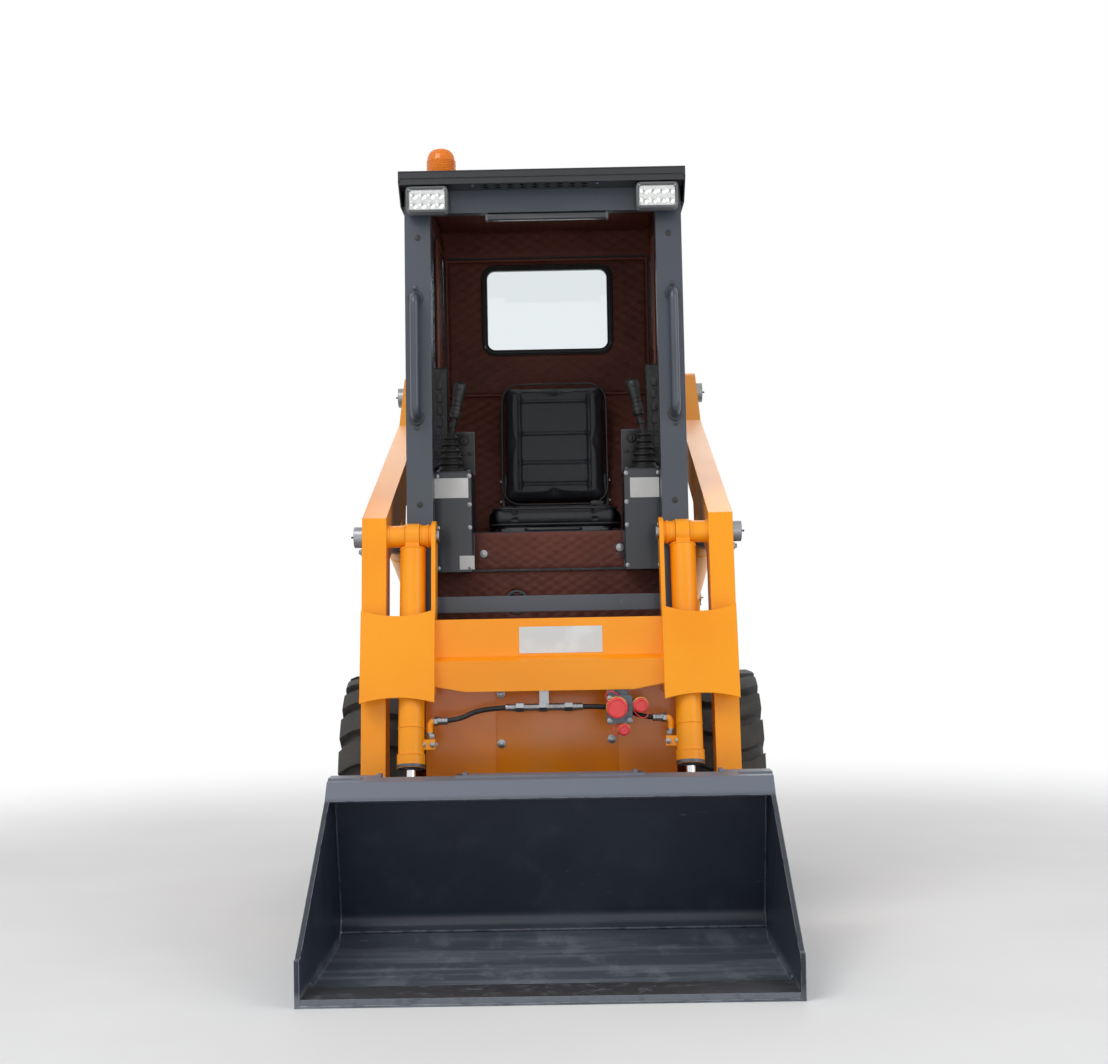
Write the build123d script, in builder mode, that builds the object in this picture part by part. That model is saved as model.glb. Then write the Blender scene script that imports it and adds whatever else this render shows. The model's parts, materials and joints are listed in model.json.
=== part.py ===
from build123d import *

import os
from math import acos, atan2, cos, radians, sin

# A compact skid steer loader with its bucket on the ground, in millimetres.
# The bucket points along -Y, +X is the driver's left and +Z is up. The origin is on
# the ground under the middle of the machine. A place along the machine is given as
# its distance behind the bucket's lip, and a pair (behind, height) is a point seen
# from the side.

# Overall
machine_length = 2600
bucket_width = 1150

# Pins, seen from the side
boom_pivot = (2250, 1625)
bucket_pin = (808, 185)
tilt_top_pin = (940, 1086)
tilt_eye_pin = (733, 300)
lift_base_pin = (2290, 890)
lift_eye_pin = (1440, 1110)
front_axle = (1270, 340)
rear_axle = (2050, 340)

# Half widths across the machine
arm_outer = 518
arm_inner = 450
inner_plate = 312
cylinder_line = 378
frame_outer = 352
cab_outer = 403
post_inner = 328
tower_outer = 436
tower_inner = 362

# Clearances and plate
running_gap = 0.3
frame_plate = 10
sheet = 5


def along(behind):
    """Y of a point so far behind the bucket's lip."""
    return behind - machine_length / 2


def side(points):
    """Side-view points in the plane that looks along X."""
    return [(along(behind), height) for behind, height in points]


def pin_plane(pin, start, end):
    """Plane square to X at a pin, where what spans from start to end begins."""
    return Plane(origin=(min(start, end), along(pin[0]), pin[1]), x_dir=(0, 1, 0), z_dir=(1, 0, 0))


def between(a, b, share):
    """Point a share of the way from a to b, seen from the side."""
    return (a[0] + (b[0] - a[0]) * share, a[1] + (b[1] - a[1]) * share)


os.makedirs("parts", exist_ok=True)

# Bucket shell: a folded floor and back with a lip above, two side plates, and a rail behind
# the lip that is left out at two slots.
bucket_sheet = 6
bucket_side = 12
floor_end = 640
heel = (700, 60)
back_top = (600, 452)
lip_corner = (551, 444)
lip_front = (509, 400)
floor_bend = 80
heel_bend = 40
lip_bend = 8
side_bend = 30
wear_bend = 12
wear_depth = 18
wear_height = 108
rail_depth = 40
rail_root = 25
rail_height = 22
slot_inner = 245
slot_outer = 488
bucket_fold = [(floor_end, 0), heel, back_top, lip_corner, lip_front]
fold_bends = (floor_bend, heel_bend, lip_bend, lip_bend)

with BuildPart() as bucket_shell:
    with BuildSketch(Plane.YZ.offset(-bucket_width / 2)):
        with BuildLine():
            FilletPolyline(*side([(2, 0), *bucket_fold]), radius=fold_bends)
            offset(amount=bucket_sheet, side=Side.LEFT)
        make_face()
    extrude(amount=bucket_width)
    for end in (-bucket_width / 2, bucket_width / 2 - bucket_side):
        with BuildSketch(Plane.YZ.offset(end)):
            with BuildLine():
                FilletPolyline(
                    *side([(0, 0), *bucket_fold, (wear_depth, wear_height), (0, wear_height)]),
                    radius=(1, *fold_bends, side_bend, wear_bend, 3), close=True,
                )
            make_face()
        extrude(amount=bucket_side)
    rail_front, rail_back = back_top[0] - rail_root, back_top[0] + rail_depth
    rail_low, bucket_half = back_top[1] - rail_height, bucket_width / 2
    for low, high in ((-slot_inner, slot_inner), (slot_outer, bucket_half), (-bucket_half, -slot_outer)):
        with BuildSketch(Plane.YZ.offset(low)):
            with BuildLine():
                Polyline(*side([
                    (rail_front, rail_low), (rail_back, rail_low),
                    (rail_back, back_top[1]), (rail_front, back_top[1]),
                ]), close=True)
            make_face()
        extrude(amount=high - low)
bucket_shell.part.label = "bucket_shell"
export_step(bucket_shell.part, "parts/bucket_shell.step")

# Cutting edge: a bevelled bar along the lip, between the side plates and proud of the floor.
edge_depth = 125
edge_thickness = 20
with BuildPart() as cutting_edge:
    with BuildSketch(Plane.YZ.offset(bucket_side - bucket_width / 2 + running_gap)):
        with BuildLine():
            Polyline(*side([
                (2, bucket_sheet + running_gap), (2, edge_thickness), (edge_depth, edge_thickness),
                (edge_depth + 14, bucket_sheet + running_gap),
            ]), close=True)
        make_face()
    extrude(amount=bucket_width - 2 * bucket_side - 2 * running_gap)
cutting_edge.part.label = "cutting_edge"
export_step(cutting_edge.part, "parts/cutting_edge.step")

# Hitch: a plate each side flat against the bucket's back, with two ears for the tilt rod's eye
# and two for the arm, and the pins that the arms turn on.
hitch_inner = 250
hitch_outer = 545
hitch_plate = 10
ear_plate = 14
tilt_ear_gap = 52
arm_ear_gap = 6
tilt_ear_radius = 38
arm_ear_radius = 46
pin_radius = 20
tilt_pin_radius = 12.5
fit_gap = 0.05
pin_head = 9

back_run = Vector(back_top[0] - heel[0], back_top[1] - heel[1]).normalized()
back_out = Vector(back_run.Y, -back_run.X)
hitch_low = Vector(*heel) + back_run * 40
hitch_high = Vector(*back_top) - back_run * (rail_height + 6)


def behind_back(point, distance):
    """Point moved square away from the outside of the bucket's back."""
    moved = point + back_out * distance
    return (moved.X, moved.Y)


tilt_ears = (cylinder_line - tilt_ear_gap / 2 - ear_plate, cylinder_line + tilt_ear_gap / 2)
arm_ears = (arm_inner - arm_ear_gap - ear_plate, arm_outer + arm_ear_gap)

with BuildPart() as hitch_plates:
    for hand in (1, -1):
        with BuildSketch(Plane.YZ.offset(min(hand * hitch_inner, hand * hitch_outer))):
            with BuildLine():
                Polyline(*side([
                    behind_back(hitch_low, 0), behind_back(hitch_high, 0),
                    behind_back(hitch_high, hitch_plate), behind_back(hitch_low, hitch_plate),
                ]), close=True)
            make_face()
        extrude(amount=hitch_outer - hitch_inner)
        for starts, pin, radius in (
            (tilt_ears, tilt_eye_pin, tilt_ear_radius), (arm_ears, bucket_pin, arm_ear_radius),
        ):
            foot = Vector(*pin)
            reach = (foot - Vector(*heel)).dot(back_run)
            low = behind_back(Vector(*heel) + back_run * max(reach - 1.9 * radius, 42), 2)
            high = behind_back(Vector(*heel) + back_run * (reach + 1.9 * radius), 2)
            for start in starts:
                with BuildSketch(Plane.YZ.offset(min(hand * start, hand * (start + ear_plate)))):
                    with BuildLine():
                        Line(*side([low, high]))
                        CenterArc((along(pin[0]), pin[1]), radius, 0, 360)
                    make_hull()
                extrude(amount=ear_plate)
        start, end = arm_ears[0] - 1, arm_ears[1] + ear_plate + 1
        with BuildSketch(pin_plane(bucket_pin, hand * start, hand * end)):
            Circle(pin_radius + fit_gap)
        extrude(amount=end - start, mode=Mode.SUBTRACT)
hitch_plates.part.label = "hitch_plates"
export_step(hitch_plates.part, "parts/hitch_plates.step")

# Bucket pins: one each side, through both ears and the foot of the arm.
with BuildPart() as bucket_pins:
    for hand in (1, -1):
        start, end = hand * (arm_ears[0] - pin_head), hand * (arm_ears[1] + ear_plate + pin_head)
        with BuildSketch(pin_plane(bucket_pin, start, end)):
            Circle(pin_radius)
        extrude(amount=abs(end - start))
bucket_pins.part.label = "bucket_pins"
export_step(bucket_pins.part, "parts/bucket_pins.step")

# Lift arms: a box tube each side from the bucket pin up to the knee and back to the boom
# pivot, with a boss beside the tilt cylinder and two lugs below for the lift rod's eye.
foot_radius = 50
knee_front = (912, 1138)
knee_back = (992, 1026)
rise_top = (2000, 1502)
rise_low = (2050, 1388)
pivot_radius = 70
boss_radius = 31
boss_gap = 1
tilt_eye_half = 19.5
pivot_pin_radius = 25
lug_plate = 12
lift_eye_half = 17
lug_gap = 3.5
lug_radius = 40
lift_pin_radius = 17.5
lug_spread = 70
arm_middle = (arm_inner + arm_outer) / 2


def under_beam(behind):
    """Point on the underside of the arm's beam."""
    return between(knee_back, rise_low, (behind - knee_back[0]) / (rise_low[0] - knee_back[0]))


def arm_front(height):
    """How far behind the lip the front face of an arm is at a height, below the knee."""
    span = Vector(*knee_front) - Vector(*bucket_pin)
    turn = atan2(span.Y, span.X) + acos(foot_radius / span.length)
    foot = (bucket_pin[0] + foot_radius * cos(turn), bucket_pin[1] + foot_radius * sin(turn))
    return between(foot, knee_front, (height - foot[1]) / (knee_front[1] - foot[1]))[0]


with BuildPart() as lift_arms:
    for hand in (1, -1):
        plane = Plane.YZ.offset(min(hand * arm_inner, hand * arm_outer))
        for edge, pin, radius in (
            ((knee_front, knee_back), bucket_pin, foot_radius),
            ((rise_top, rise_low), boom_pivot, pivot_radius),
        ):
            with BuildSketch(plane):
                with BuildLine():
                    Line(*side(edge))
                    CenterArc((along(pin[0]), pin[1]), radius, 0, 360)
                make_hull()
            extrude(amount=arm_outer - arm_inner)
        with BuildSketch(plane):
            with BuildLine():
                Polyline(*side([knee_front, rise_top, rise_low, knee_back]), close=True)
            make_face()
        extrude(amount=arm_outer - arm_inner)
        boss_start = cylinder_line + tilt_eye_half + boss_gap
        with BuildSketch(pin_plane(tilt_top_pin, hand * boss_start, hand * arm_inner)):
            Circle(boss_radius)
        extrude(amount=arm_inner - boss_start)
        lug_seat = lift_eye_half + lug_gap
        for start in (arm_middle - lug_seat - lug_plate, arm_middle + lug_seat):
            with BuildSketch(Plane.YZ.offset(min(hand * start, hand * (start + lug_plate)))):
                with BuildLine():
                    low = under_beam(lift_eye_pin[0] - lug_spread)
                    high = under_beam(lift_eye_pin[0] + lug_spread)
                    Line(*side([(low[0], low[1] + 1), (high[0], high[1] + 1)]))
                    CenterArc((along(lift_eye_pin[0]), lift_eye_pin[1]), lug_radius, 0, 360)
                make_hull()
            extrude(amount=lug_plate)
        for pin, radius in (
            (bucket_pin, pin_radius), (tilt_top_pin, pin_radius), (boom_pivot, pivot_pin_radius),
        ):
            start, end = hand * (boss_start - 1), hand * (arm_outer + 1)
            with BuildSketch(pin_plane(pin, start, end)):
                Circle(radius + fit_gap)
            extrude(amount=abs(end - start), mode=Mode.SUBTRACT)
lift_arms.part.label = "lift_arms"
export_step(lift_arms.part, "parts/lift_arms.step")

# Cross member: a box tube and an upper plate between two inner plates that carry the
# tilt cylinders' inner bosses, with a curved shield each side in front of the cylinders.
inner_plate_thick = 12
tube_profile = [
    (822, 654), (822, 738), (846, 748), (853, 852), (867, 852), (872, 752), (912, 738), (912, 654),
]
tube_low = tube_profile[0][1]
tube_kink = 230
tube_rise = 15
plate_head = 42
plate_foot = ((853, 852), (912, 838))
shield_low = (775, 629)
shield_high = (842, 881)
shield_thick = 6
shield_inner = inner_plate
shield_outer = 516
gusset_thick = 10
gusset_low = 650
gusset_high = 862
gusset_seat = [(868, 846), (842, 664)]
shield_dip = 18
shield_arch = 15
shield_run = Vector(shield_high[0] - shield_low[0], shield_high[1] - shield_low[1]).normalized()
shield_height = (Vector(*shield_high) - Vector(*shield_low)).length

with BuildPart() as cross_member:
    with BuildSketch(Plane.YZ.offset(-inner_plate)):
        with BuildLine():
            Polyline(*side(tube_profile), close=True)
        make_face()
    extrude(amount=2 * inner_plate)
    with BuildSketch(Plane.XZ.offset(-along(tube_profile[0][0] - 1))):
        for hand in (1, -1):
            with BuildLine():
                kink, edge = hand * tube_kink, hand * inner_plate
                Polyline(
                    (kink, tube_low - 1), (kink, tube_low),
                    (edge, tube_low + tube_rise), (edge, tube_low - 1), close=True,
                )
            make_face()
    extrude(amount=-(tube_profile[-1][0] - tube_profile[0][0] + 2), mode=Mode.SUBTRACT)
    for hand in (1, -1):
        plate_plane = Plane.YZ.offset(min(hand * inner_plate, hand * (inner_plate + inner_plate_thick)))
        with BuildSketch(plate_plane):
            with BuildLine():
                Polyline(*side([*tube_profile[:3], *plate_foot, tube_profile[-1]]), close=True)
            make_face()
        extrude(amount=inner_plate_thick)
        with BuildSketch(plate_plane):
            with BuildLine():
                Line(*side(plate_foot))
                CenterArc((along(tilt_top_pin[0]), tilt_top_pin[1]), plate_head, 0, 360)
            make_hull()
        extrude(amount=inner_plate_thick)
        boss_end = cylinder_line - tilt_eye_half - boss_gap
        with BuildSketch(pin_plane(tilt_top_pin, hand * inner_plate, hand * boss_end)):
            Circle(boss_radius)
        extrude(amount=boss_end - inner_plate)
        with BuildSketch(pin_plane(tilt_top_pin, hand * (inner_plate - 1), hand * (boss_end + 1))):
            Circle(pin_radius + fit_gap)
        extrude(amount=boss_end - inner_plate + 2, mode=Mode.SUBTRACT)
        shield_foot, shield_out = (0, *side([shield_low])[0]), (0, -shield_run.Y, shield_run.X)
        shield_plane = Plane(origin=shield_foot, x_dir=(1, 0, 0), z_dir=shield_out)
        middle = hand * (shield_inner + shield_outer) / 2
        near, far = hand * shield_inner, hand * shield_outer
        with BuildSketch(shield_plane):
            with BuildLine():
                Polyline((near, shield_height), (near, 0))
                ThreePointArc((near, 0), (middle, shield_arch), (far, 0))
                Line((far, 0), (far, shield_height))
                ThreePointArc(
                    (far, shield_height), (middle, shield_height - shield_dip), (near, shield_height),
                )
            make_face()
        extrude(amount=shield_thick)
        arm_face = [(arm_front(height) - running_gap, height) for height in (gusset_high, gusset_low)]
        for start, thick, inset, back in (
            (shield_inner, inner_plate_thick, 0.05, gusset_seat), (arm_inner, gusset_thick, 0.12, arm_face),
            (shield_outer - gusset_thick, gusset_thick, 0.05, arm_face),
        ):
            with BuildSketch(Plane.YZ.offset(min(hand * start, hand * (start + thick)))):
                with BuildLine():
                    low = between(shield_low, shield_high, inset)
                    high = between(shield_low, shield_high, 1 - inset)
                    Polyline(*side([(low[0] - 2, low[1]), (high[0] - 2, high[1]), *back]), close=True)
                make_face()
            extrude(amount=thick)
cross_member.part.label = "cross_member"
export_step(cross_member.part, "parts/cross_member.step")

# Boom pins: through each arm, the tilt cylinder's eye and the inner plate, headed outside.
boom_head_radius = 30
boom_head = 24
with BuildPart() as boom_pins:
    for hand in (1, -1):
        start, end = hand * (inner_plate - 8), hand * (arm_outer + running_gap + boom_head)
        with BuildSketch(pin_plane(tilt_top_pin, start, end)):
            Circle(pin_radius)
        extrude(amount=abs(end - start))
        with BuildSketch(pin_plane(tilt_top_pin, hand * (arm_outer + running_gap), end)):
            Circle(boom_head_radius)
        extrude(amount=boom_head)
boom_pins.part.label = "boom_pins"
export_step(boom_pins.part, "parts/boom_pins.step")

# Tilt and lift cylinders: a barrel with its eye and gland, and a rod with the pin it turns on.
# Each row: name, line across the machine, base pin, rod pin, barrel radius, rod radius, then
# where the rod and the barrel start and the barrel ends along the line of pins, then the base
# eye's radius, half width and bore, then the rod eye's radius, half width, pin and the half
# gap between what it sits in.
tilt_barrel_radius = 35.5
tilt_rod_radius = 13
tilt_barrel_start = 37
tilt_rod_start = 112
tilt_barrel_length = 655
tilt_base_radius = 36
tilt_rod_eye = 28
tilt_rod_half = 20
lift_barrel_radius = 38
lift_rod_radius = 19
lift_barrel_start = 53
lift_rod_start = 83
lift_barrel_length = 800
lift_base_radius = 40
lift_base_half = 20
lift_rod_eye = 34
gland_length = 34
port_inner = 313
port_outer = 352
port_low = 502
port_high = 529
port_line = 807
port_depth = 46
elbow_riser = 329
elbow_end = 304
elbow_radius = 9
elbow_bend = 16
hose_line = (815, 577)
cylinder_rows = (
    ("tilt", cylinder_line, tilt_top_pin, tilt_eye_pin, tilt_barrel_radius, tilt_rod_radius,
     (tilt_rod_start, tilt_barrel_start, tilt_barrel_length), (tilt_base_radius, tilt_eye_half, pin_radius),
     (tilt_rod_eye, tilt_rod_half, tilt_pin_radius, tilt_ear_gap / 2)),
    ("lift", arm_middle, lift_base_pin, lift_eye_pin, lift_barrel_radius, lift_rod_radius,
     (lift_rod_start, lift_barrel_start, lift_barrel_length), (lift_base_radius, lift_base_half, pin_radius),
     (lift_rod_eye, lift_eye_half, lift_pin_radius, lift_eye_half + lug_gap)),
)
for kind, line, base, tip, barrel_r, rod_r, reaches, base_eye, rod_eye in cylinder_rows:
    rod_start, start, length = reaches
    base_r, base_half, bore_r = base_eye
    eye_r, eye_half, tip_r, ear_half = rod_eye
    stroke_run = Vector(tip[0] - base[0], tip[1] - base[1]).normalized()
    reach = (Vector(*tip) - Vector(*base)).length
    for name, hand in (("left", 1), ("right", -1)):
        centre = (hand * line, along(base[0]), base[1])
        axis_plane = Plane(origin=centre, x_dir=(1, 0, 0), z_dir=(0, stroke_run.X, stroke_run.Y))
        with BuildPart() as barrel:
            with BuildSketch(axis_plane):
                Rectangle(2 * base_half, 2 * base_r - 20)
            extrude(amount=start + 1)
            with BuildSketch(axis_plane.offset(start)):
                Circle(barrel_r)
            extrude(amount=length - start)
            with BuildSketch(axis_plane.offset(length - gland_length)):
                Circle(barrel_r + 3)
            extrude(amount=gland_length)
            with BuildSketch(pin_plane(base, hand * line - base_half, hand * line + base_half)):
                Circle(base_r)
            extrude(amount=2 * base_half)
            with BuildSketch(pin_plane(base, hand * line - base_r, hand * line + base_r)):
                Circle(bore_r + fit_gap)
            extrude(amount=2 * base_r, mode=Mode.SUBTRACT)
            with BuildSketch(axis_plane.offset(start + 20)):
                Circle(rod_r + 0.1)
            extrude(amount=length, mode=Mode.SUBTRACT)
            if kind == "tilt":
                with BuildSketch(Plane.XY.offset(port_low)):
                    with Locations((hand * (port_inner + port_outer) / 2, along(port_line))):
                        Rectangle(port_outer - port_inner, port_depth)
                extrude(amount=port_high - port_low)
                hose_y = along(hose_line[0])
                with BuildLine() as elbow_path:
                    FilletPolyline(
                        (hand * elbow_riser, hose_y, port_high - 1),
                        (hand * elbow_riser, hose_y, hose_line[1]),
                        (hand * elbow_end, hose_y, hose_line[1]), radius=elbow_bend,
                    )
                with BuildSketch(Plane.XY.offset(port_high - 1)):
                    with Locations((hand * elbow_riser, hose_y)):
                        Circle(elbow_radius)
                sweep(path=elbow_path.line)
        barrel.part.label = f"{kind}_barrel_{name}"
        export_step(barrel.part, f"parts/{kind}_barrel_{name}.step")
        with BuildPart() as rod:
            with BuildSketch(axis_plane.offset(rod_start)):
                Circle(rod_r)
            extrude(amount=reach - rod_start - eye_r + 4)
            with BuildSketch(pin_plane(tip, hand * line - eye_half, hand * line + eye_half)):
                Circle(eye_r)
            extrude(amount=2 * eye_half)
            pin_half = ear_half - running_gap
            with BuildSketch(pin_plane(tip, hand * line - pin_half, hand * line + pin_half)):
                Circle(tip_r)
            extrude(amount=2 * pin_half)
        rod.part.label = f"{kind}_rod_{name}"
        export_step(rod.part, f"parts/{kind}_rod_{name}.step")

# Wheels: a steel rim with its hub and hand holes, and a tyre with wide blocks in a V.
# Pairs are (radius, distance outboard of the wheel's middle).
wheel_centre = 495.5
tyre_radius = 340
tyre_half = 107.5
carcass_radius = 318
carcass_half = 60
shoulder_radius = 306
shoulder_drop = 14
sidewall_radius = 290
sidewall_drop = 3
bulge_radius = 245
bead_radius = 190
bead_half = 96
bead_gap = 0.7
rim_sheet = 6
disc_out = 14
disc_thick = 10
hub_radius = 80
hub_in = 40
spindle_radius = 32
spindle_end = 30
hand_holes = 5
hand_hole_radius = 26
hand_hole_circle = 132
lug_rows = 20
lug_share = 0.34
lug_foot_radius = 294
lug_middle = 8
lug_end_gap = 3
lug_skew = 5
hub_cap_radius = 46
hub_cap_reach = 24

flange_high = 14
rim_profile = [
    (spindle_radius + fit_gap, -hub_in), (hub_radius, -hub_in), (hub_radius, disc_out),
    (bead_radius - rim_sheet, disc_out), (bead_radius - rim_sheet, -bead_half - 2),
    (bead_radius + flange_high, -bead_half - 2), (bead_radius + flange_high, -bead_half + bead_gap),
    (bead_radius, -bead_half + bead_gap), (bead_radius, bead_half - bead_gap),
    (bead_radius + flange_high, bead_half - bead_gap), (bead_radius + flange_high, bead_half + 2),
    (bead_radius - rim_sheet, bead_half + 2), (bead_radius - rim_sheet, disc_out + disc_thick),
    (hub_cap_radius + 12, disc_out + disc_thick), (hub_cap_radius, disc_out + disc_thick + 6),
    (hub_cap_radius - 4, spindle_end + hub_cap_reach), (0, spindle_end + hub_cap_reach),
    (0, spindle_end + running_gap), (spindle_radius + fit_gap, spindle_end + running_gap),
]
tyre_edge = [
    (bead_radius + running_gap, bead_half - 1), (bead_radius + 17, bead_half - 1),
    (bead_radius + 24, tyre_half - 4), (bulge_radius, tyre_half),
    (sidewall_radius, tyre_half - sidewall_drop), (shoulder_radius, tyre_half - shoulder_drop),
    (carcass_radius, carcass_half),
]
tyre_profile = [(radius, -distance) for radius, distance in tyre_edge] + tyre_edge[::-1]
pitch = 360 / lug_rows
lug_half_angle = pitch * lug_share


def lug_corner(radius, angle):
    """Corner of a tread block at a radius and an angle round the axle."""
    return (radius * cos(radians(angle)), radius * sin(radians(angle)))


blocks = []
for row in (1, -1):
    with BuildPart() as block:
        for distance, turn, foot in (
            (lug_middle, lug_skew / 2, carcass_radius - 2),
            (tyre_half - lug_end_gap, -lug_skew / 2, lug_foot_radius),
        ):
            with BuildSketch(Plane.XY.offset(row * distance)):
                with BuildLine():
                    low, high = turn - lug_half_angle, turn + lug_half_angle
                    Polyline(
                        lug_corner(foot, low), lug_corner(tyre_radius, low),
                        lug_corner(tyre_radius, turn), lug_corner(tyre_radius, high),
                        lug_corner(foot, high), close=True,
                    )
                make_face()
        loft(ruled=True)
    blocks.append((row, block))

wheel_rows = (
    ("front_left", 1, front_axle), ("front_right", -1, front_axle),
    ("rear_left", 1, rear_axle), ("rear_right", -1, rear_axle),
)
for name, hand, axle in wheel_rows:
    centre = (hand * wheel_centre, along(axle[0]), axle[1])
    radial = Plane(origin=centre, x_dir=(0, 1, 0), z_dir=(0, 0, -hand))
    outboard = Plane(origin=centre, x_dir=(0, 1, 0), z_dir=(hand, 0, 0))
    axle_line = Axis(centre, (1, 0, 0))
    with BuildPart() as rim:
        with BuildSketch(radial):
            with BuildLine():
                Polyline(*rim_profile, close=True)
            make_face()
        revolve(axis=axle_line)
        with BuildSketch(outboard.offset(disc_out - 1)):
            with PolarLocations(hand_hole_circle, hand_holes):
                Circle(hand_hole_radius)
        extrude(amount=disc_thick + 2, mode=Mode.SUBTRACT)
    rim.part.label = f"rim_{name}"
    export_step(rim.part, f"parts/rim_{name}.step")
    with BuildPart(outboard) as tyre:
        with BuildSketch(radial):
            with BuildLine():
                Polyline(*tyre_profile, close=True)
            make_face()
        revolve(axis=axle_line)
        for row, block in blocks:
            with PolarLocations(0, lug_rows, start_angle=row * pitch / 4 - 90):
                add(block.part)
    tyre.part.label = f"tyre_{name}"
    export_step(tyre.part, f"parts/tyre_{name}.step")


# Main frame: two side plates joined by a belly plate, a front plate and a rear plate. The
# side plates rise behind the cab to carry the engine bay, and the rear plate's edge carries
# the engine door's fixed knuckles with their pins.
frame_front = 950
frame_rear = 2440
belly = 195
deck = 700
bay_front = 1870
bay_top = 1130
rear_plate_top = 520
nose_rise = 90
tail_rise = 120
nose_end = frame_front + nose_rise + 6
tail_end = frame_rear - tail_rise - 6
door_hinge = (347, along(2467))
door_hinge_levels = (620, 1000)
knuckle = 30
knuckle_radius = 9
hinge_pin_radius = 4

with BuildPart() as main_frame:
    for hand in (1, -1):
        with BuildSketch(Plane.YZ.offset(min(hand * frame_outer, hand * (frame_outer - frame_plate)))):
            with BuildLine():
                FilletPolyline(*side([
                    (frame_front, belly + nose_rise), (frame_front + nose_rise, belly),
                    (frame_rear - tail_rise, belly), (frame_rear, belly + tail_rise),
                    (frame_rear, bay_top), (bay_front, bay_top), (bay_front, deck), (frame_front, deck),
                ]), radius=(20, 20, 20, 20, 1, 1, 20, 1), close=True)
            make_face()
        extrude(amount=frame_plate)
    inner_span = 2 * (frame_outer - frame_plate)
    with BuildSketch(Plane.YZ.offset(-inner_span / 2)):
        with BuildLine():
            Polyline(*side([
                (nose_end, belly), (tail_end, belly),
                (tail_end, belly + frame_plate), (nose_end, belly + frame_plate),
            ]), close=True)
        make_face()
        with BuildLine():
            Polyline(*side([
                (nose_end, belly), (nose_end, belly + 14),
                (frame_front + frame_plate, belly + nose_rise + 10),
                (frame_front + frame_plate, deck), (frame_front, deck), (frame_front, belly + nose_rise + 6),
            ]), close=True)
        make_face()
        with BuildLine():
            Polyline(*side([
                (tail_end, belly), (tail_end, belly + 14),
                (frame_rear - frame_plate, belly + tail_rise + 10),
                (frame_rear - frame_plate, rear_plate_top), (frame_rear, rear_plate_top),
                (frame_rear, belly + tail_rise + 6),
            ]), close=True)
        make_face()
    extrude(amount=inner_span)
    for level in door_hinge_levels:
        with BuildSketch(Plane.XY.offset(level)):
            with Locations(door_hinge):
                Circle(knuckle_radius)
            with Locations((door_hinge[0], (door_hinge[1] + along(frame_rear) - 4) / 2)):
                Rectangle(8, door_hinge[1] - along(frame_rear) + 4)
        extrude(amount=knuckle)
        with BuildSketch(Plane.XY.offset(level)):
            with Locations(door_hinge):
                Circle(hinge_pin_radius)
        extrude(amount=2 * knuckle + 3)
main_frame.part.label = "main_frame"
export_step(main_frame.part, "parts/main_frame.step")

# Axles: a flanged tube from the side plate to each wheel, with the spindle that it turns on.
# Each pair is (distance across the machine, radius).
axle_tube_radius = 58
axle_flange_radius = 84
axle_flange = 14
axle_gap = 6
flange_end = wheel_centre - hub_in - axle_gap
axle_profile = [
    (frame_outer, 0), (frame_outer, axle_tube_radius), (flange_end - axle_flange, axle_tube_radius),
    (flange_end - axle_flange, axle_flange_radius), (flange_end, axle_flange_radius),
    (flange_end, spindle_radius), (wheel_centre + spindle_end, spindle_radius),
    (wheel_centre + spindle_end, 0),
]
with BuildPart() as axles:
    for hand in (1, -1):
        for axle in (front_axle, rear_axle):
            middle = (0, along(axle[0]), axle[1])
            with BuildSketch(Plane(origin=middle, x_dir=(hand, 0, 0), z_dir=(0, -hand, 0))):
                with BuildLine():
                    Polyline(*axle_profile, close=True)
                make_face()
            revolve(axis=Axis(middle, (1, 0, 0)))
axles.part.label = "axles"
export_step(axles.part, "parts/axles.step")

# Front cover: a plate over the frame's front with a folded top edge.
cover_plate = 6
cover_low = 300
cover_fold = 38
with BuildPart() as front_cover:
    with BuildSketch(Plane.YZ.offset(running_gap - frame_outer)):
        with BuildLine():
            Polyline(*side([
                (frame_front - cover_plate, cover_low), (frame_front, cover_low), (frame_front, deck),
                (frame_front + cover_fold, deck), (frame_front + cover_fold, deck + cover_plate),
                (frame_front - cover_plate, deck + cover_plate),
            ]), close=True)
        make_face()
    extrude(amount=2 * (frame_outer - running_gap))
front_cover.part.label = "front_cover"
export_step(front_cover.part, "parts/front_cover.step")

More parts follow.
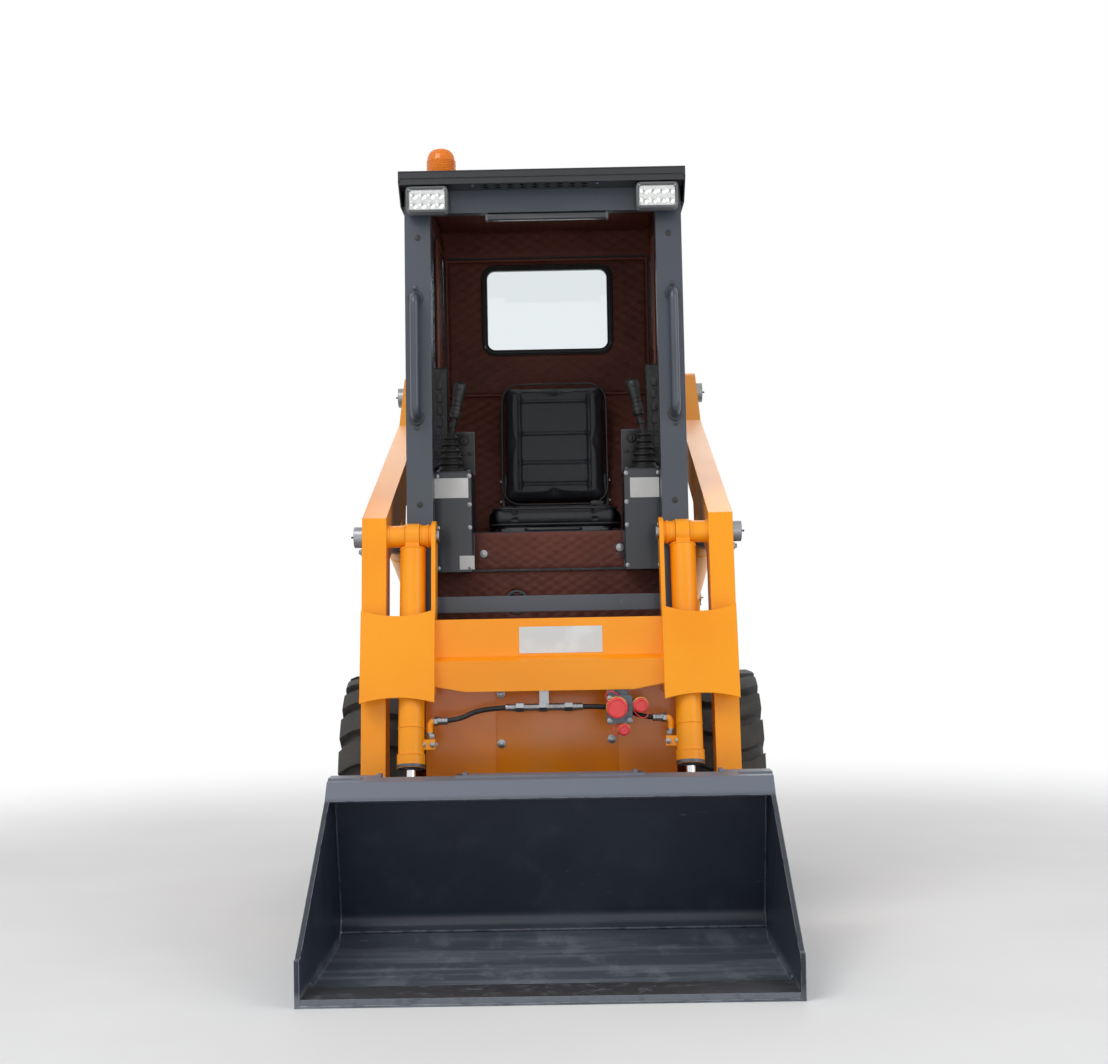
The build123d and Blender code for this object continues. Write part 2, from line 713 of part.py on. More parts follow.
# Towers: an upright box each side that carries the boom pivot, with a shelf and two lugs
# outboard for the lift cylinder's base.
tower_profile = [(2120, deck), (2384, deck), (2352, 1480), (2168, 1480)]
tower_head = 76
tower_boss_radius = 58
lug_shelf = 812
base_lug_radius = 48
base_lugs = (arm_middle - lift_base_half - lug_gap - lug_plate, arm_middle + lift_base_half + lug_gap)
with BuildPart() as towers:
    for hand in (1, -1):
        plane = Plane.YZ.offset(min(hand * tower_inner, hand * tower_outer))
        with BuildSketch(plane):
            with BuildLine():
                Polyline(*side(tower_profile), close=True)
            make_face()
            with BuildLine():
                Line(*side([tower_profile[2], tower_profile[3]]))
                CenterArc((along(boom_pivot[0]), boom_pivot[1]), tower_head, 0, 360)
            make_hull()
        extrude(amount=tower_outer - tower_inner)
        with BuildSketch(Plane.YZ.offset(min(hand * frame_outer, hand * tower_inner))):
            with BuildLine():
                Polyline(*side([(2140, deck), (2364, deck), (2360, bay_top), (2160, bay_top)]), close=True)
            make_face()
        extrude(amount=tower_inner - frame_outer)
        with BuildSketch(pin_plane(boom_pivot, hand * tower_outer, hand * (arm_inner - running_gap))):
            Circle(tower_boss_radius)
        extrude(amount=arm_inner - running_gap - tower_outer)
        with BuildSketch(Plane.YZ.offset(min(hand * tower_outer, hand * (base_lugs[1] + lug_plate)))):
            with BuildLine():
                Polyline(*side([
                    (2210, lug_shelf - 12), (2380, lug_shelf - 12), (2380, lug_shelf), (2210, lug_shelf),
                ]), close=True)
            make_face()
        extrude(amount=base_lugs[1] + lug_plate - tower_outer)
        for start in base_lugs:
            with BuildSketch(Plane.YZ.offset(min(hand * start, hand * (start + lug_plate)))):
                with BuildLine():
                    Line(*side([(2214, lug_shelf - 1), (2374, lug_shelf - 1)]))
                    CenterArc((along(lift_base_pin[0]), lift_base_pin[1]), base_lug_radius, 0, 360)
                make_hull()
            extrude(amount=lug_plate)
        for pin, radius, start, end in (
            (boom_pivot, pivot_pin_radius, tower_inner + 12, arm_inner + 1),
            (lift_base_pin, pin_radius, base_lugs[0] - 1, base_lugs[1] + lug_plate + 1),
        ):
            with BuildSketch(pin_plane(pin, hand * start, hand * end)):
                Circle(radius + fit_gap)
            extrude(amount=end - start, mode=Mode.SUBTRACT)
towers.part.label = "towers"
export_step(towers.part, "parts/towers.step")

# Frame pins: the boom pivots, headed outside the arms, and the lift cylinders' base pins.
with BuildPart() as frame_pins:
    for hand in (1, -1):
        start, end = hand * (tower_inner + 12 + running_gap), hand * (arm_outer + running_gap + boom_head)
        with BuildSketch(pin_plane(boom_pivot, start, end)):
            Circle(pivot_pin_radius)
        extrude(amount=abs(end - start))
        with BuildSketch(pin_plane(boom_pivot, hand * (arm_outer + running_gap), end)):
            Circle(boom_head_radius + 6)
        extrude(amount=boom_head)
        start, end = hand * (base_lugs[0] - 4), hand * (base_lugs[1] + lug_plate + 8)
        with BuildSketch(pin_plane(lift_base_pin, start, end)):
            Circle(pin_radius)
        extrude(amount=abs(end - start))
frame_pins.part.label = "frame_pins"
export_step(frame_pins.part, "parts/frame_pins.step")

# Engine and pump, as one block on the belly plate.
engine_middle = 2092
engine_width = 440
engine_depth = 400
engine_height = 720
with BuildPart() as engine_block:
    with BuildSketch(Plane.XY.offset(belly + frame_plate)):
        with Locations((0, along(engine_middle))):
            Rectangle(engine_width, engine_depth)
    extrude(amount=engine_height)
engine_block.part.label = "engine_block"
export_step(engine_block.part, "parts/engine_block.step")

# Rear guard: a heavy bumper below the engine door with a clevis for a tow pin.
guard_low = 262
guard_high = 520
guard_depth = 112
clevis_reach = 48
clevis_plate = 16
clevis_gap = 40
clevis_height = 400
tow_pin_radius = 13
reach = frame_rear + guard_depth
with BuildPart() as rear_guard:
    with BuildSketch(Plane.YZ.offset(-frame_outer)):
        with BuildLine():
            FilletPolyline(*side([
                (frame_rear, guard_low + 60), (frame_rear + 60, guard_low), (reach, guard_low + 40),
                (reach, guard_high - 40), (reach - 40, guard_high), (frame_rear, guard_high),
            ]), radius=(1, 20, 20, 12, 12, 1), close=True)
        make_face()
    extrude(amount=2 * frame_outer)
    for level in (clevis_height - clevis_gap / 2 - clevis_plate, clevis_height + clevis_gap / 2):
        with BuildSketch(Plane.XY.offset(level)):
            with BuildLine():
                Line((-50, along(reach - 2)), (50, along(reach - 2)))
                CenterArc((0, along(reach + clevis_reach - 26)), 26, 0, 360)
            make_hull()
        extrude(amount=clevis_plate)
        with BuildSketch(Plane.XY.offset(level - 1)):
            with Locations((0, along(reach + clevis_reach - 26))):
                Circle(tow_pin_radius)
        extrude(amount=clevis_plate + 2, mode=Mode.SUBTRACT)
rear_guard.part.label = "rear_guard"
export_step(rear_guard.part, "parts/rear_guard.step")

# Engine door: a shallow tray with louvres, hinged on the driver's left behind the frame.
door_half = 338
door_low = 534
door_high = 1118
door_sheet = 4
door_depth = 44
door_gap = 5
louvre_columns = (-165, 165)
louvre_pitch = 46
louvre_count = 9
louvre_length = 250
louvre_slot = 20
door_middle = (door_low + door_high) / 2
with BuildPart() as engine_door:
    front = along(frame_rear + door_gap)
    with BuildSketch(Plane.XZ.offset(-front)):
        with Locations((0, door_middle)):
            RectangleRounded(2 * door_half, door_high - door_low, 24)
    extrude(amount=-door_depth)
    with BuildSketch(Plane.XZ.offset(-front)):
        with Locations((0, door_middle)):
            RectangleRounded(2 * (door_half - door_sheet), door_high - door_low - 2 * door_sheet, 20)
    extrude(amount=-(door_depth - door_sheet), mode=Mode.SUBTRACT)
    with BuildSketch(Plane.XZ.offset(-front)):
        for column in louvre_columns:
            with Locations((column, door_middle)):
                with GridLocations(1, louvre_pitch, 1, louvre_count):
                    Rectangle(louvre_length, louvre_slot)
    extrude(amount=-door_depth, mode=Mode.SUBTRACT)
    for level in door_hinge_levels:
        with BuildSketch(Plane.XY.offset(level + knuckle + 1)):
            with Locations(door_hinge):
                Circle(knuckle_radius)
            with Locations((door_hinge[0] - 9, door_hinge[1])):
                Rectangle(18, 6)
        extrude(amount=knuckle)
        with BuildSketch(Plane.XY.offset(level + knuckle)):
            with Locations(door_hinge):
                Circle(hinge_pin_radius + fit_gap)
        extrude(amount=knuckle + 2, mode=Mode.SUBTRACT)
engine_door.part.label = "engine_door"
export_step(engine_door.part, "parts/engine_door.step")

# Hood: a folded lid over the engine bay, hinged behind the cab.
hood_half = 346
hood_front = 1912
hood_rear = 2484
hood_top = 1184
hood_drop = 1162
hood_lip = 1150
hood_chamfer = 14
hood_sheet = 4
hood_edge = bay_top + 5
hood_hinge = (1903, 1143)
hood_hinge_places = (-220, 220)
with BuildPart() as hood:
    for inset, mode in ((0, Mode.ADD), (hood_sheet, Mode.SUBTRACT)):
        with BuildSketch(Plane.YZ.offset(inset - hood_half)):
            with BuildLine():
                Polyline(*side([
                    (hood_front + inset, hood_edge), (hood_rear - inset, hood_edge),
                    (hood_rear - inset, hood_lip), (hood_rear - hood_chamfer, hood_drop - inset),
                    (hood_front + inset, hood_top - inset),
                ]), close=True)
            make_face()
        extrude(amount=2 * (hood_half - inset), mode=mode)
    for place in hood_hinge_places:
        with BuildSketch(Plane.YZ.offset(place + knuckle / 2 + 1)):
            with Locations(side([hood_hinge])[0]):
                Circle(knuckle_radius - 2)
            with Locations(side([(hood_hinge[0] + 5.5, hood_hinge[1])])[0]):
                Rectangle(11, 5)
        extrude(amount=knuckle)
        with BuildSketch(Plane.YZ.offset(place + knuckle / 2)):
            with Locations(side([hood_hinge])[0]):
                Circle(hinge_pin_radius + fit_gap)
        extrude(amount=knuckle + 2, mode=Mode.SUBTRACT)
hood.part.label = "hood"
export_step(hood.part, "parts/hood.step")

# Bay beam: a channel across the front of the engine bay with the hood's fixed knuckles.
beam_height = 60
beam_plate = 6
beam_foot = bay_top - beam_height
beam_web = bay_front + 2
beam_edge = bay_front + 36
with BuildPart() as bay_beam:
    with BuildSketch(Plane.YZ.offset(frame_plate - frame_outer)):
        with BuildLine():
            Polyline(*side([
                (beam_web, beam_foot), (beam_edge, beam_foot), (beam_edge, beam_foot + beam_plate),
                (beam_web + beam_plate, beam_foot + beam_plate),
                (beam_web + beam_plate, bay_top - beam_plate),
                (beam_edge, bay_top - beam_plate), (beam_edge, bay_top), (beam_web, bay_top),
            ]), close=True)
        make_face()
    extrude(amount=2 * (frame_outer - frame_plate))
    for place in hood_hinge_places:
        with BuildSketch(Plane.YZ.offset(place - knuckle / 2)):
            with Locations(side([hood_hinge])[0]):
                Circle(knuckle_radius - 2)
            with Locations(side([(hood_hinge[0], (hood_hinge[1] + bay_top - 2) / 2)])[0]):
                Rectangle(6, hood_hinge[1] - bay_top + 2)
        extrude(amount=knuckle)
        with BuildSketch(Plane.YZ.offset(place - knuckle / 2)):
            with Locations(side([hood_hinge])[0]):
                Circle(hinge_pin_radius)
        extrude(amount=2 * knuckle + 3)
bay_beam.part.label = "bay_beam"
export_step(bay_beam.part, "parts/bay_beam.step")

# Cab frame: raked front posts, rear posts, rails and the front sill, all box section.
cab_rear = 1860
post_foot = 988.5
post_lean = (1085 - 1019) / (2038 - 1127)
post_depth = 70
rail_low = 2045
rail_high = 2132
side_rail_inner = 353
rear_post_depth = 50
beam_front = 1098
beam_low = 2034
sill_low = 868
sill_high = 914
sill_front = 1040
sill_depth = 40
base_rail = 50
base_beam = 1806


def post_front(height):
    """How far behind the lip the front face of a front post is at a height."""
    return post_foot + post_lean * (height - deck)


with BuildPart() as cab_frame:
    for hand in (1, -1):
        with BuildSketch(Plane.YZ.offset(min(hand * post_inner, hand * cab_outer))):
            with BuildLine():
                Polyline(*side([
                    (post_front(deck), deck), (post_front(deck) + post_depth, deck),
                    (post_front(rail_high) + post_depth, rail_high), (post_front(rail_high), rail_high),
                ]), close=True)
            make_face()
        extrude(amount=cab_outer - post_inner)
        rows = (
            ((post_front(deck) + post_depth - 2, deck), (cab_rear, deck + base_rail)),
            ((post_front(rail_low) + post_depth - 2, rail_low), (cab_rear, rail_high)),
            ((cab_rear - rear_post_depth, deck + base_rail - 1), (cab_rear, rail_low + 1)),
        )
        for low, high in rows:
            with BuildSketch(Plane.YZ.offset(min(hand * side_rail_inner, hand * cab_outer))):
                with Locations(side([between(low, high, 0.5)])[0]):
                    Rectangle(high[0] - low[0], high[1] - low[1])
            extrude(amount=cab_outer - side_rail_inner)
    for low, high, half in (
        ((beam_front, beam_low), (beam_front + 40, rail_high), post_inner + 2),
        ((cab_rear - 40, rail_low), (cab_rear, rail_high), side_rail_inner + 2),
        ((base_beam, deck), (base_beam + 40, deck + base_rail), side_rail_inner + 2),
        ((sill_front, sill_low), (sill_front + sill_depth, sill_high), post_inner + 2),
    ):
        with BuildSketch(Plane.YZ.offset(-half)):
            with Locations(side([between(low, high, 0.5)])[0]):
                Rectangle(high[0] - low[0], high[1] - low[1])
        extrude(amount=2 * half)
cab_frame.part.label = "cab_frame"
export_step(cab_frame.part, "parts/cab_frame.step")

# Roof: a top sheet with side skirts that taper into a visor, and a perforated soffit in front.
roof_half = 413
roof_front = 1010
roof_rear = 1884
roof_sheet = 6
roof_hem = 14
roof_under = rail_high
roof_top = roof_under + roof_sheet
skirt_low = 2050
skirt_front_low = 2112
skirt_sheet = 5
visor_edge = 8
soffit = 2100
soffit_sheet = 4
soffit_rear = post_front(soffit) - 2 * running_gap
hole_columns = 9
hole_rows = 2
hole_pitch = (36, 30)
hole_size = 13
hole_middle = -20
with BuildPart() as roof:
    with BuildSketch(Plane.YZ.offset(-roof_half)):
        with BuildLine():
            Polyline(*side([
                (roof_front, roof_under - roof_hem), (roof_front, roof_top), (roof_rear, roof_top),
                (roof_rear, roof_top - roof_hem), (roof_rear - roof_sheet, roof_top - roof_hem),
                (roof_rear - roof_sheet, roof_under), (roof_front + roof_sheet, roof_under),
                (roof_front + roof_sheet, roof_under - roof_hem),
            ]), close=True)
        make_face()
    extrude(amount=2 * roof_half)
    for hand in (1, -1):
        with BuildSketch(Plane.YZ.offset(min(hand * roof_half, hand * (roof_half - skirt_sheet)))):
            with BuildLine():
                Polyline(*side([
                    (roof_front, skirt_front_low), (post_front(skirt_low) - 6, skirt_low),
                    (roof_rear, skirt_low), (roof_rear, roof_top), (roof_front, roof_top),
                ]), close=True)
            make_face()
        extrude(amount=skirt_sheet)
    with BuildSketch(Plane.XY.offset(soffit)):
        with Locations((0, along((roof_front + visor_edge + soffit_rear) / 2))):
            Rectangle(2 * roof_half - 2, soffit_rear - roof_front - visor_edge)
        with Locations((hole_middle, along((roof_front + soffit_rear) / 2 + 3))):
            with GridLocations(*hole_pitch, hole_columns, hole_rows):
                RegularPolygon(hole_size, 4, mode=Mode.SUBTRACT)
    extrude(amount=soffit_sheet)
    with BuildSketch(Plane.YZ.offset(-roof_half)):
        with Locations(side([(roof_front + visor_edge - 1, (roof_top + soffit) / 2)])[0]):
            Rectangle(roof_sheet, roof_top - soffit - 1)
    extrude(amount=2 * roof_half)
roof.part.label = "roof"
export_step(roof.part, "parts/roof.step")

# Cab sides: a sheet each side between the posts, slotted behind the front post, with a
# quilted lining behind the slots and below them.
lining = 12
slot_columns = 4
slot_rows = 11
slot_length = 62
slot_height = 34
slot_pitch = (82, 62)
slot_middle = (1300, 1630)
lining_front = 1476
with BuildPart() as cab_sides:
    for hand in (1, -1):
        with BuildSketch(Plane.YZ.offset(min(hand * (side_rail_inner - sheet), hand * side_rail_inner))):
            with BuildLine():
                notch = deck + base_rail + running_gap
                Polyline(*side([
                    (post_front(deck) + post_depth, deck), (base_beam - running_gap, deck),
                    (base_beam - running_gap, notch), (cab_rear - 10, notch),
                    (cab_rear - 10, rail_low), (post_front(rail_low) + post_depth, rail_low),
                ]), close=True)
            make_face()
            with Locations(side([slot_middle])[0]):
                with GridLocations(*slot_pitch, slot_columns, slot_rows):
                    Rectangle(slot_length, slot_height, mode=Mode.SUBTRACT)
        extrude(amount=sheet)
cab_sides.part.label = "cab_sides"
export_step(cab_sides.part, "parts/cab_sides.step")

# Rear wall: a folded sheet, upright behind the window and sloping forward under it, with a
# quilted lining in front and the window's glass and seal.
wall_front = 1846
wall_sheet = 4
wall_bend = 1580
wall_foot = (1668, 1118)
wall_half = side_rail_inner - sheet - running_gap
lining_half = wall_half - lining
lining_top = rail_low - 12
box_top = 1105
window_width = 424
window_height = 290
window_middle = 1865
window_radius = 38
seal_lap = 12
window_glass = 5
with BuildPart() as rear_wall:
    with BuildSketch(Plane.YZ.offset(-wall_half)):
        with BuildLine():
            Polyline(*side([(wall_front, rail_low), (wall_front, wall_bend), wall_foot]))
            offset(amount=wall_sheet, side=Side.LEFT)
        make_face()
    extrude(amount=2 * wall_half)
    with BuildSketch(Plane.XZ.offset(-along(wall_front - 1))):
        with Locations((0, window_middle)):
            RectangleRounded(window_width, window_height, window_radius)
    extrude(amount=-(wall_sheet + 2), mode=Mode.SUBTRACT)
rear_wall.part.label = "rear_wall"
export_step(rear_wall.part, "parts/rear_wall.step")

wall_run = Vector(wall_foot[0] - wall_front, wall_foot[1] - wall_bend).normalized()
fold_inner = (wall_front - lining, wall_bend + lining * (1 + wall_run.Y) / -wall_run.X)
foot_inner = (wall_foot[0] + lining * wall_run.Y, wall_foot[1] - lining * wall_run.X)
with BuildPart() as linings:
    for corners in (
        [(wall_front, lining_top), (wall_front, wall_bend + running_gap),
         (fold_inner[0], fold_inner[1] + running_gap), (wall_front - lining, lining_top)],
        [(wall_front, wall_bend), wall_foot, foot_inner, fold_inner],
    ):
        with BuildSketch(Plane.YZ.offset(-lining_half)):
            with BuildLine():
                Polyline(*side(corners), close=True)
            make_face()
        extrude(amount=2 * lining_half)
    with BuildSketch(Plane.XZ.offset(-along(wall_front - lining - 1))):
        with Locations((0, window_middle)):
            RectangleRounded(window_width, window_height, window_radius)
    extrude(amount=-(lining + 2), mode=Mode.SUBTRACT)
    for hand in (1, -1):
        with BuildSketch(Plane.YZ.offset(min(hand * (lining_half + running_gap), hand * wall_half))):
            with BuildLine():
                lining_low, lining_rear = box_top + running_gap, wall_front - lining - 3
                Polyline(*side([
                    (lining_front, lining_low), (wall_foot[0] - lining - 6, lining_low),
                    (lining_rear, wall_bend), (lining_rear, lining_top), (lining_front, lining_top),
                ]), close=True)
            make_face()
        extrude(amount=lining - running_gap)
linings.part.label = "linings"
export_step(linings.part, "parts/linings.step")

with BuildPart() as window_seal:
    seal_front = wall_front - lining - 5
    seal_depth = lining + wall_sheet + 10
    with BuildSketch(Plane.XZ.offset(-along(seal_front))):
        with Locations((0, window_middle)):
            RectangleRounded(window_width - 2 * running_gap, window_height - 2 * running_gap, window_radius)
            opening = (window_width - 2 * seal_lap, window_height - 2 * seal_lap)
            RectangleRounded(*opening, window_radius - seal_lap, mode=Mode.SUBTRACT)
    extrude(amount=-seal_depth)
window_seal.part.label = "window_seal"
export_step(window_seal.part, "parts/window_seal.step")

with BuildPart() as rear_window:
    with BuildSketch(Plane.XZ.offset(-along(wall_front))):
        with Locations((0, window_middle)):
            glass_inset = 2 * seal_lap + running_gap
            pane = (window_width - glass_inset, window_height - glass_inset)
            RectangleRounded(*pane, window_radius - seal_lap)
    extrude(amount=-window_glass)
rear_window.part.label = "rear_window"
export_step(rear_window.part, "parts/rear_window.step")

# Floor and seat box: a floor plate between the posts, and a box with a stepped front that
# carries the seat.
floor_sheet = 5
box_front = 1250
box_step = 990
box_recess = 14
box_sheet = 12
recess_face = box_front + box_recess
ring_hole = (-100, 893)
ring_radius = 32
with BuildPart() as cab_floor:
    post_clear = post_front(deck) + post_depth + 1
    for start, end, half in (
        (frame_front + cover_fold + running_gap, post_clear + 1, post_inner - running_gap),
        (post_clear, base_beam - running_gap, wall_half),
    ):
        with BuildSketch(Plane.XY.offset(deck)):
            with Locations((0, along((start + end) / 2))):
                Rectangle(2 * half, end - start)
        extrude(amount=floor_sheet)
cab_floor.part.label = "cab_floor"
export_step(cab_floor.part, "parts/cab_floor.step")

with BuildPart() as seat_box:
    with BuildSketch(Plane.YZ.offset(-wall_half)):
        with BuildLine():
            FilletPolyline(*side([
                (recess_face, deck + floor_sheet), (recess_face, box_step), (box_front, box_step),
                (box_front, box_top), (wall_foot[0] - 6, box_top), (wall_foot[0] - 6, box_top - box_sheet),
                (recess_face + box_sheet, box_top - box_sheet),
                (recess_face + box_sheet, deck + floor_sheet),
            ]), radius=(1, 1, 2, 8, 1, 1, 1, 1), close=True)
        make_face()
    extrude(amount=2 * wall_half)
    with BuildSketch(Plane.XZ.offset(-along(box_front))):
        with Locations(ring_hole):
            Circle(ring_radius)
    extrude(amount=-(box_recess + 2 * box_sheet), mode=Mode.SUBTRACT)
seat_box.part.label = "seat_box"
export_step(seat_box.part, "parts/seat_box.step")

# Seat: a steel pan on the box, a moulded cushion and a raked back held by two side plates.
seat_offset = 18
seat_half = 202
seat_front = 1298
seat_rear = 1612
seat_corner = 50
pan_height = 14
cushion_low = box_top + pan_height + running_gap
cushion_high = 1186
back_half = 178
back_low = 1196
back_height = 422
back_thick = 78
back_front = 1590
back_lean = 0.21
back_stretch = (1 + back_lean ** 2) ** 0.5
back_corner = 60
pad_chamfer = 16
bracket_plate = 8
bracket_inset = 34
bracket_low = 1182
bracket_high = 1310
bracket_depth = 18
strap_low = 1232
strap_high = 1300
strap_sheet = 6
pan_inset = 30
pan_trim = 20


def behind_seat(height):
    """How far behind the lip the back face of the seat's back is at a height."""
    return back_front + back_thick * back_stretch + back_lean * (height - back_low) + running_gap


with BuildPart() as seat_pan:
    with BuildSketch(Plane.XY.offset(box_top)):
        with Locations((seat_offset, along((seat_front + seat_rear) / 2))):
            RectangleRounded(2 * (seat_half - pan_inset), seat_rear - seat_front - 2 * pan_trim, 30)
    extrude(amount=pan_height)
    for hand in (1, -1):
        bracket_line = seat_offset + hand * (seat_half - bracket_inset)
        with BuildSketch(Plane.YZ.offset(bracket_line - bracket_plate / 2)):
            with BuildLine():
                Polyline(*side([
                    (seat_rear - 100, box_top), (seat_rear + 30, box_top),
                    (behind_seat(bracket_high - 20) + bracket_depth, bracket_high - 20),
                    (behind_seat(bracket_high), bracket_high), (behind_seat(bracket_low), bracket_low),
                    (seat_rear + 2, box_top + pan_height + 24), (seat_rear + 2, box_top + pan_height),
                    (seat_rear - 100, box_top + pan_height),
                ]), close=True)
            make_face()
        extrude(amount=bracket_plate)
    with BuildSketch(Plane.YZ.offset(seat_offset - seat_half + bracket_inset)):
        with BuildLine():
            Polyline(*side([
                (behind_seat(strap_low), strap_low), (behind_seat(strap_high), strap_high),
                (behind_seat(strap_high) + strap_sheet, strap_high),
                (behind_seat(strap_low) + strap_sheet, strap_low),
            ]), close=True)
        make_face()
    extrude(amount=2 * (seat_half - bracket_inset))
seat_pan.part.label = "seat_pan"
export_step(seat_pan.part, "parts/seat_pan.step")

with BuildPart() as seat_cushion:
    with BuildSketch(Plane.XY.offset(cushion_low)):
        with Locations((seat_offset, along((seat_front + seat_rear) / 2))):
            RectangleRounded(2 * seat_half, seat_rear - seat_front, seat_corner)
    extrude(amount=cushion_high - cushion_low)
    chamfer(seat_cushion.faces().sort_by(Axis.Z)[-1].edges(), pad_chamfer)
seat_cushion.part.label = "seat_cushion"
export_step(seat_cushion.part, "parts/seat_cushion.step")

with BuildPart() as seat_back:
    back_up = Vector(0, back_lean, 1).normalized()
    back_foot, back_face = (seat_offset, along(back_front), back_low), (0, -back_up.Z, back_up.Y)
    back_plane = Plane(origin=back_foot, x_dir=(1, 0, 0), z_dir=back_face)
    with BuildSketch(back_plane.offset(-back_thick)):
        with Locations((0, back_height / 2)):
            RectangleRounded(2 * back_half, back_height, back_corner)
    extrude(amount=back_thick)
    chamfer(seat_back.faces().sort_by(Axis.Y)[0].edges(), pad_chamfer)
seat_back.part.label = "seat_back"
export_step(seat_back.part, "parts/seat_back.step")

# Consoles: a stepped metal box each side of the seat with a small plate behind the lever.
console_inner = 226
console_outer = 333
console_front = 1180
console_rear = 1400
console_low = 986
console_top = 1283
console_heel = (box_front - running_gap, box_top + running_gap)
console_profile = [
    (console_front, console_low), (console_heel[0], console_low), console_heel,
    (console_rear, console_heel[1]), (console_rear, console_top), (console_front, console_top),
]
console_plate = 5
console_plate_outer = 284
console_plate_top = 1420
with BuildPart() as consoles:
    for hand in (1, -1):
        with BuildSketch(Plane.YZ.offset(min(hand * console_inner, hand * console_outer))):
            with BuildLine():
                Polyline(*side(console_profile), close=True)
            make_face()
        extrude(amount=console_outer - console_inner)
        with BuildSketch(Plane.YZ.offset(min(hand * console_inner, hand * console_plate_outer))):
            with BuildLine():
                Polyline(*side([
                    (console_rear - console_plate, console_top - 1), (console_rear, console_top - 1),
                    (console_rear, console_plate_top), (console_rear - console_plate, console_plate_top),
                ]), close=True)
            make_face()
        extrude(amount=console_plate_outer - console_inner)
consoles.part.label = "consoles"
export_step(consoles.part, "parts/consoles.step")

# Levers: a ribbed gaiter on each console, a stem and a grip that leans towards the seat.
lever_line = 290
lever_place = 1250
gaiter_low = console_top
gaiter_rib = 19.5
gaiter_ribs = 6
gaiter_foot = 42
gaiter_top = 22
gaiter_fold = 7
grip_radius = 16
grip_length = 108
grip_low = 1448
lever_lean = 0.19
stem_foot = 95
stem_radius = 8
knob_height = 30
knob_swell = 4
with BuildPart() as levers:
    for hand in (1, -1):
        centre = (hand * lever_line, along(lever_place), gaiter_low)
        points = [(0, 0)]
        for rib in range(gaiter_ribs):
            size = gaiter_foot + (gaiter_top - gaiter_foot) * rib / (gaiter_ribs - 1)
            points += [(size, rib * gaiter_rib), (size, (rib + 0.6) * gaiter_rib)]
            points += [(size - gaiter_fold, (rib + 0.8) * gaiter_rib)]
        points += [(0, (gaiter_ribs - 0.2) * gaiter_rib)]
        with BuildSketch(Plane(origin=centre, x_dir=(1, 0, 0), z_dir=(0, -1, 0))):
            with BuildLine():
                Polyline(*points, close=True)
            make_face()
        revolve(axis=Axis(centre, (0, 0, 1)))
        stem = Plane(origin=(centre[0], centre[1], gaiter_low + stem_foot), z_dir=(-hand * lever_lean, 0, 1))
        grip_start = grip_low - gaiter_low - stem_foot
        with BuildSketch(stem):
            Circle(stem_radius)
        extrude(amount=grip_start + 5)
        with BuildSketch(stem.offset(grip_start)):
            Circle(grip_radius)
        extrude(amount=grip_length)
        with BuildSketch(stem.offset(grip_start + grip_length - knob_height - 6)):
            Circle(grip_radius + knob_swell)
        extrude(amount=knob_height)
levers.part.label = "levers"
export_step(levers.part, "parts/levers.step")

# Side boxes: a dark switch box on each side sheet above its console.
side_box_inner = 303
side_box_middle = (1350, 1453)
side_box_size = (100, 313)
with BuildPart() as side_boxes:
    for hand in (1, -1):
        with BuildSketch(Plane.YZ.offset(min(hand * side_box_inner, hand * wall_half))):
            with Locations(side([side_box_middle])[0]):
                RectangleRounded(*side_box_size, 12)
        extrude(amount=wall_half - side_box_inner)
side_boxes.part.label = "side_boxes"
export_step(side_boxes.part, "parts/side_boxes.step")

# Grab handles: a bent tube on the front of each post.
handle_radius = 13
handle_low = 1430
handle_high = 1782
handle_stand = 48
handle_bend = 26
handle_line = 372
with BuildPart() as grab_handles:
    post_up = Vector(0, post_lean, 1).normalized()
    post_out = Vector(0, -post_up.Z, post_up.Y)
    for hand in (1, -1):
        handle_x = hand * handle_line
        low = Vector(handle_x, along(post_front(handle_low)), handle_low)
        high = Vector(handle_x, along(post_front(handle_high)), handle_high)
        reach_out = post_out * handle_stand
        with BuildLine() as handle_path:
            FilletPolyline(low, low + reach_out, high + reach_out, high, radius=handle_bend)
        with BuildSketch(Plane(origin=low, x_dir=(1, 0, 0), z_dir=post_out)):
            Circle(handle_radius)
        sweep(path=handle_path.line)
grab_handles.part.label = "grab_handles"
export_step(grab_handles.part, "parts/grab_handles.step")

# Work lamps: a finned box under the visor on a bracket from each post, with a glass in front.
lamp_line = 332
lamp_width = 120
lamp_low = 2022
lamp_high = 2096
lamp_front = 1018
lamp_depth = 44
lamp_rim = 7
lamp_glass = 3
lamp_bracket_low = 2050
lamp_bracket_high = 2068
bracket_half = 25
with BuildPart() as work_lamps:
    for hand in (1, -1):
        middle = (hand * lamp_line, (lamp_low + lamp_high) / 2)
        with BuildSketch(Plane.XZ.offset(-along(lamp_front))):
            with Locations(middle):
                RectangleRounded(lamp_width, lamp_high - lamp_low, 12)
        extrude(amount=-lamp_depth)
        with BuildSketch(Plane.XZ.offset(-along(lamp_front))):
            with Locations(middle):
                RectangleRounded(lamp_width - 2 * lamp_rim, lamp_high - lamp_low - 2 * lamp_rim, 7)
        extrude(amount=-lamp_glass - 8, mode=Mode.SUBTRACT)
        with BuildSketch(Plane.YZ.offset(hand * (lamp_line + 14) - bracket_half)):
            with BuildLine():
                lamp_back = lamp_front + lamp_depth - 4
                Polyline(*side([
                    (lamp_back, lamp_bracket_low), (post_front(lamp_bracket_low), lamp_bracket_low),
                    (post_front(lamp_bracket_high), lamp_bracket_high), (lamp_back, lamp_bracket_high),
                ]), close=True)
            make_face()
        extrude(amount=2 * bracket_half)
work_lamps.part.label = "work_lamps"
export_step(work_lamps.part, "parts/work_lamps.step")

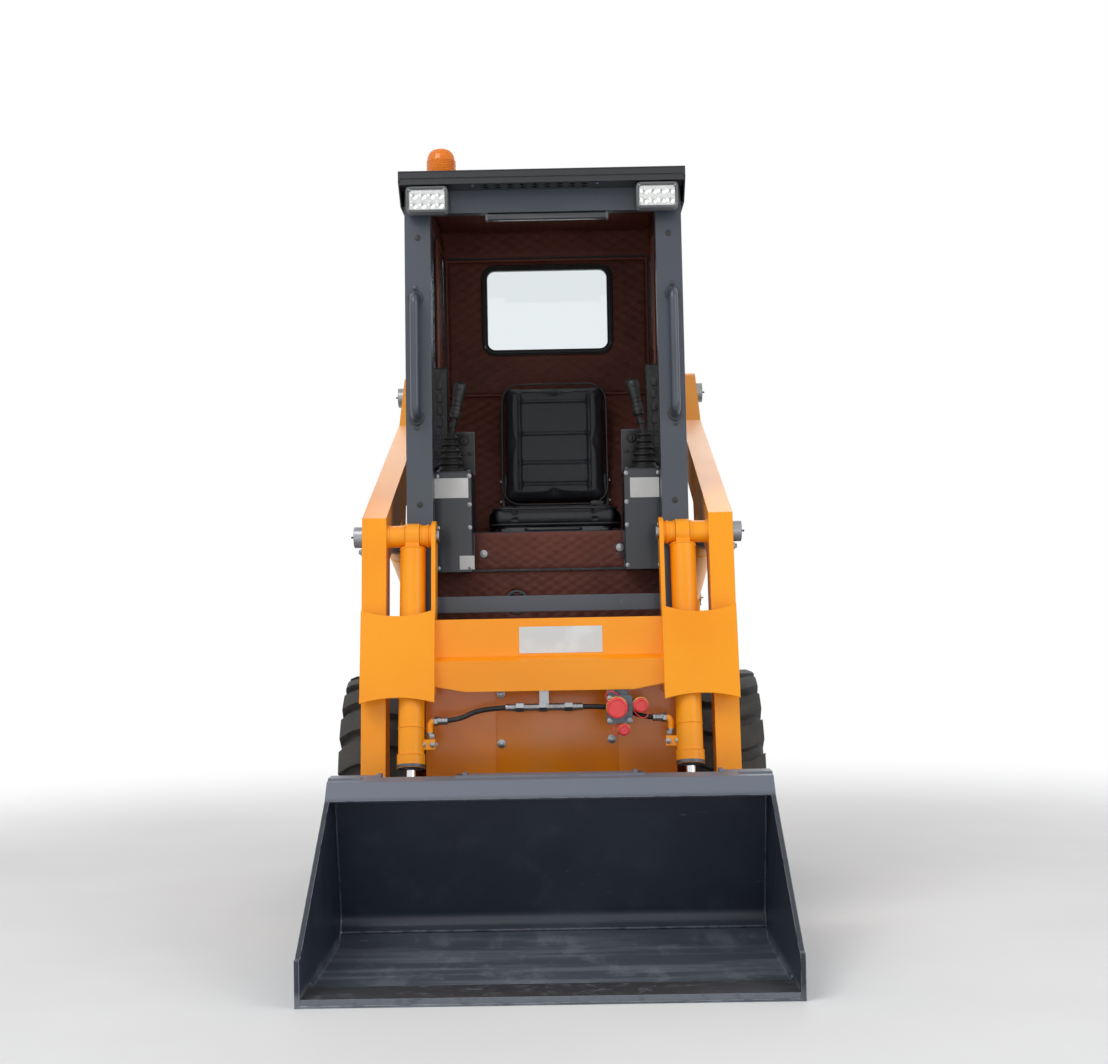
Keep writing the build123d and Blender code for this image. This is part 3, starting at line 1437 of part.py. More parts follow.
with BuildPart() as lamp_glasses:
    for hand in (1, -1):
        with BuildSketch(Plane.XZ.offset(-along(lamp_front + 3))):
            with Locations((hand * lamp_line, (lamp_low + lamp_high) / 2)):
                lamp_inset = 2 * lamp_rim + running_gap
                RectangleRounded(lamp_width - lamp_inset, lamp_high - lamp_low - lamp_inset, 7)
        extrude(amount=-lamp_glass)
lamp_glasses.part.label = "lamp_glasses"
export_step(lamp_glasses.part, "parts/lamp_glasses.step")

# Beacon: a low base and a domed amber cap on the roof.
beacon_place = (-301, along(1200))
beacon_profile = [(0, 0), (50, 0), (50, 14), (44, 20), (44, 78), (38, 96), (26, 108), (0, 112)]
with BuildPart() as beacon:
    centre = (*beacon_place, roof_top)
    with BuildSketch(Plane(origin=centre, x_dir=(1, 0, 0), z_dir=(0, -1, 0))):
        with BuildLine():
            Polyline(*beacon_profile, close=True)
        make_face()
    revolve(axis=Axis(centre, (0, 0, 1)))
beacon.part.label = "beacon"
export_step(beacon.part, "parts/beacon.step")

# Coupler: a block with three capped hydraulic couplings, hung from the cross member's tube.
# Each seat row: the cap's place, the seat's radius, then the web's middle and size.
coupler_left = 154
coupler_right = 224
coupler_low = 563
coupler_high = 641
coupler_front = 784
coupler_rear = 814
coupler_plate = 8
coupler_foot = 862
coupler_caps_rows = (((182, 608), 27, 30), ((246, 614), 18.5, 24), ((200, 549), 15, 24))
coupler_seats = (((246, 614), 20, (214, 614), (60, 24)), ((200, 549), 17, (200, 560), (24, 24)))
with BuildPart() as coupler_block:
    with BuildSketch(Plane.YZ.offset(coupler_left + 4)):
        with BuildLine():
            coupler_back, shelf = coupler_rear + coupler_plate, tube_low - coupler_plate
            Polyline(*side([
                (coupler_rear - 1, coupler_low), (coupler_back, coupler_low), (coupler_back, shelf),
                (coupler_foot, shelf), (coupler_foot, tube_low), (coupler_rear - 1, tube_low),
            ]), close=True)
        make_face()
    extrude(amount=coupler_right - coupler_left - 14)
    with BuildSketch(Plane.XZ.offset(-along(coupler_front))):
        with Locations(((coupler_left + coupler_right) / 2, (coupler_low + coupler_high) / 2)):
            RectangleRounded(coupler_right - coupler_left, coupler_high - coupler_low, 8)
        for place, radius, middle, size in coupler_seats:
            with Locations(place):
                Circle(radius)
            with Locations(middle):
                Rectangle(*size)
    extrude(amount=coupler_front - coupler_rear)
coupler_block.part.label = "coupler_block"
export_step(coupler_block.part, "parts/coupler_block.step")

with BuildPart() as coupler_caps:
    for place, radius, depth in coupler_caps_rows:
        with BuildSketch(Plane.XZ.offset(-along(coupler_front))):
            with Locations(place):
                Circle(radius)
        extrude(amount=depth)
coupler_caps.part.label = "coupler_caps"
export_step(coupler_caps.part, "parts/coupler_caps.step")

# Hoses: one each side from the tilt barrel's elbow to a steel coupling under the tube.
hose_radius = 7
joint_line = (845, 608)
joint_left = -98
joint_right = 66
joint_radius = 10
nut_length = 22
joint_clip = (26, 14)
hose_rows = (("left", joint_right, 190, 252, elbow_end), ("right", joint_left, -190, -252, -elbow_end))
for name, start, turn, settle, end in hose_rows:
    points = [
        (start, along(joint_line[0]), joint_line[1]), (turn, along(joint_line[0]), joint_line[1]),
        (settle, along(hose_line[0]), hose_line[1]), (end, along(hose_line[0]), hose_line[1]),
    ]
    radii = []
    for before, at, after in zip(points, points[1:], points[2:]):
        run_in, run_out = Vector(*at) - Vector(*before), Vector(*after) - Vector(*at)
        half_turn = radians(run_in.get_angle(run_out)) / 2
        radii.append(0.45 * min(run_in.length, run_out.length) * cos(half_turn) / sin(half_turn))
    with BuildPart() as hose:
        with BuildLine() as hose_path:
            FilletPolyline(*points, radius=tuple(radii))
        with BuildSketch(Plane(origin=points[0], x_dir=(0, 1, 0), z_dir=(1 if end > start else -1, 0, 0))):
            Circle(hose_radius)
        sweep(path=hose_path.line)
    hose.part.label = f"hose_{name}"
    export_step(hose.part, f"parts/hose_{name}.step")

with BuildPart() as hose_joint:
    with BuildSketch(pin_plane(joint_line, joint_left, joint_right)):
        Circle(joint_radius)
    extrude(amount=joint_right - joint_left)
    for start in (joint_left + 4, joint_right - nut_length - 4, (joint_left + joint_right) / 2 - 14):
        with BuildSketch(pin_plane(joint_line, start, start + nut_length)):
            RegularPolygon(joint_radius + 4, 6)
        extrude(amount=nut_length)
    with BuildSketch(Plane.XY.offset(joint_line[1])):
        with Locations(((joint_left + joint_right) / 2, along(joint_line[0]))):
            Rectangle(*joint_clip)
    extrude(amount=tube_low - joint_line[1])
hose_joint.part.label = "hose_joint"
export_step(hose_joint.part, "parts/hose_joint.step")
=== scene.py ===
"""Dress the compact skid steer loader and set it in a plain pale studio.

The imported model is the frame. Each sub-assembly is a class that builds the detail round its
solids and gives them their finishes. Sizes are in millimetres as on the machine: across it
(the driver's left is positive), behind the bucket's lip, and above the ground.
"""
from __future__ import annotations

import json
import logging
import math
from dataclasses import dataclass, field
from enum import Enum
from typing import Callable, Iterable, Sequence

import bmesh
import bpy
from mathutils import Matrix, Vector, noise

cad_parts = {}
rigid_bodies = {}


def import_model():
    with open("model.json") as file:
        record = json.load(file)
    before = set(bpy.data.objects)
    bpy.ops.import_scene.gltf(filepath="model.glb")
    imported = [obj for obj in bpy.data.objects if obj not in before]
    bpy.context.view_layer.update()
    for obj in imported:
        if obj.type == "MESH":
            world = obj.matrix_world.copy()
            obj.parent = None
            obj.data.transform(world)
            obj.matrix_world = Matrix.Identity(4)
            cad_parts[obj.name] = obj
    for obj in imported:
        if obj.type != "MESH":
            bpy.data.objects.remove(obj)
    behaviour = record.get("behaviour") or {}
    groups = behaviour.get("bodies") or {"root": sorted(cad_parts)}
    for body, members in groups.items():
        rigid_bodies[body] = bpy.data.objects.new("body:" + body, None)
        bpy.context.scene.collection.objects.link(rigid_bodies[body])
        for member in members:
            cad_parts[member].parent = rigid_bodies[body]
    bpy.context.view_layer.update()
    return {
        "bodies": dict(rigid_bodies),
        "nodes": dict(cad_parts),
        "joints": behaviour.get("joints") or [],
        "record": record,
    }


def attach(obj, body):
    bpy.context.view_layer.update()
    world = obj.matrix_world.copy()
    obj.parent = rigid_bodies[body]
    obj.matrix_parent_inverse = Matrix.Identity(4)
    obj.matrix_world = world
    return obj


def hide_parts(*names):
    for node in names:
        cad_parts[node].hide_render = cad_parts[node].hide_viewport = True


LOG = logging.getLogger("loader")
MM = 0.001  # metres
LENGTH = 2600.0  # overall, in millimetres; the frame's origin is at its middle
Colour = tuple[float, float, float, float]
Press = Callable[[Vector, Vector], Vector]
Outline = Callable[[float, float], float]
CHASSIS = "chassis"
BOOM = "boom"
BUCKET = "bucket"
ACROSS = Vector((1, 0, 0)).freeze()
FRONT = Vector((0, -1, 0)).freeze()
REAR = Vector((0, 1, 0)).freeze()
UP = Vector((0, 0, 1)).freeze()

# Pins and axles as (millimetres behind the bucket's lip, height)
ARM_PIN = (940, 1086)
PIVOT_PIN = (2250, 1625)
TILT_EYE = (733, 300)
HITCH_PIN = (808, 185)
LIFT_BASE = (2290, 890)
LIFT_TIP = (1440, 1110)
FRONT_AXLE = 1270
REAR_AXLE = 2050
AXLE_HEIGHT = 340

# Faces that pieces sit on, in millimetres
ROOF_TOP = 2138
CONSOLE_FACE = 1180
COUPLER_FACE = 784
COVER_FACE = 944
DOOR_FACE = 2489
DOOR_MIDDLE = 826

# Turned profiles as (radius, distance) in millimetres
NIPPLE = ((0, 0), (4.5, 0), (4.5, 3), (2.6, 4), (2.6, 6), (3.4, 8), (2.2, 10.5), (0, 10.5))


class Hand(Enum):
    """A side of the machine, as the driver sees it."""

    LEFT = 1
    RIGHT = -1


def spot(across: float, behind: float, height: float) -> Vector:
    """Give a point in metres in the shared frame.

    Args:
        across: millimetres towards the driver's left.
        behind: millimetres behind the bucket's lip.
        height: millimetres above the ground.

    Returns:
        The point as a vector.
    """
    return Vector((across, behind - LENGTH / 2, height)) * MM


def linear(red: float, green: float, blue: float) -> Colour:
    """Turn display values from 0 to 255 into a linear colour."""
    def one(value: float) -> float:
        """Turn one display value into a linear one."""
        share = value / 255
        return share / 12.92 if share <= 0.04045 else ((share + 0.055) / 1.055) ** 2.4

    return (one(red), one(green), one(blue), 1.0)


# Shader maths ---------------------------------------------------------------------------


@dataclass(frozen=True)
class Wire:
    """A shader socket that takes part in Python expressions."""

    graph: "Graph"
    socket: bpy.types.NodeSocket

    def _maths(self, operation: str, *values: "Wire | float") -> "Wire":
        """Add one Math node."""
        return self.graph.add("ShaderNodeMath", {"operation": operation}, dict(enumerate(values)))

    def __add__(self, other: "Wire | float") -> "Wire":
        """Add."""
        return self._maths("ADD", self, other)

    __radd__ = __add__

    def __mul__(self, other: "Wire | float") -> "Wire":
        """Multiply."""
        return self._maths("MULTIPLY", self, other)

    __rmul__ = __mul__

    def __sub__(self, other: "Wire | float") -> "Wire":
        """Subtract."""
        return self._maths("SUBTRACT", self, other)

    def __rsub__(self, other: float) -> "Wire":
        """Subtract from a number."""
        return self._maths("SUBTRACT", other, self)

    def __truediv__(self, other: "Wire | float") -> "Wire":
        """Divide."""
        return self._maths("DIVIDE", self, other)

    def __abs__(self) -> "Wire":
        """Absolute value."""
        return self._maths("ABSOLUTE", self)

    def fraction(self) -> "Wire":
        """Fractional part."""
        return self._maths("FRACT", self)

    def least(self, other: "Wire | float") -> "Wire":
        """Smaller of two values."""
        return self._maths("MINIMUM", self, other)

    def between(self, low: float, high: float) -> "Wire":
        """Rise smoothly from 0 at low to 1 at high."""
        return self.graph.add(
            "ShaderNodeMapRange", {"interpolation_type": "SMOOTHSTEP"},
            {"Value": self, "From Min": low, "From Max": high},
        )


class Graph:
    """The node tree of one material."""

    def __init__(self, name: str) -> None:
        """Start an empty tree."""
        self.material = bpy.data.materials.new(name)
        self.material.use_nodes = True
        self.tree = self.material.node_tree
        self.tree.nodes.clear()

    def add(
        self, kind: str, settings: dict | None = None, inputs: dict | None = None, output: int | str = 0
    ) -> Wire:
        """Add a node.

        Args:
            kind: the node's type name.
            settings: its own properties, and "stops" for a ramp, set before its sockets.
            inputs: values or wires by socket name or number.
            output: which of its outputs to return.

        Returns:
            The chosen output as a wire.
        """
        node = self.tree.nodes.new(kind)
        for key, value in (settings or {}).items():
            if key == "stops":
                ramp = node.color_ramp
                for number, (place, colour) in enumerate(value):
                    stop = ramp.elements[number] if number < 2 else ramp.elements.new(place)
                    stop.position, stop.color = place, colour
            else:
                setattr(node, key, value)
        for key, value in (inputs or {}).items():
            if isinstance(value, Wire):
                self.tree.links.new(value.socket, node.inputs[key])
            else:
                node.inputs[key].default_value = value
        return Wire(self, node.outputs[output])

    def place(self, stretch: Sequence[float] = (1, 1, 1)) -> Wire:
        """Object coordinates, stretched."""
        here = self.add("ShaderNodeTexCoord", output="Object")
        return self.add("ShaderNodeMapping", inputs={"Vector": here, "Scale": tuple(stretch)})

    def split(self, vector: Wire) -> tuple[Wire, Wire, Wire]:
        """The three parts of a vector."""
        node = self.tree.nodes.new("ShaderNodeSeparateXYZ")
        self.tree.links.new(vector.socket, node.inputs[0])
        return tuple(Wire(self, output) for output in node.outputs)

    def noise(
        self, scale: float, detail: float = 4, stretch: Sequence[float] = (1, 1, 1), rough: float = 0.5
    ) -> Wire:
        """Fractal noise on the object's own coordinates."""
        return self.add(
            "ShaderNodeTexNoise",
            inputs={"Vector": self.place(stretch), "Scale": scale, "Detail": detail, "Roughness": rough}
        )

    def mix(self, factor: Wire | float, first: Wire | tuple, second: Wire | tuple) -> Wire:
        """Blend two colours."""
        return self.add("ShaderNodeMix", {"data_type": "RGBA"}, {0: factor, 6: first, 7: second}, 2)

    def bump(self, height: Wire, depth: float, normal: Wire | None = None) -> Wire:
        """Turn a height into a normal."""
        inputs = {"Height": height, "Distance": depth, "Strength": 1.0}
        if normal is not None:
            inputs["Normal"] = normal
        return self.add("ShaderNodeBump", inputs=inputs)

    def soft_edge(self, radius: float) -> Wire:
        """Normal rounded over the solid's edges."""
        return self.add("ShaderNodeBevel", {"samples": 4}, {"Radius": radius})

    def edge_mask(self, normal: Wire) -> Wire:
        """How far a rounded normal turns from the face's own, from 0 to about 0.3."""
        flat = self.add("ShaderNodeNewGeometry", output="True Normal")
        return 1.0 - self.add(
            "ShaderNodeVectorMath", {"operation": "DOT_PRODUCT"}, {0: normal, 1: flat}, "Value"
        )

    def surface(self, fade: Wire | None = None, **sockets: Wire | float | tuple) -> bpy.types.Material:
        """Close the tree with a Principled shader.

        Args:
            fade: share of plain white light that takes the shader's place, if any.
            sockets: the shader's values by name, with _ for a space.

        Returns:
            The finished material.
        """
        shader = self.add(
            "ShaderNodeBsdfPrincipled",
            inputs={key.replace("_", " "): value for key, value in sockets.items()}
        )
        if fade is not None:
            white = self.add("ShaderNodeEmission", inputs={"Strength": 1.0})
            shader = self.add("ShaderNodeMixShader", inputs={0: fade, 1: shader, 2: white})
        self.add_output(shader)
        return self.material

    def add_output(self, shader: Wire) -> None:
        """Send a shader to the material's output."""
        node = self.tree.nodes.new("ShaderNodeOutputMaterial")
        self.tree.links.new(shader.socket, node.inputs["Surface"])


# Finishes -------------------------------------------------------------------------------

DUST = linear(150, 138, 120)
CHALK = linear(112, 108, 102)
LINT = linear(92, 88, 84)


@dataclass(frozen=True)
class Finish:
    """What every finish shares: its name, and a material made once."""

    name: str

    def material(self) -> bpy.types.Material:
        """Build the material."""
        raise NotImplementedError


@dataclass(frozen=True)
class Paint(Finish):
    """Sprayed paint on steel: orange peel, edges lighter from wear and from a painted highlight, fine
    scratches, dust low down.
    """

    colour: Colour
    tone: Colour
    # worn: lighter colour of scratches and worn edges; on the edges it is partly a painted highlight.
    worn: Colour
    roughness: float = 0.32
    peel: float = 0.00022
    edge_wear_and_highlight: float = 0.5
    scuffs: float = 0.15
    dust: float = 0.25
    dust_top: float = 0.9
    coat: float = 0.25
    edge_radius: float = 0.0025
    gloss: float = 0.5

    def material(self) -> bpy.types.Material:
        """Build the material."""
        g = Graph(self.name)
        rounded = g.soft_edge(self.edge_radius)
        patches = g.noise(2.6, 3)
        colour = g.mix(patches.between(0.38, 0.66), self.colour, self.tone)
        breakup = g.noise(38, 6, rough=0.65)
        # Edges lighten in patches: partly wear, partly a painted highlight on rounded edges.
        edge = (g.edge_mask(rounded) * 9.0).between(0.25, 0.85) * breakup.between(0.44, 0.60) * self.edge_wear_and_highlight
        scratch = g.noise(
            26, 5, (1, 9, 1)
        ).between(0.66, 0.72) * g.noise(4, 2).between(0.5, 0.62) * self.scuffs
        wear_and_highlight = (edge + scratch).least(1.0)
        colour = g.mix(wear_and_highlight, colour, self.worn)
        height = g.split(g.place())[2]
        low = (
            1.0 - (height / self.dust_top).between(0.1, 1.0)
        ) * g.noise(9, 6, rough=0.6).between(0.42, 0.72) * self.dust
        colour = g.mix(low, colour, DUST)
        peel = g.noise(420, 2)
        normal = g.bump(peel, self.peel, rounded)
        rough = self.roughness + patches * 0.10 - 0.05 + low * 0.35 + wear_and_highlight * 0.15
        return g.surface(
            Base_Color=colour, Roughness=rough, Metallic=wear_and_highlight * 0.35, Normal=normal, Coat_Weight=self.coat,
            Coat_Roughness=0.12, Specular_IOR_Level=self.gloss
        )


@dataclass(frozen=True)
class BucketPaint(Finish):
    """Slate paint that the load has rubbed: bright scrapes on the floor and along the edges, and a lighter
    band on the lip as a painted sky reflection.
    """

    colour: Colour = linear(24, 33, 46)
    tone: Colour = linear(34, 44, 59)
    rubbed: Colour = linear(122, 128, 136)
    bare: Colour = linear(170, 174, 180)
    dust: Colour = linear(112, 114, 118)
    # Lighter slate of the lip's band: a painted sky reflection, not a colour of the paint.
    lip: Colour = linear(112, 119, 132)
    floor_end: float = -0.70
    lip_start: float = -0.80
    lip_low: float = 0.39

    def material(self) -> bpy.types.Material:
        """Build the material."""
        g = Graph(self.name)
        rounded = g.soft_edge(0.003)
        _, along, height = g.split(g.place())
        patches = g.noise(3.2, 4)
        colour = g.mix(patches.between(0.35, 0.7), self.colour, self.tone)
        floor = (1.0 - (height / 0.03).between(0.5, 1.4)) * (
            1.0 - (along - self.floor_end).between(0.0, 0.12)
        )
        drag = g.noise(14, 7, (0.10, 1.0, 1.0), 0.62)
        swirl = g.noise(6.5, 8, (1.3, 0.8, 1), 0.7)
        rubbed = floor * (0.30 + drag.between(0.44, 0.62) * 0.45 + swirl.between(0.50, 0.62) * 0.35)
        colour = g.mix(rubbed.least(1.0), colour, self.rubbed)
        scrape = g.noise(30, 6, (0.5, 5, 5), 0.6).between(0.68, 0.73) * g.noise(5, 3).between(0.48, 0.6)
        edge = (g.edge_mask(rounded) * 9.0).between(0.2, 0.7) * g.noise(24, 5).between(0.36, 0.52)
        bare = (scrape * 0.45 + edge * 0.9).least(1.0)
        colour = g.mix(bare, colour, self.bare)
        dust = g.noise(11, 7, rough=0.62).between(0.50, 0.75) * 0.08
        colour = g.mix(dust, colour, self.dust)
        # Painted sky reflection: a lighter band on the lip's faces past lip_start and above lip_low.
        past = along - self.lip_start
        lip = past.between(0.0, 0.02) * (
            1.0 - past.between(0.14, 0.16)
        ) * (height - self.lip_low).between(0.0, 0.01)
        colour = g.mix(lip * 0.8, colour, self.lip)
        grain = g.noise(160, 4) * 0.5 + drag * 0.8
        normal = g.bump(grain, 0.00045, rounded)
        rough = 0.40 + dust * 0.8 + patches * 0.12 - rubbed * 0.12
        return g.surface(
            Base_Color=colour, Roughness=rough, Metallic=bare * 0.6, Normal=normal, Coat_Weight=0.08,
            Coat_Roughness=0.2
        )


@dataclass(frozen=True)
class Metal(Finish):
    """Bare or plated steel with a fine grain and a few stains."""

    colour: Colour
    stain: Colour
    roughness: float = 0.3
    grain: float = 0.0001
    stains: float = 0.3
    stretch: tuple[float, float, float] = (1, 1, 1)

    def material(self) -> bpy.types.Material:
        """Build the material."""
        g = Graph(self.name)
        rounded = g.soft_edge(0.0012)
        stain = g.noise(34, 6, rough=0.65).between(0.52, 0.72) * self.stains
        colour = g.mix(stain, self.colour, self.stain)
        brushed = g.noise(260, 3, self.stretch)
        normal = g.bump(brushed, self.grain, rounded)
        return g.surface(
            Base_Color=colour, Roughness=self.roughness + stain * 0.5 + brushed * 0.08,
            Metallic=1.0 - stain * 0.5, Normal=normal
        )


@dataclass(frozen=True)
class Rubber(Finish):
    """Tyre or hose rubber: fine grain, chalky dust in the hollows."""

    colour: Colour
    dust: float = 0.3
    grain_scale: float = 220.0
    grain: float = 0.0005
    roughness: float = 0.62

    def material(self) -> bpy.types.Material:
        """Build the material."""
        g = Graph(self.name)
        rounded = g.soft_edge(0.002)
        dust = g.noise(7, 8, rough=0.68).between(0.40, 0.72) * self.dust
        scuff = (g.edge_mask(rounded) * 8.0).between(0.2, 0.9) * g.noise(50, 5).between(0.4, 0.6) * self.dust
        colour = g.mix((dust + scuff).least(1.0), self.colour, CHALK)
        normal = g.bump(g.noise(self.grain_scale, 5), self.grain, rounded)
        return g.surface(
            Base_Color=colour, Roughness=self.roughness + dust * 0.5, Normal=normal, Specular_IOR_Level=0.35
        )


@dataclass(frozen=True)
class Moulded(Finish):
    """Moulded plastic with a fine spark-eroded grain."""

    colour: Colour
    roughness: float = 0.42
    grain: float = 0.00018
    coat: float = 0.0

    def material(self) -> bpy.types.Material:
        """Build the material."""
        g = Graph(self.name)
        rounded = g.soft_edge(0.0012)
        cloud = g.noise(9, 5)
        faded = tuple(min(1.0, part * 1.25 + 0.012) for part in self.colour[:3]) + (1.0,)
        colour = g.mix(cloud.between(0.42, 0.7) * 0.6, self.colour, faded)
        normal = g.bump(g.noise(520, 3), self.grain, rounded)
        return g.surface(
            Base_Color=colour, Roughness=self.roughness + cloud * 0.12, Normal=normal, Coat_Weight=self.coat
        )


@dataclass(frozen=True)
class Vinyl(Finish):
    """Seat vinyl: pebbled grain, a soft sheen, slight creases."""

    colour: Colour
    roughness: float = 0.36

    def material(self) -> bpy.types.Material:
        """Build the material."""
        g = Graph(self.name)
        cells = g.add(
            "ShaderNodeTexVoronoi", {"feature": "DISTANCE_TO_EDGE"}, {"Vector": g.place(), "Scale": 520.0}
        )
        crease = g.noise(28, 6, (1, 0.5, 1), 0.7)
        dust = g.noise(12, 6).between(0.55, 0.8) * 0.12
        colour = g.mix(dust, self.colour, LINT)
        height = cells.between(0.0, 0.22) * 0.5 + crease * 1.2
        normal = g.bump(height, 0.0006)
        return g.surface(
            Base_Color=colour, Roughness=self.roughness + crease * 0.14 + dust, Normal=normal,
            Coat_Weight=0.15, Coat_Roughness=0.25
        )


@dataclass(frozen=True)
class Quilting(Finish):
    """Brown quilted leatherette: a diamond of stitches on the panel's own map."""

    colour: Colour
    thread: Colour
    pitch: tuple[float, float] = (0.057, 0.034)

    def material(self) -> bpy.types.Material:
        """Build the material."""
        g = Graph(self.name)
        u, v, _ = g.split(g.add("ShaderNodeTexCoord", output="UV"))
        first, second = u / self.pitch[0] + v / self.pitch[1], u / self.pitch[0] - v / self.pitch[1]
        near = abs(first.fraction() - 0.5)
        far = abs(second.fraction() - 0.5)
        line_a, line_b = near.between(0.455, 0.485), far.between(0.455, 0.485)
        dash_a, dash_b = (
            (second * 9.0).fraction().between(0.25, 0.4), (first * 9.0).fraction().between(0.25, 0.4)
        )
        thread = (line_a * dash_a + line_b * dash_b).least(1.0)
        dirt = g.noise(6, 7, rough=0.65)
        base = g.mix(
            dirt.between(0.40, 0.72), self.colour, tuple(part * 0.62 for part in self.colour[:3]) + (1.0,)
        )
        colour = g.mix(thread * 0.55, base, self.thread)
        cells = g.add(
            "ShaderNodeTexVoronoi", {"feature": "DISTANCE_TO_EDGE"}, {"Vector": g.place(), "Scale": 420.0}
        )
        normal = g.bump(cells.between(0.0, 0.25) * 0.5 + thread * 0.7 - (line_a + line_b) * 0.4, 0.0006)
        return g.surface(
            Base_Color=colour, Roughness=0.46 + dirt * 0.18, Normal=normal, Specular_IOR_Level=0.4
        )


@dataclass(frozen=True)
class Clear(Finish):
    """Glass or clear plastic."""

    tint: Colour
    roughness: float = 0.02
    weight: float = 0.95

    def material(self) -> bpy.types.Material:
        """Build the material."""
        g = Graph(self.name)
        film = g.noise(5, 7, rough=0.7).between(0.45, 0.85)
        return g.surface(
            Base_Color=self.tint, Roughness=self.roughness + film * 0.05, Transmission_Weight=self.weight,
            IOR=1.45
        )


class Shelf:
    """Every finish of the machine, each material made once."""

    ORANGE = Paint(
        "orange_paint", linear(252, 160, 14), linear(248, 150, 10), linear(255, 196, 96), roughness=0.38,
        edge_wear_and_highlight=0.3, scuffs=0.05, dust=0.10, coat=0.12, gloss=0.3
    )
    # Painted shade: the front cover's yellow paint, darker and browner than the arms', for the shade the
    # cover sits in.
    SHADED_COVER = Paint(
        "shaded_cover_paint", linear(236, 134, 8), linear(228, 124, 8), linear(250, 180, 80), edge_wear_and_highlight=0.3,
        scuffs=0.08, dust=0.25
    )
    # Painted shade: a copy of the cab's paint, darker than the black paint, for the roof's shaded front.
    SHADED_ROOF = Paint(
        "shaded_roof_paint", linear(20, 22, 28), linear(16, 18, 24), linear(84, 90, 98), roughness=0.4, dust=0.12,
        dust_top=0.5
    )
    NAVY = Paint(
        "navy_paint", linear(26, 31, 42), linear(20, 25, 35), linear(92, 98, 108), roughness=0.4, dust=0.1,
        scuffs=0.08
    )
    SLATE = Paint(
        "slate_paint", linear(58, 65, 76), linear(50, 57, 68), linear(128, 136, 146), roughness=0.36,
        dust=0.18, scuffs=0.12
    )
    RIM = Paint(
        "rim_paint", linear(52, 58, 68), linear(44, 50, 60), linear(120, 126, 134), roughness=0.4,
        dust=0.35, dust_top=0.7, scuffs=0.2
    )
    BLACK = Paint(
        "black_paint", linear(34, 38, 44), linear(28, 31, 36), linear(96, 102, 108), roughness=0.4,
        dust=0.2, dust_top=0.6
    )
    BUCKET = BucketPaint("bucket_paint")
    EDGE = Metal("worn_steel", linear(112, 117, 125), linear(78, 80, 84), 0.34, 0.0004, 0.5, (0.3, 6, 6))
    ZINC = Metal("zinc_plate", linear(150, 152, 155), linear(120, 112, 98), 0.30, 0.0001, 0.35)
    CHROME = Metal("chrome_rod", linear(222, 224, 228), linear(150, 148, 144), 0.10, 0.00003, 0.12)
    DARK_STEEL = Metal("dark_steel", linear(92, 98, 106), linear(64, 60, 56), 0.42, 0.0002, 0.5)
    BRASS = Metal("brass", linear(206, 168, 96), linear(120, 92, 50), 0.28, 0.0001, 0.3)
    TYRE = Rubber("tyre_rubber", linear(58, 60, 60), 0.42)
    HOSE = Rubber("hose_rubber", linear(26, 26, 28), 0.2, 500.0, 0.0003, 0.5)
    SEAL = Rubber("seal_rubber", linear(22, 22, 24), 0.1, 400.0, 0.0002, 0.5)
    PLASTIC = Moulded("black_plastic", linear(26, 27, 29))
    GREY = Moulded("lamp_housing", linear(96, 98, 100), 0.5)
    RED = Moulded("red_plastic", linear(214, 44, 48), 0.34, 0.0001, 0.2)
    WHITE = Moulded("blank_label", linear(206, 206, 204), 0.4, 0.00005)
    VINYL = Vinyl("seat_vinyl", linear(26, 29, 36))
    QUILT = Quilting("quilted_leatherette", linear(98, 46, 33), linear(120, 66, 50))
    PIPING = Vinyl("seat_piping", linear(30, 30, 33), 0.30)
    BEACON_INNER = Moulded("beacon_inner", linear(240, 150, 40), 0.35, 0.00005, 0.2)
    WELT = Vinyl("brown_welt", linear(118, 60, 44), 0.45)
    GLASS = Clear("window_glass", (0.86, 0.92, 0.94, 1.0))
    LENS = Clear("lamp_glass", (0.96, 0.97, 0.98, 1.0))
    AMBER = Clear("amber_dome", linear(255, 148, 10), 0.10, 0.40)
    DIFFUSER = Moulded("lamp_diffuser", linear(54, 56, 60), 0.3, 0.00005, 0.3)
    REFLECTOR = Metal("reflector", linear(236, 236, 232), linear(200, 200, 196), 0.16, 0.00002, 0.1)
    IRON = Metal("engine_iron", linear(70, 70, 72), linear(48, 42, 36), 0.6, 0.0008, 0.6)

    SLOTS = {
        "amber_dome": "amber",
        "beacon_inner": "amber",
        "black_paint": "black_steel",
        "brass": "steel",
        "bucket_paint": "bucket_paint",
        "shaded_cover_paint": "yellow_paint",
        "dark_steel": "steel",
        "lamp_diffuser": "glass",
        "lamp_housing": "black_plastic",
        "engine_iron": "engine",
        "navy_paint": "cab_paint",
        "orange_paint": "yellow_paint",
        "seat_piping": "seat_vinyl",
        "black_plastic": "black_plastic",
        "red_plastic": "red_cap",
        "reflector": "glass",
        "rim_paint": "yellow_paint",
        "shaded_roof_paint": "cab_paint",
        "seal_rubber": "black_plastic",
        "slate_paint": "cab_paint",
        "tyre_rubber": "tyre",
        "brown_welt": "quilt",
        "blank_label": "bucket_paint",
        "zinc_plate": "steel",
    }

    _made: dict[str, bpy.types.Material] = {}

    @classmethod
    def take(cls, finish: Finish) -> bpy.types.Material:
        """Give a finish's material, made at its first use."""
        if finish.name not in cls._made:
            cls._made[finish.name] = finish.material()
        return cls._made[finish.name]


# Meshes ---------------------------------------------------------------------------------


def linked(name: str, data: bpy.types.ID) -> bpy.types.Object:
    """Make an object of its data and link it to the scene."""
    made = bpy.data.objects.new(name, data)
    bpy.context.scene.collection.objects.link(made)
    return made


def meshed(name: str, mesh: bmesh.types.BMesh, finish: Finish, angle: float) -> bpy.types.Object:
    """Turn a bmesh into a smooth object in its finish; edges above the angle stay sharp."""
    data = bpy.data.meshes.new(name)
    mesh.to_mesh(data)
    mesh.free()
    data.shade_smooth()
    data.set_sharp_from_angle(angle=math.radians(angle))
    data.materials.append(Shelf.take(finish))
    return linked(name, data)


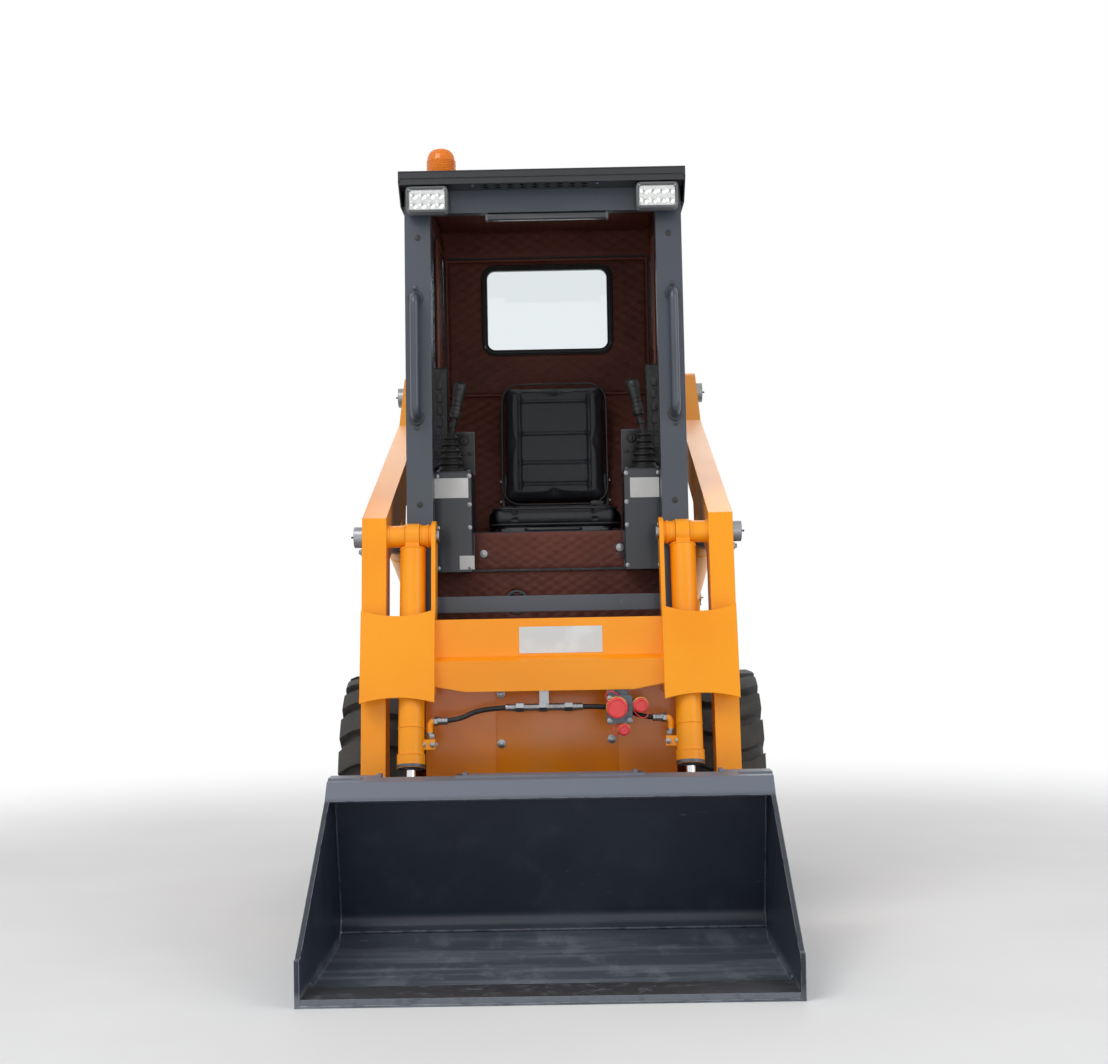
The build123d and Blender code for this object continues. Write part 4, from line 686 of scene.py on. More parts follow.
class Shape:
    """A mesh that grows from bmesh operators and becomes one piece of the machine."""

    def __init__(self) -> None:
        """Start empty."""
        self.mesh = bmesh.new()

    def block(
        self, size: Sequence[float], centre: Vector, bevel: float = 1.0, segments: int = 2,
        turn: Matrix | None = None
    ) -> "Shape":
        """Add a box with rounded edges, its size and bevel in millimetres."""
        pose = Matrix.Translation(centre) @ (turn or Matrix.Identity(4)) @ Matrix.Diagonal(
            (*(part * MM for part in size), 1)
        )
        made = bmesh.ops.create_cube(self.mesh, size=1.0, matrix=pose)
        if bevel:
            self._round({edge for vert in made["verts"] for edge in vert.link_edges}, bevel, segments)
        return self

    def _round(self, edges: Iterable[bmesh.types.BMEdge], bevel: float, segments: int) -> None:
        """Bevel edges by a width in millimetres."""
        bmesh.ops.bevel(
            self.mesh, geom=list(edges), offset=bevel * MM, offset_type="OFFSET", segments=segments,
            profile=0.5, affect="EDGES", clamp_overlap=True, material=-1
        )

    def rod(
        self, start: Vector, end: Vector, radius: float, sides: int = 32, bevel: float = 0.0,
    ) -> "Shape":
        """Add a cylinder or prism from start to end, its radius in millimetres."""
        line = end - start
        pose = Matrix.Translation((start + end) / 2) @ line.to_track_quat("Z", "Y").to_matrix().to_4x4()
        made = bmesh.ops.create_cone(
            self.mesh, cap_ends=True, cap_tris=False, segments=sides, radius1=radius * MM,
            radius2=radius * MM, depth=line.length, matrix=pose,
        )
        if bevel:
            edges = {edge for vert in made["verts"] for edge in vert.link_edges}
            caps = [
                edge
                for edge in edges if any(len(face.verts) == sides and sides > 4 for face in edge.link_faces)
            ]
            self._round(caps, bevel, 2)
        return self

    def turned(
        self, profile: Sequence[tuple[float, float]], origin: Vector, axis: Vector, steps: int = 48
    ) -> "Shape":
        """Spin a profile of (radius, distance) pairs in millimetres round an axis."""
        axis = axis.normalized()
        out = axis.orthogonal().normalized()
        verts = [
            self.mesh.verts.new(origin + (out * radius + axis * distance) * MM) for radius,
            distance in profile
        ]
        edges = [self.mesh.edges.new(pair) for pair in zip(verts, verts[1:])]
        made = bmesh.ops.spin(
            self.mesh, geom=[*verts, *edges], cent=origin, axis=axis, angle=math.tau, steps=steps,
            use_merge=True, use_duplicate=False
        )
        last = {item for item in made["geom_last"] if isinstance(item, bmesh.types.BMVert)}
        touched = {
            vert for first in verts if first.is_valid for vert in self._island(first)
        } | {v for v in last if v.is_valid}
        bmesh.ops.remove_doubles(self.mesh, verts=list(touched), dist=1e-6)
        return self

    def ring(
        self, profile: Sequence[tuple[float, float]], origin: Vector, axis: Vector, steps: int = 48
    ) -> "Shape":
        """Spin a closed profile, which ends where it starts."""
        return self.turned([*profile, profile[0]], origin, axis, steps)

    @staticmethod
    def _island(start: bmesh.types.BMVert) -> set[bmesh.types.BMVert]:
        """Every vertex joined to one."""
        seen, queue = {start}, [start]
        while queue:
            for edge in queue.pop().link_edges:
                for vert in edge.verts:
                    if vert not in seen:
                        seen.add(vert)
                        queue.append(vert)
        return seen

    def line(
        self, points: Sequence[Vector], radius: float, smooth: bool = True, flat: float = 0.0
    ) -> "Shape":
        """Add a tube, bead or strap along points.

        Args:
            points: where it runs, in metres.
            radius: its radius in millimetres.
            smooth: True for a smooth line through the run, False for straight runs.
            flat: half the width of a flat strap in millimetres, or 0 for a round line.

        Returns:
            This shape.
        """
        data = bpy.data.curves.new("line", "CURVE")
        data.dimensions = "3D"
        data.bevel_depth = radius * MM
        data.extrude = flat * MM
        data.bevel_resolution = 4
        data.use_fill_caps = True
        spline = data.splines.new("NURBS" if smooth else "POLY")
        spline.points.add(len(points) - 1)
        for number, point in enumerate(points):
            spline.points[number].co = (*point, 1.0)
        if smooth:
            spline.order_u = 3
            spline.use_endpoint_u = True
            spline.resolution_u = 6
        holder = bpy.data.objects.new("line", data)
        mesh = bpy.data.meshes.new_from_object(holder)
        self.mesh.from_mesh(mesh)
        bpy.data.objects.remove(holder)
        bpy.data.curves.remove(data)
        bpy.data.meshes.remove(mesh)
        return self

    def straight(self, points: Sequence[Vector], radius: float) -> "Shape":
        """Add a tube along straight runs."""
        return self.line(points, radius, smooth=False)

    def bead(self, points: Sequence[Vector], radius: float, step: float = 8.0) -> "Shape":
        """Add a weld bead along straight runs."""
        return self.straight(wavy(points, step), radius)

    def plate(
        self, outline: Sequence[tuple[float, float]], across: float, thick: float, bevel: float = 1.0
    ) -> "Shape":
        """Add an upright plate whose outline is pairs (behind the lip, height).

        Args:
            outline: corners of the plate, in millimetres.
            across: middle of the plate across the machine.
            thick: thickness.
            bevel: width of its rounded edges.

        Returns:
            This shape.
        """
        face = self.mesh.faces.new(
            [self.mesh.verts.new(spot(across - thick / 2, *corner)) for corner in outline]
        )
        made = bmesh.ops.extrude_face_region(self.mesh, geom=[face], use_keep_orig=True)["geom"]
        moved = [item for item in made if isinstance(item, bmesh.types.BMVert)]
        bmesh.ops.translate(self.mesh, verts=moved, vec=(thick * MM, 0, 0))
        island = self._island(moved[0])
        faces = list({item for vert in island for item in vert.link_faces})
        bmesh.ops.recalc_face_normals(self.mesh, faces=faces)
        self._round({edge for item in faces for edge in item.edges}, bevel, 2)
        return self

    def bolt(self, place: Vector, axis: Vector, across: float = 13.0, washer: bool = True) -> "Shape":
        """Add a hexagon head with a washer; across is its size over the flats in millimetres."""
        axis = axis.normalized()
        low = place
        if washer:
            self.rod(low, low + axis * 2 * MM, across * 0.95, sides=28, bevel=0.4)
            low = low + axis * 2 * MM
        self.rod(low, low + axis * across * 0.55 * MM, across * 0.577, sides=6, bevel=0.8)
        return self

    def mirrored(self) -> "Shape":
        """Add a copy of everything on the other side of the machine."""
        made = bmesh.ops.duplicate(self.mesh, geom=[*self.mesh.verts, *self.mesh.edges, *self.mesh.faces])
        verts = [item for item in made["geom"] if isinstance(item, bmesh.types.BMVert)]
        faces = [item for item in made["geom"] if isinstance(item, bmesh.types.BMFace)]
        bmesh.ops.transform(self.mesh, matrix=Matrix.Diagonal((-1, 1, 1, 1)), verts=verts)
        bmesh.ops.reverse_faces(self.mesh, faces=faces)
        return self

    def piece(
        self, name: str, finish: Finish, body: str = CHASSIS, slot: str = "", angle: float = 35.0,
        replaces: Sequence[str] = ()
    ) -> bpy.types.Object:
        """Make the shape a piece of the machine.

        Args:
            name: the piece's plain name.
            finish: its finish from the shelf.
            body: the body it moves with.
            slot: not used; meant for the record's material slot that it matches.
            angle: edges sharper than this stay sharp, in degrees.
            replaces: solids that it stands for.

        Returns:
            The new object.
        """
        bmesh.ops.recalc_face_normals(self.mesh, faces=self.mesh.faces)
        return settle(
            meshed(name, self.mesh, finish, angle), body, replaces
        )


def settle(made: bpy.types.Object, body: str, replaces: Sequence[str] = ()) -> bpy.types.Object:
    """Let a piece ride on its body and the solids that it stands for."""
    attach(made, body)
    if replaces:
        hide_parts(*replaces)
    LOG.info("piece %s on %s", made.name, body)
    return made


@dataclass
class Assembly:
    """A sub-assembly of the machine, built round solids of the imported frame."""

    frame: dict

    def dress(self, finish: Finish, *nodes: str) -> None:
        """Give solids of the frame a finish."""
        for name in nodes:
            data = self.frame["nodes"][name].data
            data.materials.clear()
            data.materials.append(Shelf.take(finish))


@dataclass
class QuiltPanel:
    """A padded leatherette panel with diamonds sewn through it.

    Its map is in metres, so that the material's thread follows the sewn lines.
    """

    name: str
    centre: Vector
    right: Vector
    up: Vector
    width: float
    height: float
    thick: float = 10.0
    puff: float = 5.0
    cell: float = 7.5
    pitch: tuple[float, float] = (57.0, 34.0)
    keep: Outline | None = None

    def margin(self, across: float, high: float) -> float:
        """Distance in millimetres from a point of the panel in to its nearest edge."""
        edge = min(self.width / 2 - abs(across), self.height / 2 - abs(high))
        return min(edge, self.keep(across, high)) if self.keep else edge

    def crown(self, across: float, high: float) -> float:
        """Height of the padding in millimetres at a point of the panel."""
        first = across / self.pitch[0] + high / self.pitch[1]
        second = across / self.pitch[0] - high / self.pitch[1]
        dome = abs(math.sin(math.pi * first) * math.sin(math.pi * second)) ** 0.5
        fall = max(0.0, min(1.0, self.margin(across, high) / 9.0)) ** 0.5
        return self.puff * (0.25 + 0.75 * dome) * fall

    def build(self) -> bpy.types.Object:
        """Grow the panel from a grid, cut it to its outline and pad its face."""
        mesh = bmesh.new()
        columns, rows = round(self.width / self.cell), round(self.height / self.cell)
        bmesh.ops.create_grid(
            mesh, x_segments=columns, y_segments=rows, size=0.5,
            matrix=Matrix.Diagonal((self.width, self.height, 1, 1))
        )
        if self.keep:
            outside = [face for face in mesh.faces if self.keep(*face.calc_center_median().xy) < 0]
            bmesh.ops.delete(mesh, geom=outside, context="FACES")
            self._snap([vert for vert in mesh.verts if vert.is_boundary])
        front = list(mesh.verts)
        made = bmesh.ops.extrude_face_region(mesh, geom=list(mesh.faces), use_keep_orig=True)
        back = [item for item in made["geom"] if isinstance(item, bmesh.types.BMVert)]
        bmesh.ops.translate(mesh, verts=back, vec=(0, 0, -self.thick))
        layer = mesh.loops.layers.uv.new("panel")
        for face in mesh.faces:
            for loop in face.loops:
                loop[layer].uv = loop.vert.co.xy * MM
        for vert in front:
            vert.co.z += self.crown(vert.co.x, vert.co.y)
        bmesh.ops.recalc_face_normals(mesh, faces=mesh.faces)
        out = self.right.cross(self.up)
        pose = Matrix((self.right, self.up, out)).transposed().to_4x4()
        pose.translation = self.centre
        bmesh.ops.transform(mesh, matrix=pose @ Matrix.Scale(MM, 4), verts=mesh.verts)
        return meshed(self.name, mesh, Shelf.QUILT, 60)

    def _snap(self, rim: list[bmesh.types.BMVert]) -> None:
        """Draw the cut's ragged edge on to the outline."""
        for vert in rim:
            for _ in range(4):
                across, high = vert.co.xy
                gap = self.keep(across, high)
                if abs(gap) > 1.2 * self.cell or abs(gap) < 0.01:
                    break
                slope = Vector((self.keep(across + 0.5, high) - gap, self.keep(across, high + 0.5) - gap)) * 2
                if slope.length < 0.1:
                    break
                step = slope.normalized() * -gap
                vert.co.x += step.x
                vert.co.y += step.y


@dataclass
class Pad:
    """A cushion blown up by a cloth simulation, with channels pressed in after it."""

    name: str
    start: Shape
    frame_box: tuple[Vector, Vector]
    presses: list[Press] = field(default_factory=list)
    pose: Matrix = field(default_factory=lambda: Matrix.Identity(4))
    cap: float = 12.0
    voxel: float = 6.0
    pressure: float = 4.0
    inset: float = 0.6

    def build(self) -> bpy.types.Object:
        """Remesh, inflate and cap the start shape, then press its channels."""
        data = bpy.data.meshes.new(self.name)
        bmesh.ops.recalc_face_normals(self.start.mesh, faces=self.start.mesh.faces)
        self.start.mesh.to_mesh(data)
        self.start.mesh.free()
        made = linked(self.name, data)
        remesh = made.modifiers.new("remesh", "REMESH")
        remesh.mode = "VOXEL"
        remesh.voxel_size = self.voxel * MM
        self._apply(made)
        self._inflate(made)
        divide = made.modifiers.new("divide", "SUBSURF")
        divide.levels = divide.render_levels = 1
        self._apply(made)
        self._press(made)
        made.data.transform(self.pose)
        made.data.shade_smooth()
        return made

    @staticmethod
    def _apply(made: bpy.types.Object) -> None:
        """Bake the piece's modifiers into its mesh."""
        graph = bpy.context.evaluated_depsgraph_get()
        baked = bpy.data.meshes.new_from_object(made.evaluated_get(graph))
        old = made.data
        made.modifiers.clear()
        made.data = baked
        bpy.data.meshes.remove(old)

    def _inflate(self, made: bpy.types.Object) -> None:
        """Run the cloth for twenty frames and cap how far a point moves."""
        rest = [vert.co.copy() for vert in made.data.vertices]
        cloth = made.modifiers.new("cloth", "CLOTH")
        cloth.settings.use_pressure = True
        cloth.settings.uniform_pressure_force = self.pressure
        cloth.settings.effector_weights.gravity = 0
        cloth.settings.quality = 5
        cloth.collision_settings.use_collision = False
        scene = bpy.context.scene
        for number in range(1, 21):
            scene.frame_set(number)
        graph = bpy.context.evaluated_depsgraph_get()
        blown = made.evaluated_get(graph).data
        ends = [vert.co.copy() for vert in blown.vertices]
        made.modifiers.clear()
        scene.frame_set(1)
        for vert, old, new in zip(made.data.vertices, rest, ends):
            move = new - old
            if move.length > self.cap * MM:
                move *= self.cap * MM / move.length
            vert.co = old + move

    def _press(self, made: bpy.types.Object) -> None:
        """Keep the pad in its solid's box and press its channels."""
        low, high = self.frame_box
        margin = self.inset * MM
        normals = [vert.normal.copy() for vert in made.data.vertices]
        for vert, normal in zip(made.data.vertices, normals):
            place = vert.co.copy()
            for press in self.presses:
                place = press(place, normal)
            vert.co = Vector(tuple(max(low[i] + margin, min(high[i] - margin, place[i])) for i in range(3)))
        made.data.update()


def rounded_hole(centre: tuple[float, float], width: float, height: float, radius: float) -> Outline:
    """Distance in millimetres outside a rounded rectangle.

    Args:
        centre: its middle on the panel.
        width: its full width.
        height: its full height.
        radius: its corner radius.

    Returns:
        A function of a place on the panel, negative inside the hole.
    """
    def distance(across: float, high: float) -> float:
        """Signed distance from the hole's edge."""
        out_x = abs(across - centre[0]) - width / 2 + radius
        out_y = abs(high - centre[1]) - height / 2 + radius
        return math.hypot(max(out_x, 0), max(out_y, 0)) + min(max(out_x, out_y), 0) - radius

    return distance


# Sub-assemblies -------------------------------------------------------------------------


@dataclass
class Studio:
    """Camera, floor, backdrop and lights."""

    camera_place: Vector = field(default_factory=lambda: Vector((0.0664, -5.16599, 0.9378)))
    yaw: float = -0.010
    pitch: float = -0.032
    roll: float = -0.018
    lens: float = 55.571

    def build(self) -> None:
        """Set the whole studio up."""
        self._camera()
        self._floor()
        self._world()
        self._lamp("key", (-2.6, -3.8, 5.4), 3.0, 130)
        self._lamp("fill", (4.0, -3.6, 3.4), 3.0, 58)
        self._lamp("back", (0.5, 5.0, 4.5), 3.5, 80)
        self._lamp("front_low", (0.0, -5.5, 1.2), 2.2, 16)

    def _camera(self) -> None:
        """Place the camera at the photograph's angle."""
        ahead = Vector(
            (
                math.sin(self.yaw) * math.cos(self.pitch), math.cos(self.yaw) * math.cos(self.pitch),
                -math.sin(self.pitch)
            )
        )
        flat = Vector((math.cos(self.yaw), -math.sin(self.yaw), 0))
        rise = flat.cross(ahead)
        right = flat * math.cos(self.roll) + rise * math.sin(self.roll)
        above = rise * math.cos(self.roll) - flat * math.sin(self.roll)
        data = bpy.data.cameras.new("camera")
        data.lens = self.lens
        data.sensor_width = 36.0
        data.sensor_fit = "HORIZONTAL"
        data.clip_end = 200.0
        camera = linked("camera", data)
        pose = Matrix((right, above, -ahead)).transposed().to_4x4()
        pose.translation = self.camera_place
        camera.matrix_world = pose
        bpy.context.scene.camera = camera

    def _floor(self) -> None:
        """Lay a wide pale floor that keeps the machine's shadow."""
        mesh = bmesh.new()
        bmesh.ops.create_circle(mesh, cap_ends=True, segments=96, radius=60.0)
        data = bpy.data.meshes.new("floor")
        mesh.to_mesh(data)
        mesh.free()
        g = Graph("floor")
        tone = g.noise(1.2, 3).between(0.3, 0.7)
        away = g.add("ShaderNodeVectorMath", {"operation": "LENGTH"}, {0: g.place()}, "Value")
        data.materials.append(
            g.surface(
                away.between(2.0, 4.4),
                Base_Color=g.mix(tone, (0.84, 0.84, 0.83, 1), (0.88, 0.88, 0.87, 1)), Roughness=0.7,
                Specular_IOR_Level=0.2
            )
        )
        floor = linked("floor", data)

    def _world(self) -> None:
        """Give a soft surround, white where the camera or a reflection sees it."""
        world = bpy.data.worlds.new("studio")
        bpy.context.scene.world = world
        world.use_nodes = True
        tree = world.node_tree
        tree.nodes.clear()
        out = tree.nodes.new("ShaderNodeOutputWorld")
        blend = tree.nodes.new("ShaderNodeMixShader")
        soft, white = tree.nodes.new("ShaderNodeBackground"), tree.nodes.new("ShaderNodeBackground")
        soft.inputs["Color"].default_value = (0.94, 0.96, 1.0, 1)
        soft.inputs["Strength"].default_value = 0.52
        white.inputs["Strength"].default_value = 1.0
        white.inputs["Color"].default_value = (1, 1, 1, 1)
        path = tree.nodes.new("ShaderNodeLightPath")
        first, second = tree.nodes.new("ShaderNodeMath"), tree.nodes.new("ShaderNodeMath")
        first.operation = second.operation = "ADD"
        second.use_clamp = True
        tree.links.new(path.outputs["Is Camera Ray"], first.inputs[0])
        tree.links.new(path.outputs["Is Glossy Ray"], first.inputs[1])
        tree.links.new(first.outputs[0], second.inputs[0])
        tree.links.new(path.outputs["Is Transmission Ray"], second.inputs[1])
        tree.links.new(second.outputs[0], blend.inputs["Fac"])
        tree.links.new(soft.outputs[0], blend.inputs[1])
        tree.links.new(white.outputs[0], blend.inputs[2])
        tree.links.new(blend.outputs[0], out.inputs["Surface"])
        bpy.context.scene.view_settings.view_transform = "Standard"

    @staticmethod
    def _lamp(name: str, place: tuple[float, float, float], size: float, power: float) -> None:
        """Hang one soft lamp that faces the cab."""
        data = bpy.data.lights.new(name, "AREA")
        data.energy = power
        data.size = size
        lamp = linked(name, data)
        lamp.location = place
        lamp.rotation_euler = (Vector((0, 0, 1.1)) - Vector(place)).to_track_quat("-Z", "Y").to_euler()


@dataclass
class Hoses(Assembly):
    """The two pressure hoses under the cross member, with their couplings."""

    radius: float = 7.0
    routes: dict[str, tuple[tuple[float, float, float], ...]] = field(default_factory=lambda: {
        "left": ((66, 845, 608), (190, 845, 608), (252, 815, 577), (304, 815, 577)),
        "right": ((-98, 845, 608), (-190, 845, 608), (-252, 815, 577), (-304, 815, 577)),
    })
    lengths: dict[str, float] = field(default_factory=lambda: {"left": 0.243, "right": 0.211})

    def build(self) -> None:
        """Lay both hoses with a crimped ferrule at each end."""
        for side, route in self.routes.items():
            points = [spot(*point) for point in route]
            data = bpy.data.curves.new(f"hose_{side}_line", "CURVE")
            data.dimensions = "3D"
            data.bevel_depth = self.radius * MM
            data.bevel_resolution = 6
            data.use_fill_caps = True
            spline = data.splines.new("NURBS")
            spline.points.add(len(points) - 1)
            for number, point in enumerate(points):
                spline.points[number].co = (*point, 1.0)
            spline.order_u = 3
            spline.use_endpoint_u = True
            spline.resolution_u = 16
            data.materials.append(Shelf.take(Shelf.HOSE))
            hose = linked(f"hose_{side}_line", data)
            settle(hose, BOOM, (f"hose_{side}",))
            ends = [
                self._ferrule(side, "inner", points[0], points[1]),
                self._ferrule(side, "outer", points[-1], points[-2])
            ]

    def _ferrule(self, side: str, end: str, start: Vector, towards: Vector) -> bpy.types.Object:
        """Crimp a ribbed steel sleeve on a hose's end."""
        profile = [
            (7.2, 0), (10.6, 0), (10.6, 5), (9.6, 6), (9.6, 9), (10.6, 10), (10.6, 13), (9.6, 14),
            (9.6, 17), (10.6, 18), (10.6, 22), (9.8, 24), (7.2, 24), (7.2, 0)
        ]
        shape = Shape().turned(profile, start, towards - start, 36)
        return shape.piece(f"ferrule_{side}_{end}", Shelf.ZINC, BOOM)


@dataclass
class Bucket(Assembly):
    """The bucket: worn shell, welds, rail brackets and hitch."""

    def build(self) -> None:
        """Dress the shell and add its welds and brackets."""
        self.dress(Shelf.BUCKET, "bucket_shell", "hitch_plates")
        self.dress(Shelf.EDGE, "cutting_edge")
        self.dress(Shelf.ZINC, "bucket_pins")
        inside = [
            (140, 26), (145, 8), (380, 7), (607, 7.5), (635, 13), (658, 29.5), (678, 49.5), (686.5, 64),
            (686, 81), (640, 262), (594.5, 440)
        ]
        seams = Shape()
        for hand in (1, -1):
            seams.bead([spot(hand * 561.5, a, z) for a, z in inside], 3.6)
        seams.bead([spot(-560, 667, 37), spot(560, 667, 37)], 4.2)
        seams.bead([spot(-562, 139, 8), spot(562, 139, 8)], 3.2)
        seams.piece("bucket_seams", Shelf.BUCKET, BUCKET, angle=60)
        self._rail()
        ears = Shape()
        for line in (345, 411, 437, 531):
            pin = HITCH_PIN if line > 430 else TILT_EYE
            ears.ring([(21, 7), (30, 7), (30, 9), (27, 11), (21, 11)], spot(line, *pin), ACROSS)
        ears.mirrored().piece("ear_collars", Shelf.BUCKET, BUCKET)

    @staticmethod
    def _rail() -> None:
        """Lengthen the rail to its brackets and set a plate at each slot's end."""
        rail, brackets = Shape(), Shape()
        for low, high in ((228, 246), (440, 489)):
            rail.block((high - low, 45, 22), spot((low + high) / 2, 617.5, 441), 0.8)
        rail.mirrored().piece("rail_ends", Shelf.BUCKET, BUCKET)
        for across in (222, 446):
            brackets.plate([(596, 457), (644, 457), (644, 428), (614, 384), (597, 384)], across, 12, 1.4)
            for side in (across - 6.4, across + 6.4):
                brackets.bead([spot(side, 601, 430), spot(side, 612, 386)], 2.2)
        brackets.mirrored().piece("rail_brackets", Shelf.BUCKET, BUCKET)


def wavy(points: Sequence[Vector], step: float) -> list[Vector]:
    """Divide straight runs evenly, so that a weld bead can ripple along them."""
    out = [points[0]]
    for start, end in zip(points, points[1:]):
        count = max(1, round((end - start).length / (step * MM)))
        out += [start.lerp(end, number / count) for number in range(1, count + 1)]
    return out


def circle(centre: Vector, axis: Vector, radius: float, count: int = 48) -> list[Vector]:
    """Points of a closed circle, its radius in millimetres."""
    first = axis.orthogonal().normalized() * radius * MM
    return [
        centre + Matrix.Rotation(math.tau * number / count, 3, axis) @ first for number in range(count + 1)
    ]


@dataclass
class Boom(Assembly):
    """Lift arms, cross member, pins, coupler and steel coupling."""

    label_centre: tuple[float, float] = (32.5, 792.5)
    pin_face: float = 542.3
    boss_radius: float = 33.0

    def build(self) -> None:
        """Dress the boom's solids and add its welds, pin locks, label and caps."""
        self.dress(Shelf.ORANGE, "lift_arms", "cross_member")
        self.dress(Shelf.ZINC, "boom_pins", "hose_joint")
        self.dress(Shelf.DARK_STEEL, "coupler_block")
        self.dress(Shelf.RED, "coupler_caps")
        self._welds()
        self._pin_locks()
        self._label()
        self._caps()
        self._fittings()

    def _welds(self) -> None:
        """Run beads where plates and bosses meet."""
        seams = Shape()
        seams.line(circle(spot(324.4, *ARM_PIN), ACROSS, self.boss_radius, 60), 2.6)
        seams.line(circle(spot(449.6, *ARM_PIN), ACROSS, self.boss_radius, 60), 2.6)
        seams.bead(
            [
                spot(311.6, 821.6, 672), spot(311.6, 821.6, 737), spot(311.6, 845.4, 748),
                spot(311.6, 852.4, 850)
            ],
            3.0
        )
        seams.bead([spot(449.4, 884, 850), spot(449.4, 849, 664)], 2.6)
        seams.bead([spot(518.2, 1010, 1030), spot(518.2, 1990, 1366)], 2.0, 6)
        for height in (870, 650):
            lean = 775 + (height - 629) * 67 / 252
            seams.bead([spot(312, lean + 3, height), spot(326, lean + 3, height)], 2.4)
        seams.mirrored().piece("boom_seams", Shelf.ORANGE, BOOM, angle=60)
        folds = Shape()
        folds.straight([spot(-311, 846.5, 748.6), spot(311, 846.5, 748.6)], 1.4)
        folds.piece("cross_fold", Shelf.ORANGE, BOOM, angle=60)

    def _pin_locks(self) -> None:
        """Bolt a keeper plate over each pin's head and fit a grease nipple."""
        locks, nipples = Shape(), Shape()
        for behind, height, radius in ((*ARM_PIN, 30), (*PIVOT_PIN, 36)):
            locks.ring(
                [(radius - 6, 0), (radius - 4, 1.4), (radius - 12, 1.4), (radius - 14, 0)],
                spot(self.pin_face - 0.2, behind, height), ACROSS
            )
            locks.block((5, 44, 16), spot(self.pin_face + 2.5 - 24, behind, height - radius - 12), 1.5)
            locks.bolt(spot(self.pin_face - 19.5, behind - 11, height - radius - 12), ACROSS, 10)
            locks.bolt(spot(self.pin_face - 19.5, behind + 11, height - radius - 12), ACROSS, 10)
            nipples.turned(NIPPLE, spot(self.pin_face, behind, height), ACROSS, 20)
        locks.mirrored().piece("pin_locks", Shelf.ZINC, BOOM)
        nipples.mirrored().piece("grease_nipples", Shelf.DARK_STEEL, BOOM)
        collars = Shape()
        for line, start, end in ((329, 333, 357.6), (424, 398.4, 447)):
            collars.ring(
                [
                    (31.3, start - line), (33.4, start - line), (33.4, start - line + 6),
                    (31.3, start - line + 6)
                ],
                spot(line, *ARM_PIN), ACROSS
            )
            collars.ring(
                [(31.3, end - line - 5), (32.6, end - line - 5), (32.6, end - line), (31.3, end - line)],
                spot(line, *ARM_PIN), ACROSS
            )
        collars.mirrored().piece("boss_collars", Shelf.ORANGE, BOOM)

    def _label(self) -> None:
        """Stick the blank label on the cross member's plate."""
        lean = Matrix.Rotation(math.atan(-7 / 104), 4, "X")
        shape = Shape().block(
            (229, 0.8, 73), spot(self.label_centre[0], 848.6, self.label_centre[1]), 0.3, 1, lean
        )
        shape.piece("cross_label", Shelf.WHITE, BOOM)

    def _caps(self) -> None:
        """Rib the red caps, tether them and seat them in collars."""
        ribs, collars, tethers = Shape(), Shape(), Shape()
        for (across, height), radius, depth in (
            ((182, 608), 27, 30), ((246, 614), 18.5, 24), ((200, 549), 15, 24)
        ):
            base = spot(across, COUPLER_FACE, height)
            ribs.ring(
                [
                    (radius - 6, depth), (radius - 4, depth + 1.4), (radius + 0.2, depth - 1),
                    (radius + 1.4, depth - 3), (radius + 1.4, depth - 9), (radius + 0.3, depth - 10)
                ],
                base, FRONT
            )
            for number in range(20):
                turn = math.tau * number / 20
                place = base + Vector(
                    (math.cos(turn) * (radius + 0.4), -(depth - 17), math.sin(turn) * (radius + 0.4))
                ) * MM
                ribs.block((1.8, 12, 3.0), place, 0.4, 1, Matrix.Rotation(-turn, 4, "Y"))
            collars.ring(
                [(radius - 2, 0), (radius + 3, 0), (radius + 3, 5), (radius + 1.5, 6.5), (radius - 2, 6.5)],
                base, FRONT
            )
        ribs.piece("cap_ribs", Shelf.RED, BOOM)
        collars.piece("cap_collars", Shelf.BRASS, BOOM)
        tethers.line(
            [
                spot(158, 766, 622), spot(148, 762, 640), spot(160, 760, 656), spot(178, 768, 650),
                spot(186, 782, 640)
            ],
            1.6
        )
        tethers.line(
            [
                spot(262, 770, 606), spot(268, 764, 590), spot(256, 762, 578), spot(238, 770, 584),
                spot(226, 782, 600)
            ],
            1.4
        )
        tethers.line(
            [
                spot(187, 772, 540), spot(176, 766, 530), spot(168, 766, 545), spot(176, 774, 560),
                spot(186, 783, 566)
            ],
            1.4
        )
        tethers.piece("cap_tethers", Shelf.RED, BOOM, angle=60)
        bolts = Shape()
        for across, height in ((162, 572), (216, 572), (162, 633)):
            bolts.bolt(spot(across, COUPLER_FACE, height), FRONT, 8)
        bolts.piece("coupler_bolts", Shelf.ZINC, BOOM)

    def _fittings(self) -> None:
        """Chamfer the couplings' nuts and thread their necks."""
        necks = Shape()
        for start in (-94, -8, 40):
            for shift in (-1.2, 22.2):
                necks.ring(
                    [(9.9, 0), (13.2, 0), (13.8, 1.2), (9.9, 1.2)], spot(start + shift - 0.6, 845, 608),
                    ACROSS
                )
        for start, end in ((-72, -34), (-4, 36)):
            for number in range(int((end - start) / 3)):
                necks.ring(
                    [(9.9, 0), (10.7, 0.7), (9.9, 1.4)], spot(start + 3 * number, 845, 608), ACROSS, 32
                )
        necks.piece("coupling_rings", Shelf.ZINC, BOOM)


@dataclass(frozen=True)
class Ram:
    """One kind of cylinder, in millimetres.

    Its line is its place across the machine; base and tip are its pins; start and length run
    along its barrel from the base pin; eye and half are its rod eye's radius and half width.
    """

    kind: str
    line: float
    base: tuple[float, float]
    tip: tuple[float, float]
    barrel: float
    rod: float
    length: float
    start: float
    eye: float
    half: float


